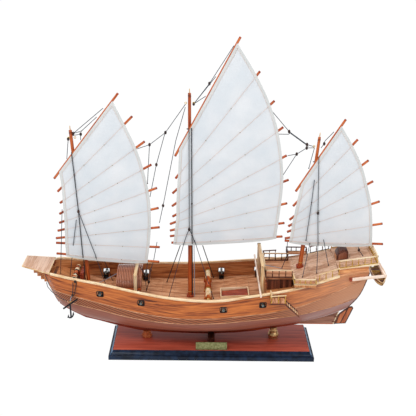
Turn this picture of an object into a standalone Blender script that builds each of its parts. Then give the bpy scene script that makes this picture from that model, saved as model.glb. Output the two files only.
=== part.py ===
"""Three-masted wooden junk display model on a moulded plinth.

Metres, +Z up, bow towards -X, starboard towards +Y. The origin is the centre of the plinth's underside.
"""

import math

import bmesh
import bpy
from mathutils import Matrix, Vector

OBJECT_NAME = "chinese_junk_ship"
GAP = 0.0003
NEAR_GAP = 0.0004
WELD = 1e-6

# Colours of the finishes: red, green, blue, metallic, roughness
FINISHES = {
    "navy_lacquer": (0.02, 0.04, 0.09, 0.0, 0.25),
    "mahogany_gloss": (0.32, 0.06, 0.03, 0.0, 0.15),
    "hull_wood": (0.42, 0.17, 0.07, 0.0, 0.35),
    "keel_wood": (0.28, 0.06, 0.02, 0.0, 0.35),
    "deck_wood": (0.62, 0.38, 0.25, 0.0, 0.5),
    "pale_wood": (0.85, 0.66, 0.42, 0.0, 0.4),
    "spar_wood": (0.50, 0.15, 0.06, 0.0, 0.35),
    "brass": (0.62, 0.42, 0.16, 1.0, 0.3),
    "black_iron": (0.02, 0.025, 0.03, 0.6, 0.45),
    "sail_cloth": (0.92, 0.93, 0.95, 0.0, 0.9),
    "mat_roof": (0.40, 0.17, 0.09, 0.0, 0.6),
}

# Plinth: half length, half width and height of each moulding step
PLINTH_STEPS = (
    (0.2109, 0.0740, 0.0000),
    (0.2109, 0.0740, 0.0085),
    (0.2100, 0.0731, 0.0095),
    (0.2070, 0.0701, 0.0100),
    (0.2070, 0.0701, 0.0116),
    (0.2048, 0.0679, 0.0130),
    (0.2034, 0.0665, 0.0150),
    (0.2030, 0.0661, 0.0164),
)
PLINTH_TOP = 0.0190
PANEL_INSET = 0.0006
PANEL_EDGE = 0.0004

# Pedestals: name, x, height of the top and of the slot's floor
PEDESTALS = (
    ("pedestal_fore", -0.1360, 0.0350, 0.0316),
    ("pedestal_aft", 0.1315, 0.0445, 0.0408),
)
# Turned outline of a pedestal: share of its height, radius
PEDESTAL_PROFILE = (
    (0.00, 0.0096),
    (0.10, 0.0112),
    (0.24, 0.0118),
    (0.40, 0.0110),
    (0.58, 0.0090),
    (0.76, 0.0076),
    (0.88, 0.0073),
    (1.00, 0.0077),
)
# Block under the keel: half length, half width, top; its notch: half width, floor
KEEL_BLOCK = (0.0070, 0.0310, 0.0312)
KEEL_NOTCH = (0.0025, 0.0268)
# Name plate: half length, near and far y, top
NAME_PLATE = (0.0320, -0.0625, -0.0610, 0.0365)

# Hull stations: keel x, keel z, sheer x, rail top z, half beam at the rail, roundness, floor depth, and how
# steeply the bottom rises from the keel
STATIONS = (
    (-0.3170, 0.0960, -0.3460, 0.1720, 0.0180, 2.0, 0.010, 0.20),
    (-0.3000, 0.0850, -0.3290, 0.1780, 0.0450, 2.0, 0.014, 0.40),
    (-0.2640, 0.0660, -0.2850, 0.1725, 0.0565, 2.0, 0.030, 0.50),
    (-0.2100, 0.0520, -0.2250, 0.1655, 0.0670, 2.1, 0.034, 0.50),
    (-0.1500, 0.0400, -0.1600, 0.1570, 0.0820, 2.3, 0.034, 0.50),
    (-0.0920, 0.0340, -0.0960, 0.1510, 0.0970, 2.4, 0.034, 0.50),
    (-0.0350, 0.0315, -0.0350, 0.1485, 0.1065, 2.5, 0.034, 0.50),
    (0.0200, 0.0325, 0.0200, 0.1505, 0.1095, 2.5, 0.034, 0.50),
    (0.0700, 0.0370, 0.0700, 0.1565, 0.1040, 2.4, 0.034, 0.50),
    (0.1040, 0.0422, 0.1060, 0.1606, 0.0992, 2.3, 0.034, 0.50),
    (0.1080, 0.0429, 0.1100, 0.1610, 0.0989, 2.3, 0.010, 0.50),
    (0.1600, 0.0515, 0.1650, 0.1690, 0.0905, 2.2, 0.010, 0.50),
    (0.2050, 0.0605, 0.2120, 0.1800, 0.0830, 2.1, 0.010, 0.60),
    (0.2450, 0.0720, 0.2620, 0.1940, 0.0770, 2.1, 0.010, 0.70),
    (0.2810, 0.0870, 0.3120, 0.2005, 0.0710, 2.2, 0.010, 0.90),
)
KEEL_X, KEEL_Z, SHEER_X, RAIL_TOP, HALF_BEAM, ROUNDNESS, FLOOR_DEPTH, DEADRISE = range(8)
BILGE_SHARPNESS = 8
CAP_HEIGHT = 0.0040
CAP_OUTSIDE = 0.0012
CAP_INSIDE = 0.0008
BULWARK = 0.0035
SIDE_POINTS = 14
DECK_T = 0.0010
DECK_SLACK = 0.0002

# Gun ports: x and height below the rail's top
PORTS = ((-0.2255, 0.0235), (-0.1420, 0.0230), (0.0220, 0.0215), (0.1000, 0.0235))
PORT_HALF = 0.0062
PORT_BELOW = 0.0050
PORT_ABOVE = 0.0055
PORT_REACH = 0.1300

KEEL_HALF = 0.0020
# Underside of the keel from the stem to the stern: x, z
KEEL_LINE = (
    (-0.3180, 0.0940), (-0.3040, 0.0830), (-0.2880, 0.0740), (-0.2640, 0.0620), (-0.2350, 0.0550),
    (-0.1930, 0.0430), (-0.1530, 0.0342), (-0.1360, 0.0326), (-0.0920, 0.0290), (-0.0110, 0.0270),
    (0.0500, 0.0300), (0.0930, 0.0350), (0.1315, 0.0427), (0.1560, 0.0460), (0.1860, 0.0520),
)
STEM_HEAD = (-0.3130, 0.0925)
STERN_POST = ((0.2570, 0.0520), (0.2674, 0.0806))
POST_FACE = 0.0022
# Hinge eyes: height above the post's foot; inner radius, outer radius and height of an eye
GUDGEONS = (0.006, 0.018)
GUDGEON_RING = (0.0012, 0.0024, 0.0030)
# Rudder: where the stock begins and ends along the hinge line, its radius, the pins' radius
RUDDER_STOCK = (0.0005, 0.0245, 0.0016, 0.0008)
RUDDER_HALF = 0.0015
# Free edge of the rudder blade: x, z
RUDDER_EDGE = ((0.2835, 0.0535), (0.2980, 0.0885), (0.2955, 0.0925), (0.2890, 0.0915), (0.2800, 0.0842))

# Poop deck: height of its crown at one x and how fast it rises aft
CROWN_X = 0.1630
CROWN_Z = 0.1745
CROWN_SLOPE = 0.277
POOP_FORE = 0.1645
POOP_AFT = 0.2510
POOP_EDGE_DROP = 0.0006
CAMBER_SHARES = (1.0, 0.85, 0.65, 0.4, 0.0)

# Raised platforms: x of both ends, half width, top at the fore end, rise per metre
FORE_PLATFORM = (0.1065, 0.1635, 0.0505, 0.1745, 0.0)
AFT_PLATFORM = (0.2520, 0.3310, 0.0620, 0.2000, 0.16)
PLATFORM_T = 0.0030
# Houses: how far their walls stand in from the platform's fore edge, aft edge and sides
FORE_WALLS = (0.0060, 0.0020, 0.0045)
STERN_WALLS = (0.0005, 0.0012)
STERN_HOUSE_X = (0.2620, 0.2870, 0.3118)
# Companion: outline seen from the side without its foot, half width
COMPANION_X = (0.2540, 0.2775)
COMPANION_TOP = ((0.2775, 0.2195), (0.2735, 0.2222), (0.2660, 0.2222), (0.2585, 0.2180), (0.2540, 0.2110))
COMPANION_HALF = 0.0150

# Bow board: fore x, aft x, half width at both, thickness; underside's height aft and rise per metre
BOW_BOARD = (-0.3870, -0.3300, 0.0300, 0.0470, 0.0025)
BOW_UNDER = (0.1755, 0.164)
# Steps under the bow board: x and z of each, half width; the two points where they meet the stem
BOW_TREADS = ((-0.3440, 0.1500), (-0.3510, 0.1550), (-0.3580, 0.1620), (-0.3650, 0.1688))
BOW_STEPS_HALF = 0.0220
BOW_STEPS_BACK = ((-0.3305, 0.1742), (-0.3464, 0.1682))

# Rails of bars and posts: bar radius, post radius
RAIL_BAR = 0.0012
RAIL_POST = 0.0008
# Rail of the fore platform: set in, height, spacing of the posts
FORE_RAIL = (0.0015, 0.0170, 0.0130)
# Rail of the aft platform and of the poop's sides: set in, height, spacing
AFT_RAIL = (0.0020, 0.0160, 0.0125)
SIDE_RAIL_X = (0.2120, 0.2505)

BALCONY_X = (0.1615, 0.2040)
BALCONY_Y = (0.0620, 0.0800, 0.0938)
BALCONY_Z = (0.1725, 0.1800, 0.1900)
BALCONY_SPACING = 0.0105
GANGWAY_X = (0.1130, 0.1430)
GANGWAY_Y = 0.1292
GANGWAY_Z = (0.1500, 0.1522)
GANGWAY_RAIL_R = 0.0013
# Ladder of a gangway: inner string's y, run and drop, string's depth and width
LADDER_Y = 0.1060
LADDER_RUN = 0.0270
LADDER_DROP = 0.0260
LADDER_STRING = (0.0032, 0.0014)
LADDER_TREADS = 5
LADDER_PITCH = 0.0047

# Windlasses: name, x, axis z, barrel and drum radius, drum from and to, frames' y, frame's top, half foot
WINDLASSES = (
    ("bow_windlass", -0.2830, 0.1560, 0.0030, 0.0046, 0.0050, 0.0380, (0.0260,), 0.1660, 0.0070),
    ("mid_windlass", -0.0080, 0.1380, 0.0030, 0.0056, 0.0290, 0.0720, (0.0235, 0.0770), 0.1470, 0.0085),
)
WINDLASS_REACH = 0.0050
FRAME_HALF = 0.0015
FRAME_TIP = 0.0030
# Board behind the bow windlass: behind its axis, thickness, top, half width; half width of the sill
POST_BOARD = (0.0165, 0.0050, 0.1720, 0.0200)
SILL_HALF = 0.0262
# Hatch: fore x, aft x, half width, top at both ends; coaming's width and the well's floor
HATCH = (0.0180, 0.0770, 0.0235, 0.1215, 0.1250)
HATCH_WELL = (0.0035, 0.1195)

# Hut: ends, half width and crest of the roof's arch, eave, thickness
HUT_X = (-0.1950, -0.1440)
HUT_ROOF = (0.0460, 0.1775)
HUT_EAVE = 0.1460
HUT_ROOF_T = 0.0022
# Box under the roof: set in at the ends, half width, straight wall's top, arch under the roof
HUT_INSET = 0.0045
HUT_HALF = 0.0340
HUT_WALL_TOP = 0.1560
HUT_ARCH = (0.0430, 0.1744)
HUT_POST_Y = (0.0400, 0.0424)
HUT_POST_HALF = 0.0012
HUT_POST_TOP = 0.1500
HUT_TIE_Z = (0.1470, 0.1492)

# Gallows: name, x, y of the posts, top, the bar's overhang, half the length of post and bar
GALLOWS = (
    ("gallows_fore", -0.1555, 0.0490, 0.1815, 0.0100, 0.0032),
    ("gallows_aft", 0.1000, 0.0600, 0.2075, 0.0060, 0.0034),
)
GALLOWS_HALF = 0.0020
GALLOWS_BAR = 0.0035
# Beam across the rails: x, half length, radius
CROSSBEAM = (0.0945, 0.1180, 0.0018)

# Turned outline of a gun: share of its length from the breech, radius
GUN_PROFILE = (
    (0.00, 0.0008),
    (0.04, 0.0014),
    (0.08, 0.0012),
    (0.11, 0.0028),
    (0.50, 0.0027),
    (0.90, 0.0021),
    (0.93, 0.0026),
    (1.00, 0.0026),
)
# Gun: how far its breech lies inside the ship's side and its muzzle outside; its carriage the same way
GUN_REACH = (0.0230, 0.0030)
CARRIAGE_REACH = (0.0200, 0.0070)
CARRIAGE_HALF = 0.0050

# Masts: foot x, top x, top z, foot radius, top radius
MASTS = {
    "fore": (-0.2546, -0.2840, 0.4630, 0.0037, 0.0032),
    "main": (-0.0450, -0.0495, 0.5395, 0.0044, 0.0031),
    "mizzen": (0.1812, 0.2085, 0.4550, 0.0046, 0.0028),
}
MAST_PIN = (0.0090, 0.0011)

# Spars from yard to boom in millimetres: left end x, z, right end x, z, left cloth x, right cloth x
SPARS = {
    "fore": (
        (-318, 366, -188, 539, -307, -199),
        (-312, 339, -161, 494, -303, -176),
        (-308, 315, -137, 444, -302, -154),
        (-310, 292, -124, 397, -301, -140),
        (-311, 273, -113, 349, -300, -130),
        (-315, 256, -110, 307, -300, -126),
        (-319, 240, -108, 266, -300, -126),
        (-319, 230, -108, 223, -300, -129),
        (-319, 207, -109, 191, -299, -133),
    ),
    "main": (
        (-77, 415, 47, 650, -69, 41),
        (-76, 369, 86, 585, -71, 80),
        (-82, 338, 116, 528, -73, 108),
        (-83, 311, 135, 476, -74, 125),
        (-82, 289, 144, 419, -74, 135),
        (-87, 273, 150, 369, -75, 139),
        (-87, 259, 149, 320, -77, 136),
        (-87, 247, 145, 278, -78, 132),
        (-84, 233, 142, 249, -80, 129),
    ),
    "mizzen": (
        (165, 345, 257, 493, 175, 249),
        (161, 314, 283, 453, 168, 273),
        (155, 285, 307, 411, 163, 294),
        (153, 271, 319, 368, 160, 307),
        (151, 259, 335, 326, 159, 318),
        (147, 245, 344, 279, 157, 323),
        (147, 240, 348, 235, 156, 325),
    ),
}
SPAR_Y = -0.0087
SPAR_R = 0.0024
CLOTH_Y = -0.0118
CLOTH_T = 0.0006
CLOTH_COLUMNS = 6
FOOT_DROP = 0.0030
TAPE_INSET = {4: 6, 5: -5}
TAPE_R = 0.0007
RING_HEIGHT = 0.0024

# Beams behind the stern: y of both faces, outline seen from the side; box of the piece across them
DAVIT_Y = (0.0764, 0.0808)
DAVIT_OUTLINE = ((0.2720, 0.1810), (0.3440, 0.1900), (0.3440, 0.1955), (0.2720, 0.1865))
DAVIT_CROSS = ((0.3395, -0.0800, 0.1899), (0.3450, 0.0800, 0.1951))
DAVIT_LINE = (0.1905, 0.1735, 0.0008)
# Dinghy sections from port to starboard: y, half width, keel z, gunwale z
DINGHY = (
    (-0.0600, 0.0015, 0.1640, 0.1705),
    (-0.0520, 0.0060, 0.1608, 0.1718),
    (-0.0400, 0.0105, 0.1582, 0.1735),
    (-0.0200, 0.0135, 0.1570, 0.1750),
    (0.0150, 0.0135, 0.1570, 0.1750),
    (0.0380, 0.0105, 0.1588, 0.1742),
    (0.0520, 0.0070, 0.1610, 0.1735),
)
DINGHY_X = 0.3420
DINGHY_WALL = 0.0016
DINGHY_FLOOR = (0.0020, 0.0130)
DINGHY_STEPS = 8
# Thwarts: y on either side, half length, half width, underside, top
THWART = (0.0350, 0.0100, 0.0020, 0.1715, 0.1730)

# Anchor: y of its middle plane, and x and z of its parts in that plane
ANCHOR_Y = -0.0600
ANCHOR_SHANK = ((-0.2870, 0.1190), (-0.2870, 0.0880))
ANCHOR_STOCK = ((-0.3015, 0.1070), (-0.2725, 0.1270))
ANCHOR_ARMS = (
    (-0.2960, 0.0985), (-0.2940, 0.0915), (-0.2870, 0.0885), (-0.2810, 0.0920), (-0.2790, 0.0990),
)
ANCHOR_LINE = ((-0.2870, 0.1180), (-0.2820, 0.1390), (-0.2790, 0.1690))


def clear_scene():
    """Removes everything that the startup file holds."""
    for obj in list(bpy.data.objects):
        bpy.data.objects.remove(obj, do_unlink=True)


def new_collection(name):
    made = bpy.data.collections.new(name)
    bpy.context.scene.collection.children.link(made)
    return made


def make_material(name, finish):
    red, green, blue, metallic, roughness = FINISHES[finish]
    made = bpy.data.materials.new(name)
    made.use_nodes = True
    shader = made.node_tree.nodes["Principled BSDF"]
    shader.inputs["Base Color"].default_value = (red, green, blue, 1.0)
    shader.inputs["Metallic"].default_value = metallic
    shader.inputs["Roughness"].default_value = roughness
    made.diffuse_color = (red, green, blue, 1.0)
    return made


clear_scene()
PARTS = new_collection(OBJECT_NAME)
HELPERS = new_collection("helpers")


def keep(name, data, place, finish):
    """Adds an object. With a finish it is a piece, without one it is a hidden shape for a Boolean."""
    obj = bpy.data.objects.new(name, data)
    obj.matrix_world = place
    if finish is None:
        HELPERS.objects.link(obj)
        obj.hide_render = True
        obj.display_type = "WIRE"
    else:
        PARTS.objects.link(obj)
        data.materials.append(make_material(name + "_" + finish, finish))
    return obj


def promote(obj, finish):
    """Makes a hidden shape a piece."""
    HELPERS.objects.unlink(obj)
    PARTS.objects.link(obj)
    obj.hide_render = False
    obj.display_type = "TEXTURED"
    obj.data.materials.append(make_material(obj.name + "_" + finish, finish))
    return obj


def from_shape(name, shape, finish=None, place=None, outward=True):
    mesh = bpy.data.meshes.new(name)
    if outward:
        bmesh.ops.recalc_face_normals(shape, faces=shape.faces)
    shape.to_mesh(mesh)
    shape.free()
    return keep(name, mesh, place or Matrix.Identity(4), finish)


def box(name, low, high, finish=None):
    low = Vector(low)
    high = Vector(high)
    shape = bmesh.new()
    bmesh.ops.create_cube(shape, size=1.0)
    bmesh.ops.scale(shape, vec=high - low, verts=shape.verts)
    return from_shape(name, shape, finish, Matrix.Translation((low + high) / 2))


def turn_towards(along):
    """A rotation that takes Z to the given direction."""
    return along.to_track_quat("Z", "Y").to_matrix().to_4x4()


def rod(name, start, end, radius, sides=12, finish=None):
    """A round bar between two points."""
    start = Vector(start)
    end = Vector(end)
    shape = bmesh.new()
    bmesh.ops.create_cone(shape, cap_ends=True, segments=sides, radius1=radius, radius2=radius,
                          depth=(end - start).length)
    place = Matrix.Translation((start + end) / 2) @ turn_towards(end - start)
    return from_shape(name, shape, finish, place)


def spin(obj, steps):
    """Sweeps an object's profile round its own Z axis."""
    screw = obj.modifiers.new("Screw", "SCREW")
    screw.steps = screw.render_steps = steps
    screw.use_merge_vertices = True
    screw.merge_threshold = WELD
    screw.use_smooth_shade = True
    return obj


def profile_mesh(name, points, closed):
    """The edges of a profile in the XZ plane, running down its outer side."""
    mesh = bpy.data.meshes.new(name)
    edges = [(k, k + 1) for k in range(len(points) - 1)]
    if closed:
        edges.append((len(points) - 1, 0))
    mesh.from_pydata([(radius, 0.0, z) for radius, z in points], edges, [])
    return mesh


def turned(name, start, end, outline, sides=16, finish=None):
    """A turned bar. The outline gives (share of the length from the start, radius)."""
    start = Vector(start)
    end = Vector(end)
    length = (end - start).length
    middle = [(radius, length * share) for share, radius in reversed(outline)]
    place = Matrix.Translation(start) @ turn_towards(end - start)
    guide = profile_mesh(name, [(0.0, length), *middle, (0.0, 0.0)], False)
    return spin(keep(name, guide, place, finish), sides)


def band(name, centre, axis, inner, outer, height, sides=14, finish=None):
    """A flat ring round an axis."""
    half = height / 2
    points = [(outer, half), (outer, -half), (inner, -half), (inner, half)]
    place = Matrix.Translation(Vector(centre)) @ turn_towards(Vector(axis))
    return spin(keep(name, profile_mesh(name, points, True), place, finish), sides)


def as_mesh(guide, finish=None):
    """Turns a curve object into a mesh object with its caps welded on."""
    graph = bpy.context.evaluated_depsgraph_get()
    mesh = bpy.data.meshes.new_from_object(guide.evaluated_get(graph))
    shape = bmesh.new()
    shape.from_mesh(mesh)
    bmesh.ops.remove_doubles(shape, verts=shape.verts, dist=WELD)
    name = guide.name
    place = guide.matrix_world.copy()
    bpy.data.objects.remove(guide, do_unlink=True)
    bpy.data.meshes.remove(mesh)
    return from_shape(name, shape, finish, place)


def poly_curve(name, points, closed):
    curve = bpy.data.curves.new(name, "CURVE")
    spline = curve.splines.new("POLY")
    spline.points.add(len(points) - 1)
    for knot, point in zip(spline.points, points):
        knot.co = (*point, 1.0)
    spline.use_cyclic_u = closed
    obj = bpy.data.objects.new(name, curve)
    HELPERS.objects.link(obj)
    return obj


def flat_piece(name, outline, thickness, place, finish):
    """A flat outline given a thickness to both sides of its plane."""
    guide = poly_curve(name, [(u, v, 0.0) for u, v in outline], True)
    guide.data.dimensions = "2D"
    guide.data.fill_mode = "BOTH"
    guide.data.extrude = thickness / 2
    guide.matrix_world = place
    return as_mesh(guide, finish)


def slab(name, outline, y0, y1, finish=None):
    """An outline of (x, z) points given a thickness along Y."""
    place = Matrix.Translation((0.0, (y0 + y1) / 2, 0.0)) @ Matrix.Rotation(math.pi / 2, 4, "X")
    return flat_piece(name, outline, abs(y1 - y0), place, finish)


def plate(name, outline, z0, z1, finish=None):
    """An outline of (x, y) points given a thickness along Z."""
    return flat_piece(name, outline, z1 - z0, Matrix.Translation((0.0, 0.0, (z0 + z1) / 2)), finish)


def wire(name, points, radius, finish=None):
    """A thin round line through points."""
    guide = poly_curve(name, points, False)
    guide.data.dimensions = "3D"
    guide.data.bevel_depth = radius
    guide.data.bevel_resolution = 2
    guide.data.use_fill_caps = True
    return as_mesh(guide, finish)


def loft(name, rings, finish=None, caps=True, closed=True):
    """A skin over sections of equal length, for shapes whose sections differ."""
    shape = bmesh.new()
    rows = [[shape.verts.new(point) for point in ring] for ring in rings]
    count = len(rings[0])
    for low, high in zip(rows, rows[1:]):
        for j in range(count if closed else count - 1):
            k = (j + 1) % count
            shape.faces.new((low[j], low[k], high[k], high[j]))
    if caps:
        shape.faces.new(rows[0])
        shape.faces.new(rows[-1])
    return from_shape(name, shape, finish, outward=caps)


def thicken(obj, thickness, offset):
    solid = obj.modifiers.new("Solidify", "SOLIDIFY")
    solid.thickness = thickness
    solid.offset = offset
    return obj


def mirror_y(obj):
    mirror = obj.modifiers.new("Mirror", "MIRROR")
    mirror.use_axis = (False, True, False)
    mirror.merge_threshold = WELD
    return obj


def boolean(obj, others, operation):
    """Unites with or cuts by a group of hidden shapes."""
    group = bpy.data.collections.new(obj.name + "_" + operation.lower())
    HELPERS.children.link(group)
    for other in others:
        HELPERS.objects.unlink(other)
        group.objects.link(other)
    modifier = obj.modifiers.new(operation.title(), "BOOLEAN")
    modifier.operation = operation
    modifier.operand_type = "COLLECTION"
    modifier.collection = group
    modifier.solver = "EXACT"
    modifier.use_self = True
    return obj


def unite(obj, others):
    return boolean(obj, others, "UNION")


def cut(obj, others):
    return boolean(obj, others, "DIFFERENCE")


def pivot(name, point, axis):
    """An empty on a joint's axis, its Z along it."""
    empty = bpy.data.objects.new(name, None)
    PARTS.objects.link(empty)
    empty.matrix_world = Matrix.Translation(point) @ turn_towards(axis)
    return empty


def hang(obj, empty):
    """Parents a piece to its joint's empty, in place."""
    place = obj.matrix_world.copy()
    obj.parent = empty
    obj.matrix_parent_inverse = empty.matrix_world.inverted()
    obj.matrix_world = place


def station_at(x):
    """The hull station whose sheer lies at x, read between the given ones."""
    if x <= STATIONS[0][SHEER_X]:
        return STATIONS[0]
    for low, high in zip(STATIONS, STATIONS[1:]):
        if x <= high[SHEER_X]:
            share = (x - low[SHEER_X]) / (high[SHEER_X] - low[SHEER_X])
            return tuple(a + share * (b - a) for a, b in zip(low, high))
    return STATIONS[-1]


def rail_z(x):
    return station_at(x)[RAIL_TOP]


def half_beam(x):
    return station_at(x)[HALF_BEAM]


def sheer_z(station):
    return station[RAIL_TOP] - CAP_HEIGHT - GAP


def on_station(station, z):
    """X of a station's slanted plane at height z."""
    share = (sheer_z(station) - z) / (sheer_z(station) - station[KEEL_Z])
    return station[SHEER_X] - (station[SHEER_X] - station[KEEL_X]) * share


def floor_point(station, lift=0.0):
    """The hull's inner floor at a station, as x, half width and z."""
    z = sheer_z(station) - station[FLOOR_DEPTH] + lift
    return on_station(station, z), station[HALF_BEAM] - BULWARK, z


def line_z(points, x):
    """Height of a line of (x, z) points."""
    for (x0, z0), (x1, z1) in zip(points, points[1:]):
        if x <= x1:
            return z0 + (z1 - z0) * (x - x0) / (x1 - x0)
    return points[-1][1]


def crown_z(x):
    return CROWN_Z + CROWN_SLOPE * (x - CROWN_X)


def deck_top(x):
    """Height of the planking on the centre line."""
    if POOP_FORE <= x <= POOP_AFT:
        return crown_z(x)
    lift = DECK_T + GAP + DECK_SLACK if x < STATIONS[9][SHEER_X] else 0.0
    floor = [floor_point(station, lift) for station in STATIONS]
    return line_z([(px, pz) for px, _, pz in floor], x)


def deck_line(x0, x1):
    """Points just above the deck from x0 to x1, for the underside of what stands on it."""
    inside = [floor_point(station)[0] for station in STATIONS]
    xs = [x0] + [x for x in inside if x0 + 0.001 < x < x1 - 0.001] + [x1]
    return [(x, deck_top(x) + GAP) for x in xs]


def platform_z(platform, x):
    return platform[3] + platform[4] * (x - platform[0])


def build_stand():
    rings = []
    for half_x, half_y, z in PLINTH_STEPS:
        corners = ((-half_x, -half_y), (half_x, -half_y), (half_x, half_y), (-half_x, half_y))
        rings.append([(x, y, z) for x, y in corners])
    loft("stand_base", rings, "navy_lacquer")
    half_x, half_y, low = PLINTH_STEPS[-1]
    half_x -= PANEL_INSET
    half_y -= PANEL_INSET
    panel = box("stand_top", (-half_x, -half_y, low), (half_x, half_y, PLINTH_TOP), "mahogany_gloss")
    edge = panel.modifiers.new("Bevel", "BEVEL")
    edge.width = PANEL_EDGE
    for name, x, top, slot in PEDESTALS:
        post = turned(name, (x, 0, PLINTH_TOP), (x, 0, top), PEDESTAL_PROFILE, 24, "brass")
        half = KEEL_HALF + GAP
        cut(post, [box(name + "_slot", (x - 0.02, -half, slot), (x + 0.02, half, top + 0.01))])
    half_x, half_y, top = KEEL_BLOCK
    block = box("keel_block", (-half_x, -half_y, PLINTH_TOP), (half_x, half_y, top), "keel_wood")
    half, floor = KEEL_NOTCH
    cut(block, [box("keel_block_notch", (-2 * half_x, -half, floor), (2 * half_x, half, 2 * top))])
    half_x, near, far, top = NAME_PLATE
    box("name_plate", (-half_x, near, PLINTH_TOP), (half_x, far, top), "brass")


def build_hull():
    rings = []
    for station in STATIONS:
        sheer = sheer_z(station)
        ring = []
        for k in range(SIDE_POINTS + 1):
            angle = 0.5 * math.pi * k / SIDE_POINTS
            rise = 1 - max(math.cos(angle), 0.0) ** (2 / station[ROUNDNESS])
            z = station[KEEL_Z] + rise * (sheer - station[KEEL_Z])
            half = station[HALF_BEAM] * math.sin(angle) ** (2 / station[ROUNDNESS])
            limit = (z - station[KEEL_Z]) / station[DEADRISE] + KEEL_HALF
            half *= (1 + (half / limit) ** BILGE_SHARPNESS) ** (-1 / BILGE_SHARPNESS)
            ring.append((on_station(station, z), half, z))
        x, half, z = floor_point(station)
        ring += [(station[SHEER_X], half, sheer), (x, half, z), (x, 0.0, z)]
        rings.append(ring)
    hull = mirror_y(loft("hull", rings, "hull_wood", closed=False))
    cutters = []
    for index, (x, drop) in enumerate(PORTS):
        z = rail_z(x) - drop
        low = (x - PORT_HALF, -PORT_REACH, z - PORT_BELOW)
        high = (x + PORT_HALF, PORT_REACH, z + PORT_ABOVE)
        cutters.append(box(f"port_{index}", low, high))
    cut(hull, cutters)


def stern_axis():
    """A point on the rudder's hinge line level with the post's foot, and its direction."""
    (x0, z0), (x1, z1) = STERN_POST
    along = Vector((x1 - x0, 0, z1 - z0)).normalized()
    aft = Vector((along.z, 0, -along.x))
    return Vector((x0, 0, z0)) + aft * POST_FACE, along


def build_keel():
    top = [(station[KEEL_X], station[KEEL_Z] - GAP) for station in reversed(STATIONS[1:-1])]
    outline = [*KEEL_LINE, *STERN_POST, *top, STEM_HEAD]
    keel = slab("keel", outline, -KEEL_HALF, KEEL_HALF, "keel_wood")
    foot, along = stern_axis()
    unite(keel, [band(f"gudgeon_{rise}", foot + along * rise, along, *GUDGEON_RING) for rise in GUDGEONS])


def build_rudder():
    foot, along = stern_axis()
    begin, end, radius, pin_radius = RUDDER_STOCK
    low = foot + along * begin
    high = foot + along * end
    outline = [(low.x, low.z), *RUDDER_EDGE, (high.x, high.z)]
    blade = slab("rudder", outline, -RUDDER_HALF, RUDDER_HALF, "spar_wood")
    unite(blade, [rod("rudder_stock", low, high, radius)])
    _, outer, height = GUDGEON_RING
    reach = along * (height / 2 + 2 * GAP)
    rooms = []
    for rise in GUDGEONS:
        centre = foot + along * rise
        rooms.append(rod(f"room_{rise}", centre - reach, centre + reach, outer + 2 * GAP, sides=20))
    cut(blade, rooms)
    unite(blade, [rod("rudder_pins", low + along * GAP, high - along * GAP, pin_radius, sides=10)])
    hang(blade, pivot("rudder_pivot", foot, along))


def build_decks():
    rows = []
    for station in STATIONS[1:10]:
        x, half, z = floor_point(station, GAP)
        half -= NEAR_GAP
        rows.append([(x, half, z), (x, -half, z)])
    inset = 2 * NEAR_GAP
    rows[0] = [(x + inset, y, z) for x, y, z in rows[0]]
    rows[-1] = [(x - inset, y, z) for x, y, z in rows[-1]]
    thicken(loft("main_deck", rows, "deck_wood", caps=False, closed=False), DECK_T, 1.0)
    rings = []
    for x in (POOP_FORE, 0.1850, 0.2120, POOP_AFT):
        station = station_at(x)
        edge = station[RAIL_TOP] - POOP_EDGE_DROP
        half = station[HALF_BEAM] - BULWARK - CAP_INSIDE - NEAR_GAP
        low_x, _, low_z = floor_point(station, GAP)
        side = [(low_x, half, low_z)]
        for share in CAMBER_SHARES:
            z = edge + (crown_z(x) - edge) * (1 - share ** 3)
            side.append((x, half * share, z))
        rings.append(side + [(px, -y, z) for px, y, z in reversed(side[:-1])])
    loft("poop_deck", rings, "deck_wood")


def build_rails():
    for side, name in ((-1, "rail_port"), (1, "rail_starboard")):
        rows = []
        for station in STATIONS[1:]:
            inner = side * (station[HALF_BEAM] - BULWARK - CAP_INSIDE)
            outer = side * (station[HALF_BEAM] + CAP_OUTSIDE)
            low = station[RAIL_TOP] - CAP_HEIGHT
            x = station[SHEER_X]
            rows.append([(x, inner, low), (x, outer, low), (x, outer, station[RAIL_TOP]),
                         (x, inner, station[RAIL_TOP])])
        loft(name, rows, "pale_wood")


def bow_under(x):
    height, slope = BOW_UNDER
    return height + slope * (BOW_BOARD[1] - x)


def build_bow():
    x0, x1, half_fore, half_aft, thickness = BOW_BOARD
    angle = math.atan(BOW_UNDER[1])
    reach = (x1 - x0) / math.cos(angle)
    place = Matrix.Translation((x1, 0, bow_under(x1) + thickness / 2)) @ Matrix.Rotation(angle, 4, "Y")
    corners = ((0, -half_aft), (0, half_aft), (-reach, half_fore), (-reach, -half_fore))
    flat_piece("bow_platform", corners, thickness, place, "pale_wood")
    low = BOW_TREADS[0][1]
    outline = [(on_station(STATIONS[0], low) - 0.0005, low)]
    for index, (x, z) in enumerate(BOW_TREADS):
        rise = BOW_TREADS[index + 1][1] if index + 1 < len(BOW_TREADS) else bow_under(x) - GAP
        outline += [(x, z), (x, rise)]
    back = BOW_STEPS_BACK[0][0]
    outline += [(back, bow_under(back) - GAP), *BOW_STEPS_BACK]
    slab("bow_steps", outline, -BOW_STEPS_HALF, BOW_STEPS_HALF, "deck_wood")


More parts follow.
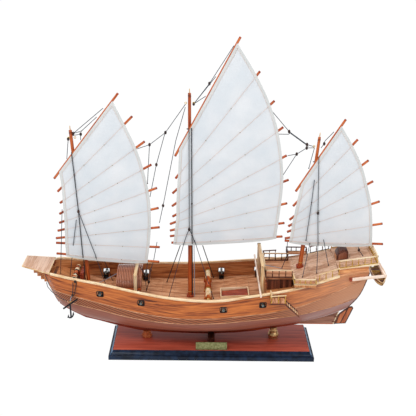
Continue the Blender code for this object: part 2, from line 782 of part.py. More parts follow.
def railing(name, path, height, spacing):
    """A rail of one body along a path: a foot bar, a top bar and upright posts."""
    pieces = []
    for index, (start, end) in enumerate(zip(path, path[1:])):
        start = Vector(start)
        end = Vector(end)
        along = (end - start).normalized()
        for low in (RAIL_BAR, height - RAIL_BAR):
            lift = Vector((0, 0, low))
            grow = along * RAIL_BAR * 0.63
            radius = RAIL_BAR + 0.00003 * index
            bar = rod(f"{name}_bar_{index}_{low}", start + lift - grow, end + lift + grow, radius, 8)
            pieces.append(bar)
        count = max(1, round((end - start).length / spacing))
        for k in range(1 if index else 0, count + 1):
            base = start.lerp(end, k / count)
            foot = base + Vector((0, 0, RAIL_BAR))
            head = base + Vector((0, 0, height - RAIL_BAR))
            pieces.append(rod(f"{name}_post_{index}_{k}", foot, head, RAIL_POST, 6))
    base = pieces.pop(0)
    base.name = name
    return unite(promote(base, "pale_wood"), pieces)


def build_deckhouse():
    x0, x1, half, top, _ = FORE_PLATFORM
    fore, aft, side = FORE_WALLS
    low = top - PLATFORM_T
    high = low + PLATFORM_T / 3
    walls = deck_line(x0 + fore, x1 - aft) + [(x1 - aft, high), (x0 + fore, high)]
    house = slab("deckhouse", walls, side - half, half - side, "keel_wood")
    unite(house, [box("deckhouse_roof", (x0, -half, low), (x1, half, top))])
    inset, height, spacing = FORE_RAIL
    y = half - inset
    back = x1 - inset - 0.0010
    front = x0 + inset
    path = ((back, -y), (front, -y), (front, y), (back, y))
    railing("deckhouse_rail", [(x, side, top + GAP) for x, side in path], height, spacing)


def build_poop():
    x0, x1, half, _, _ = AFT_PLATFORM
    fore, side_gap = STERN_WALLS
    rings = []
    for x in (x0 + fore, *STERN_HOUSE_X):
        station = station_at(x)
        inner = station[HALF_BEAM] - BULWARK - CAP_INSIDE - NEAR_GAP
        low_x, _, low_z = floor_point(station, GAP)
        top = platform_z(AFT_PLATFORM, x) - PLATFORM_T / 2
        side = [(low_x, inner, low_z), (x, inner, station[RAIL_TOP] - 0.0005), (x, half - side_gap, top)]
        rings.append(side + [(px, -y, z) for px, y, z in reversed(side)])
    house = loft("poop_house", rings, "hull_wood")
    corners = ((x0, PLATFORM_T), (x1, PLATFORM_T), (x1, 0), (x0, 0))
    deck = [(x, platform_z(AFT_PLATFORM, x) - below) for x, below in corners]
    unite(house, [slab("poop_house_roof", deck, -half, half)])
    low, high = COMPANION_X
    foot = [(x, platform_z(AFT_PLATFORM, x) + GAP) for x in (low, high)]
    slab("companion", [*foot, *COMPANION_TOP], -COMPANION_HALF, COMPANION_HALF, "keel_wood")


def build_poop_rails():
    x0, x1, half, _, _ = AFT_PLATFORM
    inset, height, spacing = AFT_RAIL
    y = half - inset
    path = ((x0 + inset, -y), (x1 - inset, -y), (x1 - inset, y), (x0 + inset, y))
    corners = [(x, side, platform_z(AFT_PLATFORM, x) + GAP + 0.0002) for x, side in path]
    railing("poop_rail_aft", corners, height, spacing)
    for side, name in ((-1, "poop_rail_port"), (1, "poop_rail_starboard")):
        ends = [(x, side * (half_beam(x) - CAP_OUTSIDE), rail_z(x) + GAP + NEAR_GAP) for x in SIDE_RAIL_X]
        railing(name, ends, height, spacing)


def build_balconies():
    x0, x1 = BALCONY_X
    fore_end, aft_end, far = BALCONY_Y
    low, floor, top = BALCONY_Z
    foot = floor - 0.0010
    for side, name in ((-1, "balcony_port"), (1, "balcony_starboard")):
        path = ((x0, side * fore_end), (x0, side * far), (x1, side * far), (x1, side * aft_end))
        rail = railing(name, [(x, y, foot) for x, y in path], top - foot, BALCONY_SPACING)
        y0, y1 = sorted((side * (aft_end - 0.0010), side * (far + 0.0006)))
        deck = box(name + "_floor", (x0 - 0.0006, y0, floor - 0.0013), (x1 + 0.0006, y1, floor))
        y0, y1 = sorted((side * (far - 0.0010), side * (far + 0.0009)))
        board = box(name + "_board", (x0 - 0.0009, y0, low), (x1 + 0.0009, y1, floor - 0.0005))
        unite(rail, [deck, board])


def build_gangways():
    x0, x1 = GANGWAY_X
    z0, z1 = GANGWAY_Z
    for side, name in ((-1, "gangway_port"), (1, "gangway_starboard")):
        outline = [(x0, side * GANGWAY_Y), (x1, side * GANGWAY_Y), (x1, side * (half_beam(x1) + NEAR_GAP)),
                   (x0, side * (half_beam(x0) + NEAR_GAP))]
        base = plate(name, outline, z0, z1, "keel_wood")
        y = side * (GANGWAY_Y - 0.0015)
        inner = side * (half_beam(x0) + CAP_OUTSIDE + 0.0016)
        fore = x0 + 0.0012
        start = (fore, inner, z1 + 0.0155)
        end = (fore, y - side * 0.0006, z1 + 0.0145)
        pieces = [rod(name + "_rail_fore", start, end, GANGWAY_RAIL_R + 0.0001, 8)]
        start = (x0 + 0.0004, y, z1 + 0.0146)
        end = (x1 - 0.0006, y, z1 + 0.0170)
        pieces.append(rod(name + "_rail_side", start, end, GANGWAY_RAIL_R, 8))
        for index, x in enumerate((fore, (x0 + x1) / 2, x1 - 0.0020)):
            post = rod(f"{name}_post_{index}", (x, y, z0 + 0.001), (x, y, z1 + 0.0150), RAIL_POST, 6)
            pieces.append(post)
        unite(base, pieces + ladder(name, side, x1, z1 - NEAR_GAP))


def ladder(name, side, x, top):
    """Two strings that lead down from a gangway, and the treads between them."""
    depth, width = LADDER_STRING
    foot = x + LADDER_RUN
    outline = [(x - 0.001, top - depth), (x - 0.001, top), (foot, top - LADDER_DROP),
               (foot, top - LADDER_DROP - depth)]
    pieces = []
    for index, reach in enumerate((LADDER_Y, GANGWAY_Y)):
        y0, y1 = sorted((side * reach, side * (reach - width)))
        pieces.append(slab(f"{name}_string_{index}", outline, y0, y1))
    y0, y1 = sorted((side * (LADDER_Y - 0.001), side * (GANGWAY_Y - width / 2)))
    for step in range(1, LADDER_TREADS + 1):
        tread_x = x + LADDER_PITCH * step
        z = top - depth / 2 - LADDER_DROP * (tread_x - x + 0.001) / (LADDER_RUN + 0.001)
        low = (tread_x - 0.0013, y0, z - 0.0005)
        pieces.append(box(f"{name}_tread_{step}", low, (tread_x + 0.0013, y1, z + 0.0005)))
    return pieces


def build_windlasses():
    for name, x, axis, barrel, drum, y0, y1, frames, top, foot in WINDLASSES:
        reach = max(y1, max(frames)) + WINDLASS_REACH
        spindle = rod(name, (x, -reach, axis), (x, reach, axis), barrel, 14, "spar_wood")
        outline = deck_line(x - foot, x + foot) + [(x + FRAME_TIP, top), (x - FRAME_TIP, top)]
        pieces = []
        for side in (-1, 1):
            pieces.append(rod(f"{name}_drum_{side}", (x, side * y0, axis), (x, side * y1, axis), drum, 14))
            for frame_y in frames:
                y = side * frame_y
                pieces.append(slab(f"{name}_frame_{y}", outline, y - FRAME_HALF, y + FRAME_HALF))
        if name == "bow_windlass":
            pieces += post_board(x, foot)
        unite(spindle, pieces)


def post_board(x, foot):
    """The board that stands behind the bow windlass, and the sill that joins them."""
    behind, thickness, top, half = POST_BOARD
    back = x + behind
    outline = deck_line(back - thickness, back) + [(back, top), (back - thickness, top)]
    board = slab("bow_post_board", outline, -half, half)
    sill = deck_line(x - foot, back) + [(back, deck_top(back) + 0.0035), (x - foot, deck_top(x) + 0.0045)]
    return [board, slab("bow_windlass_sill", sill, -SILL_HALF, SILL_HALF)]


def build_hatch():
    x0, x1, half, top0, top1 = HATCH
    border, floor = HATCH_WELL
    hatch = slab("hatch", deck_line(x0, x1) + [(x1, top1), (x0, top0)], -half, half, "keel_wood")
    low = (x0 + border, border - half, floor)
    cut(hatch, [box("hatch_hole", low, (x1 - border, half - border, top1 + 0.0150))])


def arch(x, half, crest, steps=14):
    """Points of an arch over the hut's eaves, in the plane at x."""
    points = []
    for k in range(steps + 1):
        angle = math.pi * k / steps
        points.append((x, half * math.cos(angle), HUT_EAVE + (crest - HUT_EAVE) * math.sin(angle)))
    return points


def build_hut():
    rows = [arch(x, *HUT_ROOF) for x in HUT_X]
    thicken(loft("hut_roof", rows, "mat_roof", caps=False, closed=False), HUT_ROOF_T, -1.0)
    x0, x1 = HUT_X[0] + HUT_INSET, HUT_X[1] - HUT_INSET
    rings = []
    for x, z in deck_line(x0, x1):
        crown = [point for point in arch(x, *HUT_ARCH) if abs(point[1]) < HUT_HALF + 0.0020]
        foot = [(x, HUT_HALF, z), (x, HUT_HALF, HUT_WALL_TOP)]
        rings.append(foot + crown + [(x, -HUT_HALF, HUT_WALL_TOP), (x, -HUT_HALF, z)])
    base = loft("hut_base", rings, "spar_wood")
    posts = []
    near, far = HUT_POST_Y
    tie_low, tie_high = HUT_TIE_Z
    for side in (-1, 1):
        for index, x in enumerate((x0 + HUT_POST_HALF, x1 - HUT_POST_HALF)):
            fore, aft = x - HUT_POST_HALF, x + HUT_POST_HALF
            outline = deck_line(fore, aft) + [(aft, HUT_POST_TOP), (fore, HUT_POST_TOP)]
            y0, y1 = sorted((side * near, side * far))
            posts.append(slab(f"hut_post_{side}_{index}", outline, y0, y1))
            y0, y1 = sorted((side * (HUT_HALF - 0.0020), side * (near + 0.0010)))
            low = (x - 0.0010, y0, tie_low)
            posts.append(box(f"hut_tie_{side}_{index}", low, (x + 0.0010, y1, tie_high)))
    unite(base, posts)


def build_gallows():
    for name, x, y, top, overhang, foot in GALLOWS:
        low = (x - foot, -y - overhang, top - GALLOWS_BAR)
        bar = box(name, low, (x + foot, y + overhang, top), "pale_wood")
        outline = deck_line(x - foot, x + foot) + [(x + foot, top - 0.001), (x - foot, top - 0.001)]
        posts = []
        for side in (-1, 1):
            y0 = side * y - GALLOWS_HALF
            posts.append(slab(f"{name}_post_{side}", outline, y0, y0 + 2 * GALLOWS_HALF))
        unite(bar, posts)
    x, reach, radius = CROSSBEAM
    z = rail_z(x) + radius + 2 * GAP
    rod("crossbeam", (x, -reach, z), (x, reach, z), radius, 10, "spar_wood")


def build_cannons():
    breech, muzzle = GUN_REACH
    tail, nose = CARRIAGE_REACH
    for side, label in ((-1, "port"), (1, "starboard")):
        for number, (x, drop) in enumerate(PORTS, 1):
            z = rail_z(x) - drop
            beam = half_beam(x)
            start = (x, side * (beam - breech), z)
            end = (x, side * (beam + muzzle), z)
            gun = turned(f"cannon_{label}_{number}", start, end, GUN_PROFILE, 14, "black_iron")
            fore, aft = x - CARRIAGE_HALF, x + CARRIAGE_HALF
            outline = deck_line(fore, aft) + [(aft, z - 0.0005), (fore, z - 0.0005)]
            y0, y1 = sorted((side * (beam - tail), side * (beam - nose)))
            unite(gun, [slab(f"carriage_{label}_{number}", outline, y0, y1)])


def mast_line(name):
    foot_x, top_x, top_z, foot_r, top_r = MASTS[name]
    seat = max(deck_top(foot_x - foot_r), deck_top(foot_x), deck_top(foot_x + foot_r))
    return Vector((foot_x, 0, seat + GAP + NEAR_GAP)), Vector((top_x, 0, top_z)), foot_r, top_r


def build_masts():
    length, radius = MAST_PIN
    for name in MASTS:
        foot, top, foot_r, top_r = mast_line(name)
        whole = (top - foot).length + length
        share = (top - foot).length / whole
        tip = foot + (top - foot).normalized() * whole
        outline = ((0.0, foot_r), (share, top_r), (share, radius), (1.0, radius))
        turned(f"{name}_mast", foot, tip, outline, 16, "spar_wood")


def meeting(name, spar):
    """Where a spar crosses its mast, as a point on the mast's axis with the mast's radius there."""
    foot, top, foot_r, top_r = mast_line(name)
    x0, z0, x1, z1 = [value / 1000 for value in spar[:4]]
    slope = (z1 - z0) / (x1 - x0)
    rake = (top.x - foot.x) / (top.z - foot.z)
    z = (z0 + slope * (foot.x - rake * foot.z - x0)) / (1 - slope * rake)
    share = (z - foot.z) / (top.z - foot.z)
    return foot.lerp(top, share), foot_r + (top_r - foot_r) * share


def spar_point(spar, x):
    x0, z0, x1, z1 = spar[:4]
    return Vector((x / 1000, SPAR_Y, (z0 + (z1 - z0) * (x - x0) / (x1 - x0)) / 1000))


def make_spar(label, name, spar, finish=None):
    """One bar of a sail with the ring that holds it to the mast."""
    ends = SPAR_R * 0.75
    outline = ((0.0, ends), (0.12, SPAR_R), (0.88, SPAR_R), (1.0, ends))
    bar = turned(label, spar_point(spar, spar[0]), spar_point(spar, spar[2]), outline, 10, finish)
    centre, radius = meeting(name, spar)
    foot, top, _, _ = mast_line(name)
    inner = radius + 0.0005
    outer = max(-SPAR_Y - SPAR_R + 0.0008, inner + 0.0012)
    return bar, band(label + "_ring", centre, top - foot, inner, outer, RING_HEIGHT)


def build_sails():
    for name, spars in SPARS.items():
        foot, top, _, _ = mast_line(name)
        swing = pivot(f"{name}_pivot", foot, top - foot)
        for label, spar in ((f"{name}_yard", spars[0]), (f"{name}_boom", spars[-1])):
            bar, ring = make_spar(label, name, spar, "spar_wood")
            hang(unite(bar, [ring]), swing)
        middle = spars[1:-1]
        base, ring = make_spar(f"{name}_battens", name, middle[0], "spar_wood")
        pieces = [ring]
        for index, spar in enumerate(middle[1:]):
            pieces += make_spar(f"{name}_batten_{index}", name, spar)
        for column, inward in TAPE_INSET.items():
            for index, (high, low) in enumerate(zip(middle, middle[1:])):
                start = spar_point(high, high[column] + inward)
                end = spar_point(low, low[column] + inward)
                start.y = end.y = CLOTH_Y + 0.0015
                pieces.append(rod(f"{name}_tape_{column}_{index}", start, end, TAPE_R, 6))
        hang(unite(base, pieces), swing)
        hang(build_cloth(name, spars), swing)


def build_cloth(name, spars):
    """The sheet that hangs between the yard and the boom, in front of the battens."""
    rows = []
    for spar in spars:
        row = []
        for k in range(CLOTH_COLUMNS + 1):
            point = spar_point(spar, spar[4] + (spar[5] - spar[4]) * k / CLOTH_COLUMNS)
            drop = FOOT_DROP if spar is spars[-1] else 0.0
            row.append((point.x, CLOTH_Y, point.z - drop))
        rows.append(row)
    return thicken(loft(f"{name}_sail", rows, "sail_cloth", caps=False, closed=False), CLOTH_T, 0.0)


def dinghy_side(half, y, gunwale, depth):
    """Half round section of the boat, from its fore to its aft edge."""
    points = []
    for k in range(DINGHY_STEPS + 1):
        angle = math.pi * k / DINGHY_STEPS
        points.append((DINGHY_X - half * math.cos(angle), y, gunwale - depth * math.sin(angle)))
    return points


def build_stern_boat():
    pieces = []
    top, bottom, radius = DAVIT_LINE
    line_y, half_x, half_y, low, high = THWART
    for side in (-1, 1):
        y0, y1 = sorted(side * y for y in DAVIT_Y)
        pieces.append(slab(f"davit_beam_{side}", DAVIT_OUTLINE, y0, y1))
        y = side * line_y
        pieces.append(rod(f"davit_line_{side}", (DINGHY_X, y, top), (DINGHY_X, y, bottom), radius, 6))
    unite(box("stern_davits", *DAVIT_CROSS, "pale_wood"), pieces)
    rings = []
    least, deepest = DINGHY_FLOOR
    for y, half, keel, gunwale in DINGHY:
        wall = min(DINGHY_WALL, half * 0.6)
        floor = max(keel + least, gunwale - deepest)
        inner = dinghy_side(half - wall, y, gunwale, gunwale - floor)
        rings.append(dinghy_side(half, y, gunwale, gunwale - keel) + inner[::-1])
    boat = loft("dinghy", rings, "keel_wood")
    seats = []
    for side in (-1, 1):
        y = side * line_y
        corner = (DINGHY_X - half_x, y - half_y, low)
        seats.append(box(f"thwart_{side}", corner, (DINGHY_X + half_x, y + half_y, high)))
    unite(boat, seats)


def in_anchor_plane(points):
    return [(x, ANCHOR_Y, z) for x, z in points]


def build_anchor():
    shank = rod("anchor", *in_anchor_plane(ANCHOR_SHANK), 0.0010, 8, "black_iron")
    stock = rod("anchor_stock", *in_anchor_plane(ANCHOR_STOCK), 0.0012, 8)
    arms = wire("anchor_arms", in_anchor_plane(ANCHOR_ARMS), 0.0012)
    line = wire("anchor_line", in_anchor_plane(ANCHOR_LINE), 0.0006)
    unite(shank, [stock, arms, line])


build_stand()
build_hull()
build_keel()
build_rudder()
build_decks()
build_rails()
build_bow()
build_deckhouse()
build_poop()
build_poop_rails()
build_balconies()
build_gangways()
build_windlasses()
build_hatch()
build_hut()
build_gallows()
build_cannons()
build_masts()
build_sails()
build_stern_boat()
build_anchor()
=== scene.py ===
"""Looks of a three-masted wooden junk model: finishes, smooth forms, cloth sails and rigging.

Metres, +Z up, bow towards -X, starboard towards +Y, origin under the middle of the plinth.
"""

import json
import logging
import math
from collections.abc import Callable, Sequence
from dataclasses import dataclass
from enum import Enum
from functools import cache

import bmesh
import bpy
from mathutils import Matrix, Vector, noise


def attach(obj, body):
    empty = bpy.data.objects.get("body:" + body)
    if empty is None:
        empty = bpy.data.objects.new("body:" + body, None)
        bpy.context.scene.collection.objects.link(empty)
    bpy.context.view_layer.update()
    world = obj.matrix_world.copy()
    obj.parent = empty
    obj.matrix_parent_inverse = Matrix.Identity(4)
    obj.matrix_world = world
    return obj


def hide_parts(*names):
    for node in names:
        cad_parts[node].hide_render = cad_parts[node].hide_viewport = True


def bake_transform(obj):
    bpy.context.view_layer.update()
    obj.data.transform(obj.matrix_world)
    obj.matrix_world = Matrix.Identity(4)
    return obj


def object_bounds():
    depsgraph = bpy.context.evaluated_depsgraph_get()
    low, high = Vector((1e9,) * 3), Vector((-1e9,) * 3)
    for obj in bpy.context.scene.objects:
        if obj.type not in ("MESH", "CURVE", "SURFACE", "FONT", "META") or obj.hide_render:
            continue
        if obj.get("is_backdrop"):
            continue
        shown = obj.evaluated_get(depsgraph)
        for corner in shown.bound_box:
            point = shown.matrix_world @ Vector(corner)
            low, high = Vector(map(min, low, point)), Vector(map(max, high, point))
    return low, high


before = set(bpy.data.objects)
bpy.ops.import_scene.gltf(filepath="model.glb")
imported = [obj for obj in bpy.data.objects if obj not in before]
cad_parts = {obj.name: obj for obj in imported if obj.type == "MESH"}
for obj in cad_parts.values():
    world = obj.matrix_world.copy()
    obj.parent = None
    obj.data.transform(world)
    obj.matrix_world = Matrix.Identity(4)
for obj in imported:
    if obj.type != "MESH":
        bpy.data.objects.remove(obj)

LOG = logging.getLogger("junk")
PHOTO_SIZE = 416
FOCAL_PIXELS = 900.0
SENSOR = 36.0
CAMERA_PLACE = (-0.02589142, -1.73909532, 0.85389459)
CAMERA_YAW = math.radians(0.51213338)
CAMERA_PITCH = math.radians(17.50822323)
CAMERA_ROLL = math.radians(0.79409636)

# How far apart two pieces that touch are drawn, and how far one is let into what carries it
GAP = 0.0003
SEAT = 0.0003
# The scale of a wood's broad figure against that of its streaks
FIGURE_SHARE = 0.22
CAP_HEIGHT = 0.0040
BULWARK = 0.0035
SIDES = (-1, 1)
SIDE_NAMES = {-1: "port", 1: "starboard"}


class Grain(Enum):
    """The direction that a board's grain runs in."""

    LENGTH = "x"
    WIDTH = "y"
    UPRIGHT = "z"


class Line(Enum):
    """The kinds of rope on the model."""

    DARK = "dark"
    PALE = "pale"
    FINE = "fine"


def colour(code: str) -> tuple[float, float, float, float]:
    """Turns an sRGB hex code into the linear colour that a socket takes.

    Args:
        code: six hex digits after a hash.

    Returns:
        Linear red, green, blue and an alpha of one.
    """
    parts = [int(code[k : k + 2], 16) / 255 for k in (1, 3, 5)]
    linear = [c / 12.92 if c <= 0.04045 else ((c + 0.055) / 1.055) ** 2.4 for c in parts]
    return (linear[0], linear[1], linear[2], 1.0)


def fade(start: float, end: float, first: float, last: float) -> dict[str, float]:
    """The inputs that turn the range from start to end into the range from first to last."""
    return {"From Min": start, "From Max": end, "To Min": first, "To Max": last}


def add_node(tree: bpy.types.NodeTree, kind: str, inputs: dict | None = None,
             stops: Sequence[tuple[float, str]] = (), **settings) -> bpy.types.Node:
    """Adds a node with its settings, and its inputs as values or as links.

    Args:
        tree: the tree that takes the node.
        kind: the node's type name.
        inputs: for each input, by name or number, its value, an output, or a node for its first output.
        stops: position and hex colour of each stop, where it is a colour ramp.
        settings: attributes of the node.

    Returns:
        The new node.
    """
    node = tree.nodes.new(kind)
    for name, value in settings.items():
        setattr(node, name, value)
    for name, value in (inputs or {}).items():
        if isinstance(value, bpy.types.Node):
            value = value.outputs[0]
        if isinstance(value, bpy.types.NodeSocket):
            tree.links.new(value, node.inputs[name])
        else:
            node.inputs[name].default_value = value
    while stops and len(node.color_ramp.elements) < len(stops):
        node.color_ramp.elements.new(0.5)
    for index, (position, code) in enumerate(stops):
        node.color_ramp.elements[index].position = position
        node.color_ramp.elements[index].color = colour(code)
    return node


def empty_material(name: str) -> tuple[bpy.types.Material, bpy.types.NodeTree]:
    """Makes a material with an empty tree, and returns both."""
    made = bpy.data.materials.new(name)
    made.use_nodes = True
    made.node_tree.nodes.clear()
    return made, made.node_tree


@dataclass(frozen=True)
class Finish:
    """A finish of the model, which builds its own material once."""

    name: str

    @cache
    def material(self) -> bpy.types.Material:
        """The finish's material, built when it is first asked for."""
        made, tree = empty_material(self.name)
        add_node(tree, "ShaderNodeOutputMaterial", {"Surface": self.surface(tree)})
        return made

    def surface(self, tree: bpy.types.NodeTree) -> bpy.types.Node:
        """Builds the nodes of the finish and returns the last shader."""
        raise NotImplementedError


@dataclass(frozen=True)
class Wood(Finish):
    """Planed and varnished hardwood: long fine streaks along the grain under a soft clear coat.

    Grain under 2 mm is finer than the picture shows, so the streaks are drawn at two to four millimetres.
    """

    light: str
    middle: str
    dark: str
    streak: float = 0.0022
    stretch: float = 16.0
    contrast: float = 0.5
    roughness: float = 0.5
    coat: float = 0.12
    plank: float = 0.0
    seam: float = 0.72

    def surface(self, tree: bpy.types.NodeTree) -> bpy.types.Node:
        """Mixes fine streaks with a broad figure, and darkens the seams where the wood is laid in planks."""
        place = add_node(tree, "ShaderNodeAttribute", attribute_name="grain").outputs["Vector"]
        across = 1.0 / self.streak
        scale = (across / self.stretch, across, across)
        fine = add_node(tree, "ShaderNodeMapping", {"Vector": place, "Scale": scale})
        streaks = add_node(tree, "ShaderNodeTexNoise",
                           {"Vector": fine, "Scale": 1.0, "Detail": 4.0, "Roughness": 0.6, "Distortion": 0.4})
        broad_scale = tuple(value * FIGURE_SHARE for value in scale)
        broad = add_node(tree, "ShaderNodeMapping", {"Vector": place, "Scale": broad_scale})
        figure = add_node(tree, "ShaderNodeTexNoise",
                          {"Vector": broad, "Scale": 1.0, "Detail": 2.0, "Distortion": 1.2})
        mixed = add_node(tree, "ShaderNodeMix", {"Factor": 0.45, "A": streaks, "B": figure})
        spread_to = 0.5 - 0.32 * self.contrast
        tint = add_node(tree, "ShaderNodeValToRGB", {"Fac": mixed},
                        stops=((spread_to, self.dark), (0.5, self.middle), (1 - spread_to, self.light)))
        if self.plank:
            tint = self.planked(tree, place, tint)
        gloss = add_node(tree, "ShaderNodeMapRange", {"Value": streaks, "To Min": self.roughness - 0.08,
                                                      "To Max": self.roughness + 0.10})
        relief = add_node(tree, "ShaderNodeBump", {"Height": mixed, "Strength": 0.25, "Distance": 0.0002})
        return add_node(tree, "ShaderNodeBsdfPrincipled",
                        {"Base Color": tint, "Roughness": gloss, "Normal": relief, "Coat Weight": self.coat,
                         "Coat Roughness": 0.22, "Specular IOR Level": 0.3})

    def planked(self, tree: bpy.types.NodeTree, place: bpy.types.NodeSocket,
                tint: bpy.types.Node) -> bpy.types.Node:
        """Gives each plank its own lightness and a dark seam at its edges."""
        parts = add_node(tree, "ShaderNodeSeparateXYZ", {"Vector": place})
        row = add_node(tree, "ShaderNodeMath", {0: parts.outputs["Y"], 1: self.plank}, operation="DIVIDE")
        shade = add_node(tree, "ShaderNodeMath", {0: row}, operation="FLOOR")
        board = add_node(tree, "ShaderNodeTexWhiteNoise", {"W": shade}, noise_dimensions="1D")
        edge = add_node(tree, "ShaderNodeMath", {0: row, 1: 0.5}, operation="PINGPONG")
        seam = add_node(tree, "ShaderNodeMapRange", {"Value": edge, **fade(0.0, 0.06, self.seam, 1.0)})
        lift = add_node(tree, "ShaderNodeMapRange",
                        {"Value": board.outputs["Value"], **fade(0.0, 1.0, 0.93, 1.03)})
        both = add_node(tree, "ShaderNodeMath", {0: seam, 1: lift}, operation="MULTIPLY")
        return add_node(tree, "ShaderNodeVectorMath", {0: tint, "Scale": both}, operation="SCALE")


@dataclass(frozen=True)
class Metal(Finish):
    """Turned and lacquered metal with a hand-rubbed mottle, which breaks its highlights."""

    light: str
    dark: str
    roughness: float = 0.3
    metallic: float = 1.0
    mottle: float = 0.004

    def surface(self, tree: bpy.types.NodeTree) -> bpy.types.Node:
        """Mottles the colour, the gloss and the relief together."""
        place = add_node(tree, "ShaderNodeAttribute", attribute_name="grain").outputs["Vector"]
        spots = add_node(tree, "ShaderNodeTexNoise",
                         {"Vector": place, "Scale": 1 / self.mottle, "Detail": 5.0, "Roughness": 0.65})
        tint = add_node(tree, "ShaderNodeValToRGB", {"Fac": spots},
                        stops=((0.36, self.dark), (0.62, self.light)))
        gloss = add_node(tree, "ShaderNodeMapRange", {"Value": spots, "To Min": self.roughness + 0.12,
                                                      "To Max": self.roughness - 0.08})
        relief = add_node(tree, "ShaderNodeBump", {"Height": spots, "Strength": 0.15, "Distance": 0.0003})
        return add_node(tree, "ShaderNodeBsdfPrincipled", {"Base Color": tint, "Roughness": gloss,
                                                           "Metallic": self.metallic, "Normal": relief})


@dataclass(frozen=True)
class Lacquer(Finish):
    """Sprayed gloss lacquer: deep colour under a hard clear coat, with a rubbed surface's slight ripple."""

    light: str
    dark: str
    roughness: float = 0.22
    ripple: float = 0.012

    def surface(self, tree: bpy.types.NodeTree) -> bpy.types.Node:
        """Clouds the colour softly and ripples the coat."""
        place = add_node(tree, "ShaderNodeAttribute", attribute_name="grain").outputs["Vector"]
        cloud = add_node(tree, "ShaderNodeTexNoise",
                         {"Vector": place, "Scale": 1 / self.ripple, "Detail": 3.0})
        tint = add_node(tree, "ShaderNodeValToRGB", {"Fac": cloud},
                        stops=((0.35, self.dark), (0.65, self.light)))
        relief = add_node(tree, "ShaderNodeBump", {"Height": cloud, "Strength": 0.06, "Distance": 0.001})
        gloss = add_node(tree, "ShaderNodeMapRange", {"Value": cloud, "To Min": self.roughness - 0.05,
                                                      "To Max": self.roughness + 0.06})
        return add_node(tree, "ShaderNodeBsdfPrincipled",
                        {"Base Color": tint, "Roughness": gloss, "Normal": relief, "Coat Weight": 0.12,
                         "Coat Roughness": 0.12, "Specular IOR Level": 0.15})


@dataclass(frozen=True)
class Cloth(Finish):
    """Plain-woven cotton sailcloth: matt, off-white, with a fine weave and a soft sheen.

    Threads of half a millimetre are finer than the picture shows, so the weave is drawn at one millimetre.
    """

    light: str
    dark: str
    thread: float = 0.0010
    glow: float = 0.25

    def surface(self, tree: bpy.types.NodeTree) -> bpy.types.Node:
        """Weaves two bands of thread and lets some light through the cloth."""
        place = add_node(tree, "ShaderNodeAttribute", attribute_name="grain").outputs["Vector"]
        turns = math.pi / self.thread
        bands = [add_node(tree, "ShaderNodeTexWave", {"Vector": place, "Scale": turns / 10},
                          bands_direction=direction).outputs["Fac"] for direction in ("X", "Z")]
        weave = add_node(tree, "ShaderNodeMath", {0: bands[0], 1: bands[1]}, operation="MAXIMUM")
        slubs = add_node(tree, "ShaderNodeTexNoise", {"Vector": place, "Scale": 22.0, "Detail": 3.0})
        tint = add_node(tree, "ShaderNodeValToRGB", {"Fac": slubs},
                        stops=((0.3, self.dark), (0.7, self.light)))
        relief = add_node(tree, "ShaderNodeBump", {"Height": weave, "Strength": 0.12, "Distance": 0.0001})
        shader = add_node(tree, "ShaderNodeBsdfPrincipled",
                          {"Base Color": tint, "Roughness": 0.85, "Normal": relief, "Sheen Weight": 0.15,
                           "Sheen Roughness": 0.5, "Specular IOR Level": 0.2})
        through = add_node(tree, "ShaderNodeBsdfTranslucent", {"Color": tint})
        return add_node(tree, "ShaderNodeMixShader", {0: self.glow, 1: shader, 2: through})


@dataclass(frozen=True)
class Rope(Finish):
    """Laid cotton cord, waxed: matt, with the slant of its strands wound round the piece's own length."""

    light: str
    dark: str
    lay: float = 0.0030

    def surface(self, tree: bpy.types.NodeTree) -> bpy.types.Node:
        """Winds three strands by the surface map: across round the cord, and along it in metres."""
        place = add_node(tree, "ShaderNodeUVMap", uv_map="surface")
        parts = add_node(tree, "ShaderNodeSeparateXYZ", {"Vector": place})
        along = add_node(tree, "ShaderNodeMath", {0: parts.outputs["Y"], 1: self.lay}, operation="DIVIDE")
        around = add_node(tree, "ShaderNodeMath", {0: parts, 1: 3.0, 2: along}, operation="MULTIPLY_ADD")
        strand = add_node(tree, "ShaderNodeMath", {0: around, 1: 0.5}, operation="PINGPONG")
        tint = add_node(tree, "ShaderNodeValToRGB", {"Fac": strand},
                        stops=((0.0, self.dark), (0.5, self.light)))
        relief = add_node(tree, "ShaderNodeBump", {"Height": strand, "Strength": 0.6, "Distance": 0.0003})
        return add_node(tree, "ShaderNodeBsdfPrincipled",
                        {"Base Color": tint, "Roughness": 0.75, "Normal": relief})


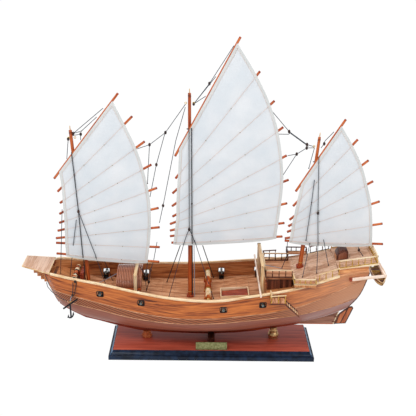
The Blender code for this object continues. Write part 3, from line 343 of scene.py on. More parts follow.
@dataclass(frozen=True)
class HullPlanking(Finish):
    """Varnished hull planks: brown veneer above the wales, a banded belt, and a plain reddish bottom with a
    pale painted reflection near the keel at the stern.

    The surface map holds metres along the hull, and the height as 0 to 1 below the wales, 1 to 2 in the
    belt and 2 to 3 above it. The belt's bands climb steeply at the bow, ease aft of it and are shallow
    from there on.
    """

    top_light: str = "#D47A38"
    top_middle: str = "#A85526"
    top_dark: str = "#582610"
    low_light: str = "#9C5A46"
    low_dark: str = "#7C4230"
    belt: str = "#AE6842"
    seam: str = "#4A2416"
    # Colour of the painted reflection near the keel at the stern
    pale: str = "#EDE6EA"
    bleached: str = "#E8B48E"
    belt_pitch: float = 0.0044
    steep: float = 205.0
    lean: float = 285.0
    lean_to: float = 0.36
    shallow: float = 25.0
    top_rows: float = 7.0

    def surface(self, tree: bpy.types.NodeTree) -> bpy.types.Node:
        """Tints the planks from the surface map and the grain attribute."""
        grain = add_node(tree, "ShaderNodeAttribute", attribute_name="grain").outputs["Vector"]
        place = add_node(tree, "ShaderNodeUVMap", uv_map="surface")
        parts = add_node(tree, "ShaderNodeSeparateXYZ", {"Vector": place})
        along, level = parts.outputs["X"], parts.outputs["Y"]
        veneer_map = add_node(tree, "ShaderNodeMapping", {"Vector": grain, "Scale": (9.0, 95.0, 95.0)})
        veneer = add_node(tree, "ShaderNodeTexNoise", {"Vector": veneer_map, "Scale": 1.0, "Detail": 3.0,
                                                       "Roughness": 0.55, "Distortion": 1.6})
        fine_map = add_node(tree, "ShaderNodeMapping", {"Vector": grain, "Scale": (28.0, 520.0, 520.0)})
        fine = add_node(tree, "ShaderNodeTexNoise", {"Vector": fine_map, "Scale": 1.0, "Detail": 4.0})
        wood = add_node(tree, "ShaderNodeMix", {"Factor": 0.38, "A": veneer, "B": fine})
        tints = {}
        for name, source, stops in (
            ("upper", wood, ((0.37, self.top_dark), (0.46, self.top_middle), (0.61, self.top_light))),
            ("lower", wood, ((0.35, self.low_dark), (0.62, self.low_light))),
            ("belt", fine, ((0.25, self.top_middle), (0.62, self.belt))),
        ):
            tints[name] = add_node(tree, "ShaderNodeValToRGB", {"Fac": source}, stops=stops).outputs["Color"]
        waves = self.bands(tree, grain, along, level)
        shares = {}
        # Each fade's source, and where it starts and ends on the source and in its own value
        for name, source, limits in (
            ("stripe", waves["belt"], (0.13, 0.30, 0.95, 0.0)), ("clear", along, (0.46, 0.60, 1.0, 0.3)),
            ("groove", waves["planks"], (0.0, 0.09, 1.0, 0.0)), ("aft", along, (0.42, 0.60, 0.05, 0.45)),
            ("faded", along, (0.46, 0.62, 0.0, 0.38)), ("stern", along, (0.47, 0.60, 0.0, 0.85)),
            ("low", level, (0.08, 0.40, 1.0, 0.12)),
        ):
            shares[name] = add_node(tree, "ShaderNodeMapRange", {"Value": source, **fade(*limits)})
        # stern_sheen is a painted reflection: pale towards the keel at the stern
        for name, first, second in (("striped", "stripe", "clear"), ("planked", "groove", "aft"),
                                    ("stern_sheen", "stern", "low")):
            shares[name] = add_node(tree, "ShaderNodeMath", {0: shares[first], 1: shares[second]},
                                    operation="MULTIPLY")
        shares["above"] = add_node(tree, "ShaderNodeMath", {0: level, 1: 2.0}, operation="GREATER_THAN")
        shares["below"] = add_node(tree, "ShaderNodeMath", {0: level, 1: 1.0}, operation="LESS_THAN")
        # Each mix takes two tints, by name or as a hex colour, and is itself named for its share
        for share, first, second in (
            ("striped", "belt", self.seam), ("planked", "upper", self.seam), ("above", "striped", "planked"),
            ("faded", "above", self.bleached), ("stern_sheen", "lower", self.pale), ("below", "faded", "stern_sheen"),
        ):
            ends = [tints[name] if name in tints else colour(name) for name in (first, second)]
            mixed = add_node(tree, "ShaderNodeMix", {0: shares[share], 6: ends[0], 7: ends[1]},
                             data_type="RGBA")
            tints[share] = mixed.outputs[2]
        relief = add_node(tree, "ShaderNodeBump", {"Height": wood, "Strength": 0.2, "Distance": 0.0003})
        gloss = add_node(tree, "ShaderNodeMapRange", {"Value": fine, "To Min": 0.42, "To Max": 0.58})
        return add_node(tree, "ShaderNodeBsdfPrincipled",
                        {"Base Color": tints["below"], "Roughness": gloss, "Normal": relief,
                         "Coat Weight": 0.08,
                         "Coat Roughness": 0.3, "Specular IOR Level": 0.3})

    def bands(self, tree: bpy.types.NodeTree, grain: bpy.types.NodeSocket, along: bpy.types.NodeSocket,
              level: bpy.types.NodeSocket) -> dict[str, bpy.types.Node]:
        """Waves that are nought at each seam of the belt's bands and of the planks above them.

        Args:
            tree: the material's tree.
            grain: place in the grain, with the height over the lower wale as Z.
            along: metres along the hull.
            level: height on the planking.

        Returns:
            The wave of the belt and that of the planks.
        """
        axes = add_node(tree, "ShaderNodeSeparateXYZ", {"Vector": grain})
        near = add_node(tree, "ShaderNodeMath", {0: along, 1: self.lean_to}, operation="MINIMUM")
        eased = add_node(tree, "ShaderNodeMath", {0: near, 1: -self.lean, 2: self.steep},
                         operation="MULTIPLY_ADD")
        leaning = add_node(tree, "ShaderNodeMath", {0: near, 1: eased}, operation="MULTIPLY")
        slant = add_node(tree, "ShaderNodeMath", {0: along, 1: self.shallow, 2: leaning},
                         operation="MULTIPLY_ADD")
        rows = add_node(tree, "ShaderNodeMath", {0: axes.outputs["Z"], 1: -1 / self.belt_pitch, 2: slant},
                        operation="MULTIPLY_ADD")
        planks = add_node(tree, "ShaderNodeMath", {0: level, 1: self.top_rows}, operation="MULTIPLY")
        return {name: add_node(tree, "ShaderNodeMath", {0: source, 1: 0.5}, operation="PINGPONG")
                for name, source in (("belt", rows), ("planks", planks))}


HULL_PLANKS = HullPlanking("hull_planking_varnished_camphor")
BULWARK_WOOD = Wood("bulwark_varnished_camphor", "#DC9A62", "#BE7644", "#8A4C26", streak=0.003, contrast=0.35,
                    plank=0.0075)
DECK_WOOD = Wood("deck_planks_waxed_pine", "#D8A078", "#BE8056", "#9E623C", contrast=0.2, plank=0.0078,
                 coat=0.05,
                 seam=0.86)
POOP_WOOD = Wood("poop_planks_waxed_pine", "#DDB69A", "#CDA080", "#AE7C5C", contrast=0.25, plank=0.0078,
                 coat=0.1,
                 seam=0.82)
BOARD_WOOD = Wood("bow_board_waxed_pine", "#DFBCA4", "#D5AF96", "#C69C80", streak=0.003, contrast=0.15,
                  coat=0.05)
# Painted shade: a darker wood for the waist deck at the bow, where it lies in shade
BOW_SHADE_WOOD = Wood("bow_inside_oiled_camphor", "#8A5230", "#6B3A20", "#42200F", contrast=0.4, plank=0.0075)
PALE_WOOD = Wood("boxwood_varnished", "#F6E3C2", "#E6C79A", "#C99660", contrast=0.4)
CAP_WOOD = Wood("cap_rail_boxwood", "#FBEBCF", "#F0D2A6", "#D2A472", contrast=0.5)
SPAR_WOOD = Wood("spar_stained_rosewood", "#DE7C3C", "#B4501E", "#7C2C0F", streak=0.0018)
# Painted reflection: the fore pedestal is brass like the aft one, coloured reddish where the red base shows
# in it
PEDESTAL_RED_REFLECTION = Wood("pedestal_turned_mahogany", "#E88C54", "#D0703C", "#9A4620", contrast=0.4)
AFT_CAP_WOOD = Wood("aft_rail_camphor", "#DDA378", "#C6865A", "#98643E")
RED_WOOD = Wood("chock_stained_rosewood", "#C05A34", "#92351A", "#5A1A0B")
DARK_WOOD = Wood("walnut_oiled", "#7A4630", "#54291A", "#2C130C", coat=0.2)
KEEL_WOOD = Wood("keel_stained_mahogany", "#A8461B", "#8E3212", "#5E1D0A")
PANEL_WOOD = Wood("plinth_panel_polished_mahogany", "#D86E54", "#C45A44", "#9C4532", streak=0.004,
                  roughness=0.45,
                  coat=0.15)
STERN_WOOD = Wood("deadwood_varnished_walnut", "#A0684A", "#7E4630", "#54291A", streak=0.0025, contrast=0.7)
DEADWOOD = Wood("deadwood_oiled_walnut", "#BC8A72", "#9A6650", "#6C4030", streak=0.003)
RUDDER_PANEL = Wood("rudder_panel_cherry", "#E08E60", "#CC7344", "#A24E28")
WALE_WOOD = Wood("wale_light_camphor", "#DDA77F", "#C98F66", "#9A6242", contrast=0.4)
BEAM_WOOD = Wood("crossbeam_pink_boxwood", "#FFF0E2", "#F4DCC8", "#DCB89A", contrast=0.4)
BOAT_WOOD = Wood("dinghy_ceiling_waxed_boxwood", "#E8C88A", "#CFA35E", "#9C7238", contrast=0.5)
CANE = Wood("roof_cane_varnished", "#DDA282", "#AC6A4A", "#723624", streak=0.004, stretch=4.0, roughness=0.28,
            coat=0.8)
BRASS = Metal("brass_lacquered", "#EACB7E", "#B98A3C")
OLD_BRASS = Metal("brass_patinated", "#97966A", "#6C6B44", roughness=0.4)
PEDESTAL_BRASS = Metal("brass_antique_pedestal", "#EAC48C", "#94683C", roughness=0.35)
STEEL = Metal("gun_barrel_steel", "#A4AAA6", "#3A3E3E", roughness=0.35)
BALUSTER_BRASS = Metal("brass_turned_balusters", "#E2B95A", "#A97A2C", roughness=0.35)
IRON = Metal("iron_blackened", "#2A3038", "#0E1116", roughness=0.42, metallic=0.6)
NAVY = Lacquer("plinth_navy_lacquer", "#1C2C44", "#0F1826")
# Painted highlight: a lighter blue for the moulding's upper edges at the ends, where they catch the light
NAVY_HIGHLIGHT = Lacquer("plinth_moulding_blue_lacquer", "#4A78A0", "#2C5074")
# Black lacquer for bands, caps and the stock; in the gun ports it is also painted shade on the reveals,
# linings and carriages
BLACK = Lacquer("port_black_lacquer", "#17191D", "#0A0B0D", roughness=0.35)
SAIL = Cloth("sailcloth_cotton", "#F3F5F7", "#E9EEF2")
HEM = Cloth("sail_hem_cotton", "#EFF0EE", "#E4E6E4")
THREAD = Rope("seam_thread_pink", "#F2D9CC", "#E6C3B0", lay=0.002)
ROPES = {
    Line.DARK: Rope("rope_tarred_dark", "#2A3038", "#0E1116"),
    Line.PALE: Rope("rope_cotton_pale", "#A8B2C0", "#6E7888"),
    Line.FINE: Rope("rope_fine_slate", "#4A525E", "#20252C"),
}
# Painted shade: the starboard rails are pale wood and brass like the port ones, drawn in dark walnut as they
# face away from the light
RAIL_FINISHES = {
    -1: {"baluster": BALUSTER_BRASS, "bar": PALE_WOOD, "foot": PALE_WOOD},
    1: {"baluster": DARK_WOOD, "bar": DARK_WOOD, "foot": DARK_WOOD},
}
BLOCK_WOOD = Wood("rigging_block_ebony", "#5A3A30", "#33201B", "#160C0A")


def turn_towards(along: Vector) -> Matrix:
    """A rotation that takes Z to the given direction."""
    return along.to_track_quat("Z", "Y").to_matrix().to_4x4()


GRAIN_TURN = {
    Grain.LENGTH: Matrix.Identity(4),
    Grain.WIDTH: Matrix(((0, 1, 0, 0), (1, 0, 0, 0), (0, 0, 1, 0), (0, 0, 0, 1))),
    Grain.UPRIGHT: Matrix(((0, 0, 1, 0), (0, 1, 0, 0), (1, 0, 0, 0), (0, 0, 0, 1))),
}
BAR_TURN = GRAIN_TURN[Grain.UPRIGHT]
BOARD_SHIFT = Vector((0.317, 0.0313, 0.0171))


class Form:
    """Gathers the closed shapes of one piece, with the grain's place at each point and a surface map."""

    def __init__(self) -> None:
        self.shape = bmesh.new()
        self.grain = self.shape.verts.layers.float_vector.new("grain")
        self.surface = self.shape.loops.layers.uv.new("surface")
        self.finishes: list[Finish] = []
        self.current = 0
        self.boards = 0

    def use(self, finish: Finish) -> "Form":
        """Takes the finish for the shapes that follow."""
        if finish not in self.finishes:
            self.finishes.append(finish)
        self.current = self.finishes.index(finish)
        return self

    def settle(self, verts: Sequence[bmesh.types.BMVert], turn: Matrix) -> None:
        """Gives new points their place in the grain, and their faces the finish in use."""
        self.boards += 1
        shift = BOARD_SHIFT * self.boards
        for vert in verts:
            vert[self.grain] = turn @ vert.co + shift
            for face in vert.link_faces:
                face.material_index = self.current

    def block(self, low: Sequence[float], high: Sequence[float], grain: Grain = Grain.LENGTH,
              ease: float = 0.0003) -> "Form":
        """Adds a box with eased edges.

        Args:
            low: one corner.
            high: the corner across from it.
            grain: the grain's direction.
            ease: how far each edge is rounded off.

        Returns:
            This form.
        """
        (x0, x1), (y0, y1), (z0, z1) = (sorted(pair) for pair in zip(low, high))
        return self.prism([(x0, y0, z0), (x1, y0, z0), (x1, y1, z0), (x0, y1, z0)], (0, 0, z1 - z0), grain,
                          ease)

    def slab(self, outline: Sequence[tuple[float, float]], ends: tuple[float, float],
             grain: Grain = Grain.LENGTH, ease: float = 0.0003) -> "Form":
        """Adds an outline of X and Z between two values of Y, with eased edges.

        Args:
            outline: corners of the outline.
            ends: the two values, in any order.
            grain: the grain's direction.
            ease: how far each edge is rounded off.

        Returns:
            This form.
        """
        near, far = sorted(ends)
        return self.prism([(x, near, z) for x, z in outline], (0, far - near, 0), grain, ease)

    def prism(self, outline: Sequence[Sequence[float]], along: Sequence[float], grain: Grain = Grain.LENGTH,
              ease: float = 0.0003) -> "Form":
        """Adds a flat outline swept along a line, with eased edges.

        Args:
            outline: corners of the outline.
            along: the sweep, from the outline to its far side.
            grain: the grain's direction.
            ease: how far each edge is rounded off.

        Returns:
            This form.
        """
        sweep = Vector(along)
        near = [self.shape.verts.new(point) for point in outline]
        far = [self.shape.verts.new(Vector(point) + sweep) for point in outline]
        faces = [self.shape.faces.new(near), self.shape.faces.new(far[::-1])]
        count = len(near)
        for k in range(count):
            faces.append(self.shape.faces.new((near[k], far[k], far[(k + 1) % count], near[(k + 1) % count])))
        bmesh.ops.recalc_face_normals(self.shape, faces=faces)
        verts = set(near + far)
        if ease:
            edges = {edge for face in faces for edge in face.edges}
            sharp = [edge for edge in edges if edge.calc_face_angle(0.0) > 0.35]
            made = bmesh.ops.bevel(self.shape, geom=sharp, offset=ease, segments=2, profile=0.5,
                                   affect="EDGES",
                                   clamp_overlap=True)
            verts = {vert for vert in verts if vert.is_valid} | set(made["verts"])
        self.settle(list(verts), GRAIN_TURN[grain])
        return self

    def rings(self, rows: Sequence[Sequence[Sequence[float]]], closed: bool = True, caps: bool = True,
              turn: Matrix | None = None, seam: bool = False) -> list[list[bmesh.types.BMVert]]:
        """Adds a skin over rows of points.

        Args:
            rows: rows of equal length.
            closed: each row is a ring.
            caps: the first and last rows are filled.
            turn: takes a point to its place in the grain.
            seam: the last row joins the first.

        Returns:
            The rows of new points.
        """
        verts = [[self.shape.verts.new(point) for point in row] for row in rows]
        count = len(rows[0])
        pairs = list(zip(verts, verts[1:]))
        if seam:
            pairs.append((verts[-1], verts[0]))
        for low, high in pairs:
            for j in range(count if closed else count - 1):
                k = (j + 1) % count
                self.shape.faces.new((low[j], low[k], high[k], high[j]))
        if caps and not seam:
            self.shape.faces.new(verts[0][::-1])
            self.shape.faces.new(verts[-1])
        self.settle([vert for row in verts for vert in row], turn or GRAIN_TURN[Grain.LENGTH])
        return verts

    def turned(self, start: Sequence[float], end: Sequence[float], outline: Sequence[tuple[float, float]],
               sides: int = 24) -> "Form":
        """Adds a turned bar.

        Args:
            start: middle of its first end.
            end: middle of its other end.
            outline: share of the length and radius.
            sides: number of sides.

        Returns:
            This form.
        """
        low = Vector(start)
        along = Vector(end) - low
        place = Matrix.Translation(low) @ turn_towards(along)
        rows = []
        for share, radius in outline:
            row = []
            for k in range(sides):
                angle = 2 * math.pi * k / sides
                row.append(place @ Vector((radius * math.cos(angle), radius * math.sin(angle),
                                           share * along.length)))
            rows.append(row)
        self.rings(rows, turn=BAR_TURN @ place.inverted())
        return self

    def bar(self, start: Sequence[float], end: Sequence[float], radius: float, far: float | None = None,
            sides: int = 16) -> "Form":
        """Adds a round bar with eased ends, tapered if it has two radii."""
        last = radius if far is None else far
        length = (Vector(end) - Vector(start)).length
        ease = min(radius * 0.3, length * 0.2) / length
        outline = ((0.0, radius * 0.7), (ease, radius), (1 - ease, last), (1.0, last * 0.7))
        return self.turned(start, end, outline, sides)

    def ball(self, centre: Sequence[float], radius: float, stretch: Sequence[float] = (1, 1, 1)) -> "Form":
        """Adds a ball, pressed or stretched along the axes."""
        place = Matrix.Translation(Vector(centre)) @ Matrix.Diagonal((*stretch, 1))
        made = bmesh.ops.create_uvsphere(self.shape, u_segments=16, v_segments=10, radius=radius,
                                         matrix=place)
        self.settle(made["verts"], GRAIN_TURN[Grain.LENGTH])
        return self

    def ring(self, centre: Sequence[float], axis: Sequence[float], radius: float, wire: float,
             steps: int = 24) -> "Form":
        """Adds a round ring of wire."""
        place = Matrix.Translation(Vector(centre)) @ turn_towards(Vector(axis))
        rows = []
        for k in range(steps):
            turn = 2 * math.pi * k / steps
            row = []
            for j in range(8):
                angle = 2 * math.pi * j / 8
                reach = radius + wire * math.cos(angle)
                row.append(place @ Vector((reach * math.cos(turn), reach * math.sin(turn),
                                           wire * math.sin(angle))))
            rows.append(row)
        self.rings(rows, seam=True)
        return self

    def cord(self, path: Sequence[Sequence[float]], radius: float, sides: int = 8) -> "Form":
        """Adds a cord along a path, with the surface map running round and along it.

        Args:
            path: points of its middle.
            radius: half its thickness.
            sides: number of sides.

        Returns:
            This form.
        """
        points = [Vector(point) for point in path]
        side = None
        rows = []
        reach = [0.0]
        for k, point in enumerate(points):
            along = (points[min(k + 1, len(points) - 1)] - points[max(k - 1, 0)]).normalized()
            if side is None:
                side = along.orthogonal().normalized()
            side = (side - along * side.dot(along)).normalized()
            other = along.cross(side)
            angles = [2 * math.pi * j / sides for j in range(sides)]
            rows.append([point + radius * (math.cos(a) * side + math.sin(a) * other) for a in angles])
            if k:
                reach.append(reach[-1] + (point - points[k - 1]).length)
        verts = self.rings(rows)
        place = {vert: (j, reach[k]) for k, row in enumerate(verts) for j, vert in enumerate(row)}
        for row in verts[:-1]:
            for vert in row:
                for face in vert.link_faces:
                    self.map_round(face, place, sides)
        return self

    def map_round(self, face: bmesh.types.BMFace, place: dict, sides: int) -> None:
        """Maps a face of a cord: X is the share of a turn, Y the length in metres."""
        spots = [place[loop.vert][0] for loop in face.loops]
        wraps = max(spots) - min(spots) > sides / 2
        for loop in face.loops:
            j, length = place[loop.vert]
            if wraps and j == 0:
                j = sides
            loop[self.surface].uv = (j / sides, length)

    def mesh(self, name: str) -> bpy.types.Mesh:
        """Turns the faces outwards and gives the form up as a mesh."""
        bmesh.ops.recalc_face_normals(self.shape, faces=self.shape.faces)
        mesh = bpy.data.meshes.new(name)
        self.shape.to_mesh(mesh)
        self.shape.free()
        return mesh

    def piece(self, name: str, slot: str, body: str = "ship", stands_for: Sequence[str] = (),
              sharp: float = 38.0) -> bpy.types.Object:
        """Turns the form into an object that rides on a body.

        Args:
            name: the piece's name.
            slot: the record's material slot; not used.
            body: the body that it moves with.
            stands_for: nodes that it replaces.
            sharp: angle in degrees past which an edge stays sharp.

        Returns:
            The new object.
        """
        return dress(name, self.mesh(name), self.finishes, body, stands_for, sharp)


def dress(name: str, mesh: bpy.types.Mesh, finishes: Sequence[Finish], body: str = "ship",
          stands_for: Sequence[str] = (), sharp: float = 38.0) -> bpy.types.Object:
    """Makes an object of a mesh, with its finishes, its body and the nodes that it replaces.

    Args:
        name: the piece's name.
        mesh: its mesh, in place.
        finishes: a finish for each material index.
        body: the body that it moves with.
        stands_for: nodes that it replaces.
        sharp: angle in degrees past which an edge stays sharp.

    Returns:
        The new object.
    """
    for polygon in mesh.polygons:
        polygon.use_smooth = True
    mesh.set_sharp_from_angle(angle=math.radians(sharp))
    for index, finish in enumerate(finishes):
        if index < len(mesh.materials):
            mesh.materials[index] = finish.material()
        else:
            mesh.materials.append(finish.material())
    obj = bpy.data.objects.new(name, mesh)
    bpy.context.scene.collection.objects.link(obj)
    if body:
        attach(obj, body)
    if stands_for:
        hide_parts(*stands_for)
    LOG.info("%s: %d faces on %s", name, len(mesh.polygons), body or "two bodies")
    return obj


def curve_through(points: Sequence[tuple[float, ...]]) -> Callable[[float], tuple[float, ...]]:
    """A smooth curve through rows of numbers, read by the first number of each.

    Args:
        points: rows in rising order of their first number.

    Returns:
        A function from that number to the others.
    """
    count = len(points)
    slopes = []
    for low, high in zip([points[0], *points], [*points[1:], points[-1]]):
        slopes.append([(b - a) / (high[0] - low[0]) for a, b in zip(low[1:], high[1:])])

    def read(x: float) -> tuple[float, ...]:
        x = min(max(x, points[0][0]), points[-1][0])
        k = next((i for i in range(count - 2) if x < points[i + 1][0]), count - 2)
        width = points[k + 1][0] - points[k][0]
        t = (x - points[k][0]) / width
        values = []
        for a, b, m, n in zip(points[k][1:], points[k + 1][1:], slopes[k], slopes[k + 1]):
            bend = (2 * t ** 3 - 3 * t ** 2 + 1) * a + (t ** 3 - 2 * t ** 2 + t) * width * m
            values.append(bend + (3 * t ** 2 - 2 * t ** 3) * b + (t ** 3 - t ** 2) * width * n)
        return tuple(values)

    return read


@dataclass(frozen=True)
class Station:
    """A slanted cross-section of the hull, named by the sheer's place along the ship."""

    sheer_x: float
    keel_x: float
    keel_z: float
    rail_top: float
    half_beam: float
    roundness: float
    deadrise: float

    @property
    def sheer(self) -> float:
        """Height of the side under its cap rail."""
        return self.rail_top - CAP_HEIGHT - GAP

    def x_at(self, z: float) -> float:
        """X of the slanted section at height z."""
        return self.sheer_x - (self.sheer_x - self.keel_x) * (self.sheer - z) / (self.sheer - self.keel_z)

    def half_at(self, z: float) -> float:
        """Half the hull's width at height z."""
        rise = min(max((z - self.keel_z) / (self.sheer - self.keel_z), 0.0), 1.0)
        cosine = (1 - rise) ** (self.roundness / 2)
        half = self.half_beam * math.sqrt(max(0.0, 1 - cosine * cosine)) ** (2 / self.roundness)
        return self.drawn_in(half, z)

    def drawn_in(self, half: float, z: float) -> float:
        """Draws a half width in to the V of the bottom, which rises evenly from the keel."""
        limit = max(z - self.keel_z, 0.0) / self.deadrise + KEEL_HALF
        return half * (1 + (half / limit) ** BILGE_SHARPNESS) ** (-1 / BILGE_SHARPNESS)


KEEL_HALF = 0.0020
# How suddenly the round side turns into the V of the bottom
BILGE_SHARPNESS = 8
# Sheer x, keel x, keel z, rail top z, half beam, roundness and rise of the bottom of each station
LINES = curve_through((
    (-0.3460, -0.3170, 0.0960, 0.1720, 0.0180, 2.0, 0.20),
    (-0.3290, -0.3000, 0.0850, 0.1780, 0.0450, 2.0, 0.40),
    (-0.2850, -0.2640, 0.0660, 0.1725, 0.0565, 2.0, 0.50),
    (-0.2250, -0.2100, 0.0520, 0.1655, 0.0670, 2.1, 0.50),
    (-0.1600, -0.1500, 0.0400, 0.1570, 0.0820, 2.3, 0.50),
    (-0.0960, -0.0920, 0.0340, 0.1510, 0.0970, 2.4, 0.50),
    (-0.0350, -0.0350, 0.0315, 0.1485, 0.1065, 2.5, 0.50),
    (0.0200, 0.0200, 0.0325, 0.1505, 0.1095, 2.5, 0.50),
    (0.0700, 0.0700, 0.0370, 0.1565, 0.1040, 2.4, 0.50),
    (0.1100, 0.1080, 0.0429, 0.1610, 0.0989, 2.3, 0.50),
    (0.1650, 0.1600, 0.0515, 0.1690, 0.0905, 2.2, 0.50),
    (0.2120, 0.2050, 0.0605, 0.1800, 0.0830, 2.1, 0.60),
    (0.2620, 0.2450, 0.0720, 0.1940, 0.0770, 2.1, 0.70),
    (0.3120, 0.2810, 0.0870, 0.2005, 0.0710, 2.2, 0.90),
))
BOW_X = -0.3460
STERN_X = 0.3120
# Height of the lower and upper wale at each sheer x
WALES = curve_through((
    (-0.3460, 0.1210, 0.1420),
    (-0.2900, 0.1110, 0.1310),
    (-0.2345, 0.1022, 0.1205),
    (-0.1920, 0.0955, 0.1133),
    (-0.1360, 0.0912, 0.1072),
    (-0.0600, 0.0915, 0.1050),
    (0.0000, 0.0963, 0.1085),
    (0.0600, 0.1000, 0.1132),
    (0.1160, 0.1022, 0.1168),
    (0.1790, 0.1055, 0.1278),
    (0.2350, 0.1150, 0.1480),
    (0.2880, 0.1285, 0.1735),
    (0.3120, 0.1360, 0.1830),
))
# Height of the main deck's planking, which rises to the stem, and where it ends under the raised platform
DECK_LINE = curve_through((
    (-0.3420, 0.1592), (-0.3244, 0.1600), (-0.2788, 0.1400), (-0.2203, 0.1287), (-0.1570, 0.1202),
    (-0.0948, 0.1142), (-0.0350, 0.1117), (0.0200, 0.1137), (0.0700, 0.1197), (0.1080, 0.1242),
))
WAIST_AFT = 0.1065
# Gun ports on each side: x, and the gun's drop below the rail's top
GUN_PORTS = ((-0.2255, 0.0235), (-0.1420, 0.0230), (0.0220, 0.0215), (0.1000, 0.0235))
CROWN_X, CROWN_Z, CROWN_SLOPE = 0.1630, 0.1745, 0.277
POOP_X = (0.1640, 0.2515)
FORE_PLATFORM_Z = 0.1745
AFT_PLATFORM_X, AFT_PLATFORM_Z, AFT_PLATFORM_SLOPE = 0.2520, 0.2000, 0.16


def station_at(x: float) -> Station:
    """The hull's smooth section whose sheer lies at x."""
    return Station(min(max(x, BOW_X), STERN_X), *LINES(x))


def wales_at(x: float) -> tuple[float, float]:
    """Heights of the lower and the upper wale."""
    low, high = WALES(x)
    return low, high


def main_deck_z(x: float) -> float:
    """Height of the main deck's planking."""
    return DECK_LINE(x)[0]


def crown_z(x: float) -> float:
    """Height of the poop deck at the middle line."""
    return CROWN_Z + CROWN_SLOPE * (x - CROWN_X)


def aft_platform_z(x: float) -> float:
    """Height of the raised platform at the stern."""
    return AFT_PLATFORM_Z + AFT_PLATFORM_SLOPE * (x - AFT_PLATFORM_X)


# Foot of each mast: x, and height of the deck that it stands on
MAST_FEET = {
    "fore": (-0.2546, main_deck_z(-0.2546)),
    "main": (-0.0450, main_deck_z(-0.0450)),
    "mizzen": (0.1812, crown_z(0.1812)),
}


def inner_half(x: float) -> float:
    """Half the width between the bulwarks."""
    return station_at(x).half_beam - BULWARK


def spread(low: float, high: float, count: int) -> list[float]:
    """Evenly spaced values from low to high, both included."""
    return [low + (high - low) * k / (count - 1) for k in range(count)]


def rounded(half_x: float, half_z: float, radius: float, steps: int = 4) -> list[tuple[float, float]]:
    """A rectangle round the origin with round corners.

    Args:
        half_x: half its width.
        half_z: half its height.
        radius: of the corners.
        steps: chords in a corner.

    Returns:
        Its outline, anticlockwise.
    """
    points = []
    corners = ((half_x, half_z), (-half_x, half_z), (-half_x, -half_z), (half_x, -half_z))
    for quarter, (x, z) in enumerate(corners):
        centre_x = x - math.copysign(radius, x)
        centre_z = z - math.copysign(radius, z)
        for k in range(steps + 1):
            angle = math.pi / 2 * (quarter + k / steps)
            points.append((centre_x + radius * math.cos(angle), centre_z + radius * math.sin(angle)))
    return points


@cache
def copies_tree() -> bpy.types.NodeTree:
    """A node tree that puts a shape on every point, aimed along the point's own direction."""
    tree = bpy.data.node_groups.new("copies_on_points", "GeometryNodeTree")
    for name, kind in (("Points", "NodeSocketGeometry"), ("Shape", "NodeSocketObject"),
                       ("Size", "NodeSocketVector"), ("Finish", "NodeSocketMaterial")):
        tree.interface.new_socket(name, in_out="INPUT", socket_type=kind)
    tree.interface.new_socket("Copies", in_out="OUTPUT", socket_type="NodeSocketGeometry")
    start = add_node(tree, "NodeGroupInput")
    shape = add_node(tree, "GeometryNodeObjectInfo", {"Object": start.outputs["Shape"]})
    aim = add_node(tree, "GeometryNodeInputNamedAttribute", {"Name": "aim"}, data_type="FLOAT_VECTOR")
    turn = add_node(tree, "FunctionNodeAlignRotationToVector", {"Vector": aim.outputs["Attribute"]}, axis="Z")
    placed = add_node(tree, "GeometryNodeInstanceOnPoints",
                      {"Points": start.outputs["Points"], "Instance": shape.outputs["Geometry"],
                       "Rotation": turn.outputs["Rotation"], "Scale": start.outputs["Size"]})
    real = add_node(tree, "GeometryNodeRealizeInstances", {"Geometry": placed.outputs["Instances"]})
    dressed = add_node(tree, "GeometryNodeSetMaterial",
                       {"Geometry": real.outputs["Geometry"], "Material": start.outputs["Finish"]})
    add_node(tree, "NodeGroupOutput", {"Copies": dressed.outputs["Geometry"]})
    return tree


@cache
def ribs_tree() -> bpy.types.NodeTree:
    """A node tree that bends round ribs along an arch and repeats them side by side."""
    tree = bpy.data.node_groups.new("ribs_over_arch", "GeometryNodeTree")
    for name, kind in (("Arch", "NodeSocketGeometry"), ("Ribs", "NodeSocketInt"),
                       ("Pitch", "NodeSocketFloat"),
                       ("Radius", "NodeSocketFloat"), ("Finish", "NodeSocketMaterial")):
        tree.interface.new_socket(name, in_out="INPUT", socket_type=kind)
    tree.interface.new_socket("Roof", in_out="OUTPUT", socket_type="NodeSocketGeometry")
    start = add_node(tree, "NodeGroupInput")
    curve = add_node(tree, "GeometryNodeMeshToCurve", {"Mesh": start.outputs["Arch"]})
    section = add_node(tree, "GeometryNodeCurvePrimitiveCircle", {"Resolution": 10,
                                                                 "Radius": start.outputs["Radius"]})
    rib = add_node(tree, "GeometryNodeCurveToMesh",
                   {"Curve": curve.outputs["Curve"], "Profile Curve": section.outputs["Curve"],
                    "Fill Caps": True})
    pitch = add_node(tree, "ShaderNodeCombineXYZ", {"X": start.outputs["Pitch"]})
    row = add_node(tree, "GeometryNodeMeshLine", {"Count": start.outputs["Ribs"], "Offset": pitch.outputs[0]})
    placed = add_node(tree, "GeometryNodeInstanceOnPoints",
                      {"Points": row.outputs["Mesh"], "Instance": rib.outputs["Mesh"]})
    real = add_node(tree, "GeometryNodeRealizeInstances", {"Geometry": placed.outputs["Instances"]})
    dressed = add_node(tree, "GeometryNodeSetMaterial",
                       {"Geometry": real.outputs["Geometry"], "Material": start.outputs["Finish"]})
    add_node(tree, "NodeGroupOutput", {"Roof": dressed.outputs["Geometry"]})
    return tree


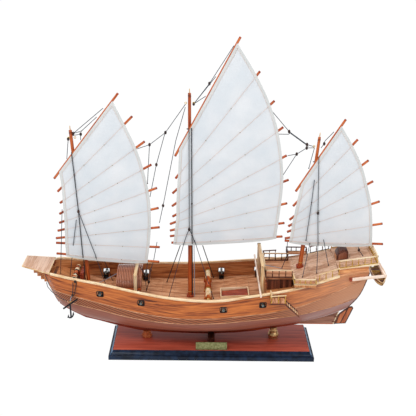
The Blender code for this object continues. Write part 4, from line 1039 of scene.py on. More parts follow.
def grown(name: str, points: bpy.types.Mesh, tree: bpy.types.NodeTree, inputs: dict) -> bpy.types.Mesh:
    """Runs a node tree on a mesh and returns what it makes as a plain mesh.

    Args:
        name: of the new mesh.
        points: the mesh that the tree starts from.
        tree: the node tree.
        inputs: value for each named input.

    Returns:
        The new mesh, with its faces turned outwards.
    """
    holder = bpy.data.objects.new(name + "_seed", points)
    bpy.context.scene.collection.objects.link(holder)
    modifier = holder.modifiers.new("Nodes", "NODES")
    modifier.node_group = tree
    keys = {item.name: item.identifier for item in tree.interface.items_tree if item.in_out == "INPUT"}
    for label, value in inputs.items():
        modifier[keys[label]] = value
    graph = bpy.context.evaluated_depsgraph_get()
    mesh = bpy.data.meshes.new_from_object(holder.evaluated_get(graph))
    mesh.name = name
    bpy.data.objects.remove(holder, do_unlink=True)
    bpy.data.meshes.remove(points)
    shape = bmesh.new()
    shape.from_mesh(mesh)
    bmesh.ops.recalc_face_normals(shape, faces=shape.faces)
    shape.to_mesh(mesh)
    shape.free()
    return mesh


def copies(name: str, shape: Form, spots: Sequence[tuple[Sequence[float], Sequence[float]]], finish,
           size: Sequence[float] = (1, 1, 1), body: str = "ship") -> bpy.types.Object:
    """Puts a shape on many spots as one piece.

    Args:
        name: the piece's name.
        shape: the shape, made round the origin with +Z outwards.
        spots: place and outward direction of each copy.
        finish: its finish.
        size: scale of the shape.
        body: the body that it moves with.

    Returns:
        The new object.
    """
    pattern = shape.mesh(name + "_shape")
    stand_in = bpy.data.objects.new(name + "_shape", pattern)
    bpy.context.scene.collection.objects.link(stand_in)
    points = bpy.data.meshes.new(name + "_points")
    points.from_pydata([tuple(place) for place, _ in spots], [], [])
    aim = points.attributes.new("aim", "FLOAT_VECTOR", "POINT")
    for item, (_, direction) in zip(aim.data, spots):
        item.vector = direction
    mesh = grown(name, points, copies_tree(), {"Shape": stand_in, "Size": tuple(size),
                                               "Finish": finish.material()})
    bpy.data.objects.remove(stand_in, do_unlink=True)
    bpy.data.meshes.remove(pattern)
    return dress(name, mesh, (finish,), body)


def nails(name: str, places: Sequence[Sequence[float]], radius: float = 0.0006) -> bpy.types.Object:
    """Sets small domed nail heads in a deck."""
    head = Form()
    head.turned((0, 0, -0.0003), (0, 0, 0.00025),
                ((0, radius), (0.6, radius), (0.9, radius * 0.6), (1, 0.0001)), 6)
    return copies(name, head, [(place, (0, 0, 1)) for place in places], IRON)


@dataclass
class Studio:
    """The camera of the photograph, a lit white floor that takes no shadow, and soft lights."""

    floor_half: float = 14.0
    floor_glow: float = 1.02
    sky: float = 0.46
    sky_colour: str = "#F6F9FF"
    clip: tuple[float, float] = (0.05, 100.0)
    # Name, place, width, power in watts and the point it is aimed at
    lamps: tuple = (
        ("key", (-1.2, -1.9, 2.3), 1.2, 34.0, (0, 0, 0.2)),
        ("fill", (1.9, -1.6, 1.4), 1.4, 9.0, (0, 0, 0.2)),
        ("top", (0.1, 0.2, 2.9), 2.6, 46.0, (0, 0, 0.1)),
    )

    def build(self) -> None:
        """Builds the camera, the floor and the lights."""
        self.camera()
        self.floor()
        self.lights()

    def camera(self) -> None:
        """Places the camera by its yaw, pitch and roll."""
        yaw, pitch, roll = CAMERA_YAW, CAMERA_PITCH, CAMERA_ROLL
        level = Vector((math.cos(yaw), -math.sin(yaw), 0))
        ahead = Vector((math.sin(yaw) * math.cos(pitch), math.cos(yaw) * math.cos(pitch), -math.sin(pitch)))
        upright = level.cross(ahead)
        right = level * math.cos(roll) + upright * math.sin(roll)
        up = upright * math.cos(roll) - level * math.sin(roll)
        data = bpy.data.cameras.new("photo_camera")
        data.sensor_width = SENSOR
        data.lens = FOCAL_PIXELS / PHOTO_SIZE * SENSOR
        data.clip_start, data.clip_end = self.clip
        camera = bpy.data.objects.new("photo_camera", data)
        turn = Matrix((right, up, -ahead)).transposed().to_4x4()
        camera.matrix_world = Matrix.Translation(CAMERA_PLACE) @ turn
        bpy.context.scene.collection.objects.link(camera)
        bpy.context.scene.camera = camera

    def floor(self) -> None:
        """Lays a wide sheet of opal acrylic under the plinth, lit evenly from below like a light table."""
        half = self.floor_half
        mesh = bpy.data.meshes.new("floor")
        mesh.from_pydata([(-half, -half, 0), (half, -half, 0), (half, half, 0), (-half, half, 0)], [],
                         [(0, 1, 2, 3)])
        floor = bpy.data.objects.new("floor", mesh)
        bpy.context.scene.collection.objects.link(floor)
        made, tree = empty_material("floor_lit_opal_acrylic")
        shader = add_node(tree, "ShaderNodeEmission", {"Color": (1, 1, 1, 1), "Strength": self.floor_glow})
        add_node(tree, "ShaderNodeOutputMaterial", {"Surface": shader})
        mesh.materials.append(made)
        floor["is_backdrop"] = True

    def lights(self) -> None:
        """Hangs a key light at the camera's left, a fill at its right and a broad light overhead."""
        scene = bpy.context.scene
        world = bpy.data.worlds.new("soft_white")
        world.use_nodes = True
        tree = world.node_tree
        tree.nodes.clear()
        seen = add_node(tree, "ShaderNodeLightPath")
        behind = add_node(tree, "ShaderNodeBackground", {"Color": (1, 1, 1, 1), "Strength": 1.0})
        around = add_node(tree, "ShaderNodeBackground",
                          {"Color": colour(self.sky_colour), "Strength": self.sky})
        mixed = add_node(tree, "ShaderNodeMixShader",
                         {0: seen.outputs["Is Camera Ray"], 1: around, 2: behind})
        add_node(tree, "ShaderNodeOutputWorld", {"Surface": mixed})
        scene.world = world
        scene.view_settings.view_transform = "Standard"
        for name, place, size, power, aim in self.lamps:
            data = bpy.data.lights.new(name, "AREA")
            data.shape = "DISK"
            data.size = size
            data.energy = power
            lamp = bpy.data.objects.new(name, data)
            along = Vector(aim) - Vector(place)
            turn = along.to_track_quat("-Z", "Y").to_matrix().to_4x4()
            lamp.matrix_world = Matrix.Translation(place) @ turn
            scene.collection.objects.link(lamp)


@dataclass
class Plinth:
    """The moulded base with its polished panel, pedestals, keel block and blank plate."""

    half: tuple[float, float] = (0.2109, 0.0740)
    corner: float = 0.0012
    panel_top: float = 0.0190
    # Inset and height of the moulding's outline, from the foot up
    moulding: tuple[tuple[float, float], ...] = (
        (0.0004, 0.0000), (0.0000, 0.0004), (0.0000, 0.0080), (0.0003, 0.0087), (0.0010, 0.0091),
        (0.0036, 0.0096), (0.0039, 0.0100), (0.0039, 0.0112), (0.0043, 0.0118), (0.0056, 0.0124),
        (0.0066, 0.0136), (0.0072, 0.0150), (0.0075, 0.0160), (0.0079, 0.0166), (0.0080, 0.0184),
        (0.0083, 0.0188), (0.0090, 0.0188),
    )
    panel_inset: float = 0.0092
    # Pedestal: node, x, top, finish; the fore one's finish is brass coloured reddish as a painted reflection
    # of the red base
    pedestals: tuple = (("pedestal_fore", -0.1360, 0.0336, PEDESTAL_RED_REFLECTION),
                        ("pedestal_aft", 0.1315, 0.0430, PEDESTAL_BRASS))
    # Share of a pedestal's height and radius, from the foot up
    turning: tuple[tuple[float, float], ...] = (
        (0.00, 0.0088), (0.015, 0.0098), (0.07, 0.0102), (0.10, 0.0098), (0.13, 0.0100), (0.18, 0.0112),
        (0.28, 0.0118), (0.40, 0.0113), (0.52, 0.0099), (0.60, 0.0088), (0.63, 0.0091), (0.67, 0.0091),
        (0.70, 0.0082), (0.78, 0.0076), (0.88, 0.0074), (0.90, 0.0079), (0.97, 0.0080), (1.00, 0.0075),
    )
    # Half length, y of the face, foot and head
    plate: tuple[float, float, float, float] = (0.0320, -0.0625, 0.0190, 0.0365)
    highlight_facing: float = 0.3

    def build(self) -> None:
        """Builds every piece of the stand."""
        self.base()
        self.posts()
        self.block_and_plate()

    def base(self) -> None:
        """Lofts the moulding, with a painted highlight in lighter blue on its upper edges at the ends, and
        lays the panel in it.
        """
        half_x, half_y = self.half
        rows = []
        for inset, z in self.moulding:
            outline = rounded(half_x - inset, half_y - inset, self.corner)
            rows.append([(x, y, z) for x, y in outline])
        moulding = Form().use(NAVY)
        moulding.rings(rows)
        # Painted highlight: faces turned to the ends between these heights take the lighter blue
        moulding.use(NAVY_HIGHLIGHT)
        for face in moulding.shape.faces:
            face.normal_update()
            height = face.calc_center_median().z
            if abs(face.normal.x) > self.highlight_facing and 0.0090 < height < self.panel_top - 0.0003:
                face.material_index = 1
        moulding.piece("plinth_moulding", "plinth_lacquer", stands_for=("stand_base",))
        inner_x = half_x - self.panel_inset
        inner_y = half_y - self.panel_inset
        panel = Form().use(PANEL_WOOD)
        panel.block((-inner_x, -inner_y, 0.0150), (inner_x, inner_y, self.panel_top), ease=0.0004)
        panel.piece("plinth_panel", "plinth_top_mahogany", stands_for=("stand_top",))

    def posts(self) -> None:
        """Turns the two pedestals that carry the keel."""
        for node, x, top, finish in self.pedestals:
            post = Form().use(finish)
            post.turned((x, 0, self.panel_top), (x, 0, top), self.turning, 40)
            post.piece(node + "_turned", "brass", stands_for=(node,), sharp=50)

    def block_and_plate(self) -> None:
        """Cuts the block under the keel, and the blank brass plate with its raised border and two pins."""
        z = self.panel_top
        block = Form().use(DARK_WOOD)
        outline = [(-0.0070, z), (-0.0070, 0.0304), (-0.0062, 0.0312), (0.0062, 0.0312), (0.0070, 0.0304),
                   (0.0070, z)]
        for ends in ((-0.0310, -0.0025), (0.0025, 0.0310)):
            block.slab(outline, ends, Grain.WIDTH, 0.0004)
        block.block((-0.0070, -0.0060, z), (0.0070, 0.0060, 0.0266), Grain.WIDTH)
        block.piece("keel_block_cut", "dark_red_wood", stands_for=("keel_block",))
        half, y, low, high = self.plate
        plate = Form().use(OLD_BRASS)
        plate.block((-half, y, low), (half, y + 0.0015, high), ease=0.0003)
        for x in (-half + 0.0012, half - 0.0012):
            plate.block((x - 0.0012, y - 0.0004, low + 0.0002), (x + 0.0012, y + 0.0003, high - 0.0002),
                        ease=0.0001)
        for z0 in (low + 0.0002, high - 0.0026):
            plate.block((-half + 0.0024, y - 0.0004, z0), (half - 0.0024, y + 0.0003, z0 + 0.0024),
                        ease=0.0001)
        for x in (-half + 0.0040, half - 0.0040):
            plate.ball((x, y - 0.0001, (low + high) / 2), 0.0009, (1, 0.6, 1))
        plate.piece("plate_blank", "brass", stands_for=("name_plate",))


@dataclass
class Hull:
    """The planked shell with its ports, wales, keel, stem rounding, stern boards and rudder."""

    sections: int = 300
    rows: tuple[int, int, int] = (10, 5, 18)
    wale_radius: float = 0.0009
    port_half: tuple[float, float] = (0.0062, 0.00525)
    port_corner: float = 0.0018
    port_lift: float = 0.00025
    # How the stem is rounded: how far ahead of the first section, and the share of its width
    stem: tuple[tuple[float, float], ...] = ((0.0030, 0.35), (0.0025, 0.70), (0.0013, 0.93))

    def build(self) -> None:
        """Builds every piece of the hull."""
        self.shell()
        self.wales()
        self.port_frames()
        self.keel()
        self.transom()
        self.rudder()

    def port_centre(self, index: int) -> tuple[float, float]:
        """X and height of a gun port's middle."""
        x, drop = GUN_PORTS[index]
        return x, station_at(x).rail_top - drop + self.port_lift

    def outline(self, x: float) -> list[tuple[float, float, float, float, float]]:
        """The hull's side at one section, from the keel up.

        Args:
            x: the sheer's place.

        Returns:
            For each point its x, half width, z, level on the planking and distance from the sheer.
        """
        station = station_at(x)
        height = station.sheer - station.keel_z
        stops = [0.0]
        for z in wales_at(x):
            rise = min((z - station.keel_z) / height, 0.97)
            stops.append(math.acos(max(0.0, 1 - rise) ** (station.roundness / 2)))
        stops.append(math.pi / 2)
        points = []
        for part, count in enumerate(self.rows):
            for k in range(count + (part == 2)):
                angle = stops[part] + (stops[part + 1] - stops[part]) * k / count
                rise = 1 - max(math.cos(angle), 0.0) ** (2 / station.roundness)
                z = station.keel_z + rise * height
                half = station.half_beam * math.sin(angle) ** (2 / station.roundness)
                points.append((station.x_at(z), station.drawn_in(half, z), z, part + k / count))
        girth = 0.0
        measured = []
        for k in range(len(points) - 1, -1, -1):
            if k < len(points) - 1:
                girth += math.dist(points[k][1:3], points[k + 1][1:3])
            measured.append((*points[k], girth))
        return measured[::-1]

    def ring(self, x: float, ahead: float = 0.0, share: float = 1.0) -> tuple[list, list]:
        """One closed ring of the shell, and what each point maps to.

        Args:
            x: the sheer's place.
            ahead: how far the ring is moved towards the bow.
            share: scale of its width.

        Returns:
            The points, and for each one (along, level, girth) or None inside the bulwarks.
        """
        side = self.outline(x)
        station = station_at(x)
        half = max(station.half_beam - BULWARK, 0.002)
        floor = main_deck_z(x) - 0.0012 if x < 0.1085 else station.sheer - 0.0100
        inner = [(station.sheer_x, half, station.sheer), (station.x_at(floor), half, floor)]
        outer = [(point[:3], (x - BOW_X, *point[3:])) for point in side]
        walls = [(point, None) for point in inner]
        ring = [(-share, *item) for item in outer + walls]
        ring += [(share, *item) for item in walls[::-1] + outer[:0:-1]]
        points = [(px - ahead, y * width, z) for width, (px, y, z), _ in ring]
        return points, [item for _, _, item in ring]

    def shell(self) -> None:
        """Lofts the shell and cuts its ports, whose reveals are black as painted shade."""
        finishes = [HULL_PLANKS, BULWARK_WOOD]
        form = Form()
        rows = [self.ring(BOW_X, ahead, share) for ahead, share in self.stem]
        rows += [self.ring(x) for x in spread(BOW_X, STERN_X, self.sections)]
        verts = form.rings([points for points, _ in rows])
        place = {}
        for row, (_, maps) in zip(verts, rows):
            for j, (vert, item) in enumerate(zip(row, maps)):
                place[vert] = item
                if item:
                    along, _, girth = item
                    rise = vert.co.z - wales_at(along + BOW_X)[0]
                    vert[form.grain] = Vector((along, girth, rise + (0.21 if j > len(maps) / 2 else 0.0)))
                else:
                    vert[form.grain] = Vector((vert.co.x, vert.co.z, math.copysign(0.4, vert.co.y)))
        for face in form.shape.faces:
            outer = all(place.get(loop.vert) for loop in face.loops) and len(face.loops) == 4
            face.material_index = 0 if outer else 1
            for loop in face.loops:
                item = place.get(loop.vert)
                if outer and item:
                    loop[form.surface].uv = item[:2]
        mesh = form.mesh("hull_shell")
        for finish in finishes:
            mesh.materials.append(finish.material())
        holder = bpy.data.objects.new("hull_uncut", mesh)
        cutter = self.port_cutter()
        for obj in (holder, cutter):
            bpy.context.scene.collection.objects.link(obj)
        cut = holder.modifiers.new("Ports", "BOOLEAN")
        cut.operation = "DIFFERENCE"
        cut.solver = "EXACT"
        cut.object = cutter
        graph = bpy.context.evaluated_depsgraph_get()
        shell = bpy.data.meshes.new_from_object(holder.evaluated_get(graph))
        # The cutter's black becomes the reveals, as painted shade
        if len(shell.materials) > len(finishes):
            finishes.append(BLACK)
        for obj in (holder, cutter):
            bpy.data.objects.remove(obj, do_unlink=True)
        dress("hull_shell", shell, finishes, stands_for=("hull",), sharp=50)

    def port_cutter(self) -> bpy.types.Object:
        """The bars with round corners that cut the ports through both sides; their black becomes painted
        shade on the reveals.
        """
        form = Form().use(BLACK)
        outline = rounded(*self.port_half, self.port_corner)
        for index in range(len(GUN_PORTS)):
            x, z = self.port_centre(index)
            form.slab([(x + px, z + pz) for px, pz in outline], (-0.13, 0.13), ease=0)
        mesh = form.mesh("port_cutter")
        mesh.materials.append(BLACK.material())
        return bpy.data.objects.new("port_cutter", mesh)

    def port_frames(self) -> None:
        """Sets a black frame round each port, outside and inside; the black lining through the side is
        painted shade.
        """
        inner = rounded(*(half - 0.0001 for half in self.port_half), self.port_corner)
        outer = rounded(*(half + 0.0011 for half in self.port_half), self.port_corner + 0.0009)
        for side in SIDES:
            form = Form().use(BLACK)
            for index in range(len(GUN_PORTS)):
                x, z = self.port_centre(index)
                rows = []
                for (ix, iz), (ox, oz) in zip(inner, outer):
                    near = station_at(x + ix).half_at(z + iz)
                    far = station_at(x + ox).half_at(z + oz)
                    rows.append([(x + ix, side * (near - 0.0045), z + iz),
                                 (x + ix, side * (near + 0.0006), z + iz),
                                 (x + ox, side * (far + 0.0005), z + oz),
                                 (x + ox, side * (far - 0.0005), z + oz)])
                form.rings(rows, seam=True)
            form.piece(f"port_frames_{SIDE_NAMES[side]}", "black_iron")

    def wale_path(self, side: int, which: int) -> list[tuple[float, float, float]]:
        """Points of a wale along one side of the hull."""
        path = []
        for x in spread(BOW_X + 0.001, STERN_X - 0.001, 130):
            station = station_at(x)
            z = wales_at(x)[which]
            path.append((station.x_at(z) - 0.0004, side * (station.half_at(z) + 0.0002), z))
        return path

    def wales(self) -> None:
        """Lays a thin rubbing strake along both edges of the belt."""
        form = Form().use(WALE_WOOD)
        for side in SIDES:
            for which in (0, 1):
                form.cord(self.wale_path(side, which), self.wale_radius, 6)
        form.piece("hull_wales", "hull_wood")

    def keel(self) -> None:
        """Makes the keel, with the pale edge and walnut board of the deadwood aft."""
        half = KEEL_HALF
        bottom = [(-0.3180, 0.0940), (-0.3040, 0.0830), (-0.2880, 0.0740), (-0.2640, 0.0620),
                  (-0.2350, 0.0550), (-0.1930, 0.0430), (-0.1530, 0.0342), (-0.1360, 0.0326),
                  (-0.0920, 0.0290), (-0.0110, 0.0270),
                  (0.0500, 0.0300), (0.0930, 0.0350), (0.1315, 0.0427), (0.1560, 0.0460), (0.1860, 0.0520)]

        def top(places: Sequence[float]) -> list[tuple[float, float]]:
            """Points of the keel's upper edge, let into the bottom."""
            stations = [station_at(x) for x in places]
            return [(station.keel_x, station.keel_z + 0.0020) for station in stations]

        form = Form().use(KEEL_WOOD)
        form.slab([*bottom, *top(spread(0.1900, -0.3290, 24)), (-0.3130, 0.0945)], (-half, half), ease=0.0005)
        form.use(DEADWOOD)
        board = [(0.1855, 0.0536), (0.2575, 0.0536), (0.2680, 0.0806)]
        form.slab(board + top((0.2900, 0.2620, 0.2370, 0.2120, 0.19)), (-half, half))
        form.use(RUDDER_PANEL)
        form.block((0.1840, -half - 0.0003, 0.0518), (0.2573, half + 0.0003, 0.0538), ease=0.0003)
        form.use(PALE_WOOD)
        post = [(0.2556, 0.0520), (0.2577, 0.0520), (0.2682, 0.0806), (0.2661, 0.0806)]
        form.slab(post, (-half - 0.0004, half + 0.0004), Grain.UPRIGHT, 0.0002)
        for rise in (0.006, 0.018):
            x, _, z = Vector((0.2570, 0, 0.0520)) + Vector((0.342, 0, 0.940)) * rise
            form.use(STERN_WOOD)
            form.block((x - 0.0050, -half - 0.0008, z - 0.0012), (x + 0.0012, half + 0.0008, z + 0.0012),
                       ease=0.0002)
            form.bar((x + 0.0021 - 0.0005, 0, z - 0.0019), (x + 0.0021 + 0.0005, 0, z + 0.0010), 0.0022)
        form.piece("keel_and_deadwood", "dark_red_wood", stands_for=("keel",))

    def transom(self) -> None:
        """Frames the flat stern with boards and upright staves."""
        station = station_at(STERN_X)
        form = Form().use(DARK_WOOD)

        def at(share_y: float, z: float, out: float) -> tuple[float, float, float]:
            """A point of the stern at a share of its half width, a little way out."""
            return (station.x_at(z) + out, station.half_at(z) * share_y, z)

        levels = spread(station.keel_z + 0.008, station.sheer - 0.001, 9)
        for k, share in enumerate(spread(-0.9, 0.9, 13)):
            width = 0.0030 if abs(share) < 0.85 else 0.0022
            rows = []
            for z in levels:
                (x0, y, _), (x1, _, _) = at(share, z, -0.0005), at(share, z, 0.0008)
                rows.append([(x0, y - width, z), (x1, y - width, z), (x1, y + width, z), (x0, y + width, z)])
            form.use(STERN_WOOD if k % 2 else BULWARK_WOOD)
            form.rings(rows, turn=GRAIN_TURN[Grain.UPRIGHT])
        form.use(DARK_WOOD)
        for side in SIDES:
            form.cord([at(side * 0.985, z, 0.0006) for z in levels], 0.0014, 8)
        for z in (levels[0], levels[4], levels[-1]):
            form.cord([at(share, z, 0.0007) for share in spread(-0.97, 0.97, 9)], 0.0012, 8)
        form.piece("stern_panelling", "hull_wood")

    def rudder(self) -> None:
        """Makes the rudder: a dark frame with two cherry panels, its stock and its pins."""
        form = Form().use(DARK_WOOD)
        outline = ((0.2605, 0.0521), (0.2835, 0.0535), (0.2980, 0.0885), (0.2955, 0.0925), (0.2890, 0.0918),
                   (0.2796, 0.0852), (0.2690, 0.0765))
        form.slab(outline, (-0.0013, 0.0013), Grain.UPRIGHT, 0.0004)
        form.use(RUDDER_PANEL)
        fore = ((0.2640, 0.0543), (0.2710, 0.0547), (0.2834, 0.0838), (0.2805, 0.0826), (0.2702, 0.0738))
        aft = ((0.2736, 0.0549), (0.2817, 0.0554), (0.2954, 0.0884), (0.2940, 0.0903), (0.2897, 0.0896),
               (0.2872, 0.0876))
        for panel in (fore, aft):
            form.slab(panel, (-0.0016, 0.0016), Grain.UPRIGHT)
        foot = Vector((0.259068, 0, 0.051248))
        along = Vector((0.341743, 0, 0.939793))
        form.use(DARK_WOOD)
        for low, high in ((0.0006, 0.0036), (0.0084, 0.0156), (0.0204, 0.0242)):
            form.bar(foot + along * low, foot + along * high, 0.0016)
        form.use(IRON).bar(foot + along * 0.0010, foot + along * 0.0240, 0.0008)
        form.piece("rudder_framed", "hull_wood", "rudder_blade", ("rudder",))


@dataclass
class Decks:
    """The waist deck, the cambered poop deck and the hatch, with their rows of nails."""

    nail_pitch: float = 0.0262
    nail_gap: float = 0.0051
    shade_to: float = -0.2880
    hatch: tuple[float, float, float] = (0.0180, 0.0770, 0.0235)

    def build(self) -> None:
        """Builds the decks and the hatch."""
        self.waist()
        self.poop()
        self.hatchway()

    def nail_rows(self, low: float, high: float, half: Callable[[float], float],
                  z: Callable[[float, float], float],
                  first: float) -> list[tuple[float, float, float]]:
        """Places of the nails, in rows across the deck that waver a little.

        Args:
            low: fore end of the deck.
            high: aft end.
            half: half width at x.
            z: height at x and y.
            first: x of one row.

        Returns:
            The place of every nail.
        """
        places = []
        start = math.ceil((low - first) / self.nail_pitch)
        for row in range(start, int((high - first) / self.nail_pitch) + 1):
            x = first + row * self.nail_pitch
            count = int((half(x) - 0.0015) / self.nail_gap)
            for k in range(-count, count + 1):
                y = k * self.nail_gap
                aside = x + 0.0007 * math.sin(7.3 * k + 2.1 * row)
                places.append((aside, y, z(aside, y)))
        return places

    def waist(self) -> None:
        """Lays the waist deck between the bulwarks, darker at the bow as painted shade."""
        rows = []
        for x in spread(-0.3280, WAIST_AFT, 70):
            z = main_deck_z(x)
            section = station_at(2 * x - station_at(x).x_at(z))
            half = min(inner_half(x) + 0.0008, section.half_at(z - 0.0010) - 0.0012)
            rows.append([(x, -half, z - 0.0010), (x, -half, z), (x, half, z), (x, half, z - 0.0010)])
        # Painted shade: the deck forward of shade_to takes the darker wood
        deck = Form().use(DECK_WOOD).use(BOW_SHADE_WOOD).use(DECK_WOOD)
        deck.rings(rows)
        for face in deck.shape.faces:
            if face.calc_center_median().x < self.shade_to:
                face.material_index = 1
        deck.piece("waist_deck", "deck_planks", stands_for=("main_deck",))
        nails("waist_deck_nails",
              self.nail_rows(-0.27, 0.104, inner_half, lambda x, y: main_deck_z(x), 0.027))

    def poop_z(self, x: float, y: float) -> float:
        """Height of the cambered poop deck."""
        station = station_at(x)
        edge = station.rail_top - 0.0006
        share = min(abs(y) / (station.half_beam - BULWARK - 0.0012), 1.0)
        return edge + (crown_z(x) - edge) * (1 - share ** 3)

    def poop(self) -> None:
        """Lays the poop deck, arched across the ship."""
        rows = []
        for x in spread(POOP_X[0], POOP_X[1], 26):
            station = station_at(x)
            half = station.half_beam - BULWARK - 0.0012
            top = [(x, share * half, self.poop_z(x, share * half)) for share in spread(-1.0, 1.0, 25)]
            under = [(px, y, max(z - 0.0030, station.sheer - 0.0090)) for px, y, z in top[::-1]]
            rows.append(top + under)
        deck = Form().use(POOP_WOOD)
        deck.rings(rows)
        deck.piece("poop_deck_arched", "deck_planks", stands_for=("poop_deck",))
        places = self.nail_rows(POOP_X[0], POOP_X[1], lambda x: inner_half(x) - 0.003, self.poop_z, 0.1700)
        nails("poop_deck_nails", places)

    def hatchway(self) -> None:
        """Frames the hatch in pale wood round red boards."""
        x0, x1, half = self.hatch
        top = 0.1252
        slope = 0.0035
        border = 0.0018
        form = Form().use(CAP_WOOD)
        for side in SIDES:
            outline = [(x0, main_deck_z(x0) - SEAT), (x1, main_deck_z(x1) - SEAT), (x1, top),
                       (x0, top - slope)]
            form.slab(outline, (side * half, side * (half - border)))
        for x in (x0, x1 - border):
            low = main_deck_z(x) - SEAT
            lift = top - slope * (x1 - x) / (x1 - x0)
            form.block((x, -half + border, low), (x + border, half - border, lift), Grain.WIDTH)
        form.use(RED_WOOD)
        inner = half - border
        outline = [(x0 + border, main_deck_z(x0) - 0.0005), (x1 - border, main_deck_z(x1) - 0.0005),
                   (x1 - border, main_deck_z(x1) + 0.0016), (x0 + border, main_deck_z(x0) + 0.0016)]
        edges = spread(-inner, inner, 6)
        for low, high in zip(edges, edges[1:]):
            form.slab(outline, (low, high - GAP), ease=0.0004)
        form.piece("hatch_framed", "dark_red_wood", stands_for=("hatch",))


@dataclass
class Balustrade:
    """A rail of square bars on turned balusters along a path."""

    bar: tuple[float, float] = (0.0012, 0.0011)
    foot: tuple[float, float] = (0.0010, 0.0008)
    turning: tuple[tuple[float, float], ...] = (
        (0.0, 0.00105), (0.12, 0.00105), (0.15, 0.0007), (0.22, 0.0010), (0.40, 0.0012), (0.55, 0.0009),
        (0.70, 0.0006), (0.82, 0.0007), (0.85, 0.00105), (1.0, 0.00105),
    )

    def build(self, name: str, path: Sequence[Sequence[float]], height: float, spacing: float, slot: str,
              stands_for: Sequence[str] = (), baluster=BALUSTER_BRASS, bar=PALE_WOOD, foot=BALUSTER_BRASS,
              form: Form | None = None) -> None:
        """Builds the bars as one piece and the balusters as another.

        Args:
            name: the piece's name.
            path: corners of the foot line.
            height: of the whole rail.
            spacing: between balusters.
            slot: the record's material slot.
            stands_for: nodes that it replaces.
            baluster: finish of the balusters.
            bar: finish of the top bar.
            foot: finish of the foot bar.
            form: shapes that are joined to the bars.
        """
        form = form or Form()
        spots = []
        for index, (start, end) in enumerate(zip(path, path[1:])):
            low = Vector(start)
            high = Vector(end)
            along = (high - low).normalized()
            side = Vector((0, 0, 1)).cross(along).normalized()
            for (wide, tall), lift, finish in ((self.foot, 0.0, foot),
                                               (self.bar, height - 2 * self.bar[1], bar)):
                form.use(finish)
                a = low - along * wide + Vector((0, 0, lift))
                corners = [a - side * wide, a + side * wide, a + side * wide + Vector((0, 0, 2 * tall)),
                           a - side * wide + Vector((0, 0, 2 * tall))]
                turn = Grain.WIDTH if abs(along.y) > 0.7 else Grain.LENGTH
                form.prism(corners, high - low + along * 2 * wide, turn, 0.0003)
            count = max(1, round((high - low).length / spacing))
            for k in range(1 if index else 0, count + 1):
                spots.append((low.lerp(high, k / count) + Vector((0, 0, 2 * self.foot[1] - 0.0002)),
                              (0, 0, 1)))
        form.piece(name, slot, stands_for=stands_for)
        clear = height - 2 * self.foot[1] - 2 * self.bar[1] + 0.0004
        shape = Form()
        shape.turned((0, 0, 0), (0, 0, clear), self.turning, 10)
        copies(name + "_balusters", shape, spots, baluster)


@dataclass
class Rails:
    """The cap rails along both sides, and the balustrades round the platforms."""

    outside: float = 0.0012
    inside: float = 0.0008
    plain_from: float = 0.2520

    def build(self) -> None:
        """Builds the rails on both sides."""
        for side in SIDES:
            self.cap(side)
            self.poop_side(side)
        self.fore_platform()
        self.aft_platform()

    def cap(self, side: int) -> None:
        """Lays the cap rail along a side, with rounded edges."""
        rows = []
        for x in spread(-0.3290, STERN_X, 130):
            station = station_at(x)
            inner = station.half_beam - BULWARK - self.inside
            outer = station.half_beam + self.outside
            low, high = station.rail_top - CAP_HEIGHT, station.rail_top
            ease = 0.0006
            section = [(inner, low), (outer - ease, low), (outer, low + ease), (outer, high - ease * 1.6),
                       (outer - ease, high - ease * 0.4), (outer - 2 * ease, high), (inner + ease, high),
                       (inner, high - ease)]
            rows.append([(x, side * y, z) for y, z in section])
        form = Form().use(CAP_WOOD).use(AFT_CAP_WOOD).use(CAP_WOOD)
        form.rings(rows)
        for face in form.shape.faces:
            if face.calc_center_median().x > self.plain_from:
                face.material_index = 1
        label = SIDE_NAMES[side]
        form.piece(f"cap_rail_{label}", "pale_wood", stands_for=(f"rail_{label}",))

    def poop_side(self, side: int) -> None:
        """Stands the low rail on the cap beside the poop deck."""
        label = SIDE_NAMES[side]
        path = []
        for x in (0.2120, 0.2505):
            station = station_at(x)
            path.append((x, side * (station.half_beam - 0.0012), station.rail_top - 0.0001))
        Balustrade().build(f"poop_side_rail_{label}", path, 0.0165, 0.0125, "pale_wood",
                           (f"poop_rail_{label}",),
                           **RAIL_FINISHES[side])

    def fore_platform(self) -> None:
        """Rails the fore edge and both sides of the platform before the poop."""
        y = 0.0490
        x0, x1 = 0.1080, 0.1610
        z = FORE_PLATFORM_Z
        path = ((x1, -y, z), (x0, -y, z), (x0, y, z), (x1, y, z))
        Balustrade().build("fore_platform_rail", path, 0.0172, 0.0130, "pale_wood", ("deckhouse_rail",),
                           baluster=DARK_WOOD, foot=DARK_WOOD)

    def aft_platform(self) -> None:
        """Rails three sides of the platform at the stern."""
        y = 0.0600
        x0, x1 = 0.2540, 0.3290
        path = ((x0, -y), (x1, -y), (x1, y), (x0, y))
        points = [(x, py, aft_platform_z(x)) for x, py in path]
        Balustrade().build("aft_platform_rail", points, 0.0165, 0.0125, "pale_wood", ("poop_rail_aft",))


def turn_drums(form: Form, x: float, axis: float, side: int,
               drums: Sequence[tuple[float, float, float, Finish]]) -> None:
    """Turns a windlass barrel on one side of the ship.

    Args:
        form: takes the drums.
        x: the barrel's place along the ship.
        axis: height of its middle.
        side: the side of the ship.
        drums: near end, far end, radius and finish of each.
    """
    for near, far, radius, finish in drums:
        form.use(finish).bar((x, side * near, axis), (x, side * far, axis), radius, sides=24)


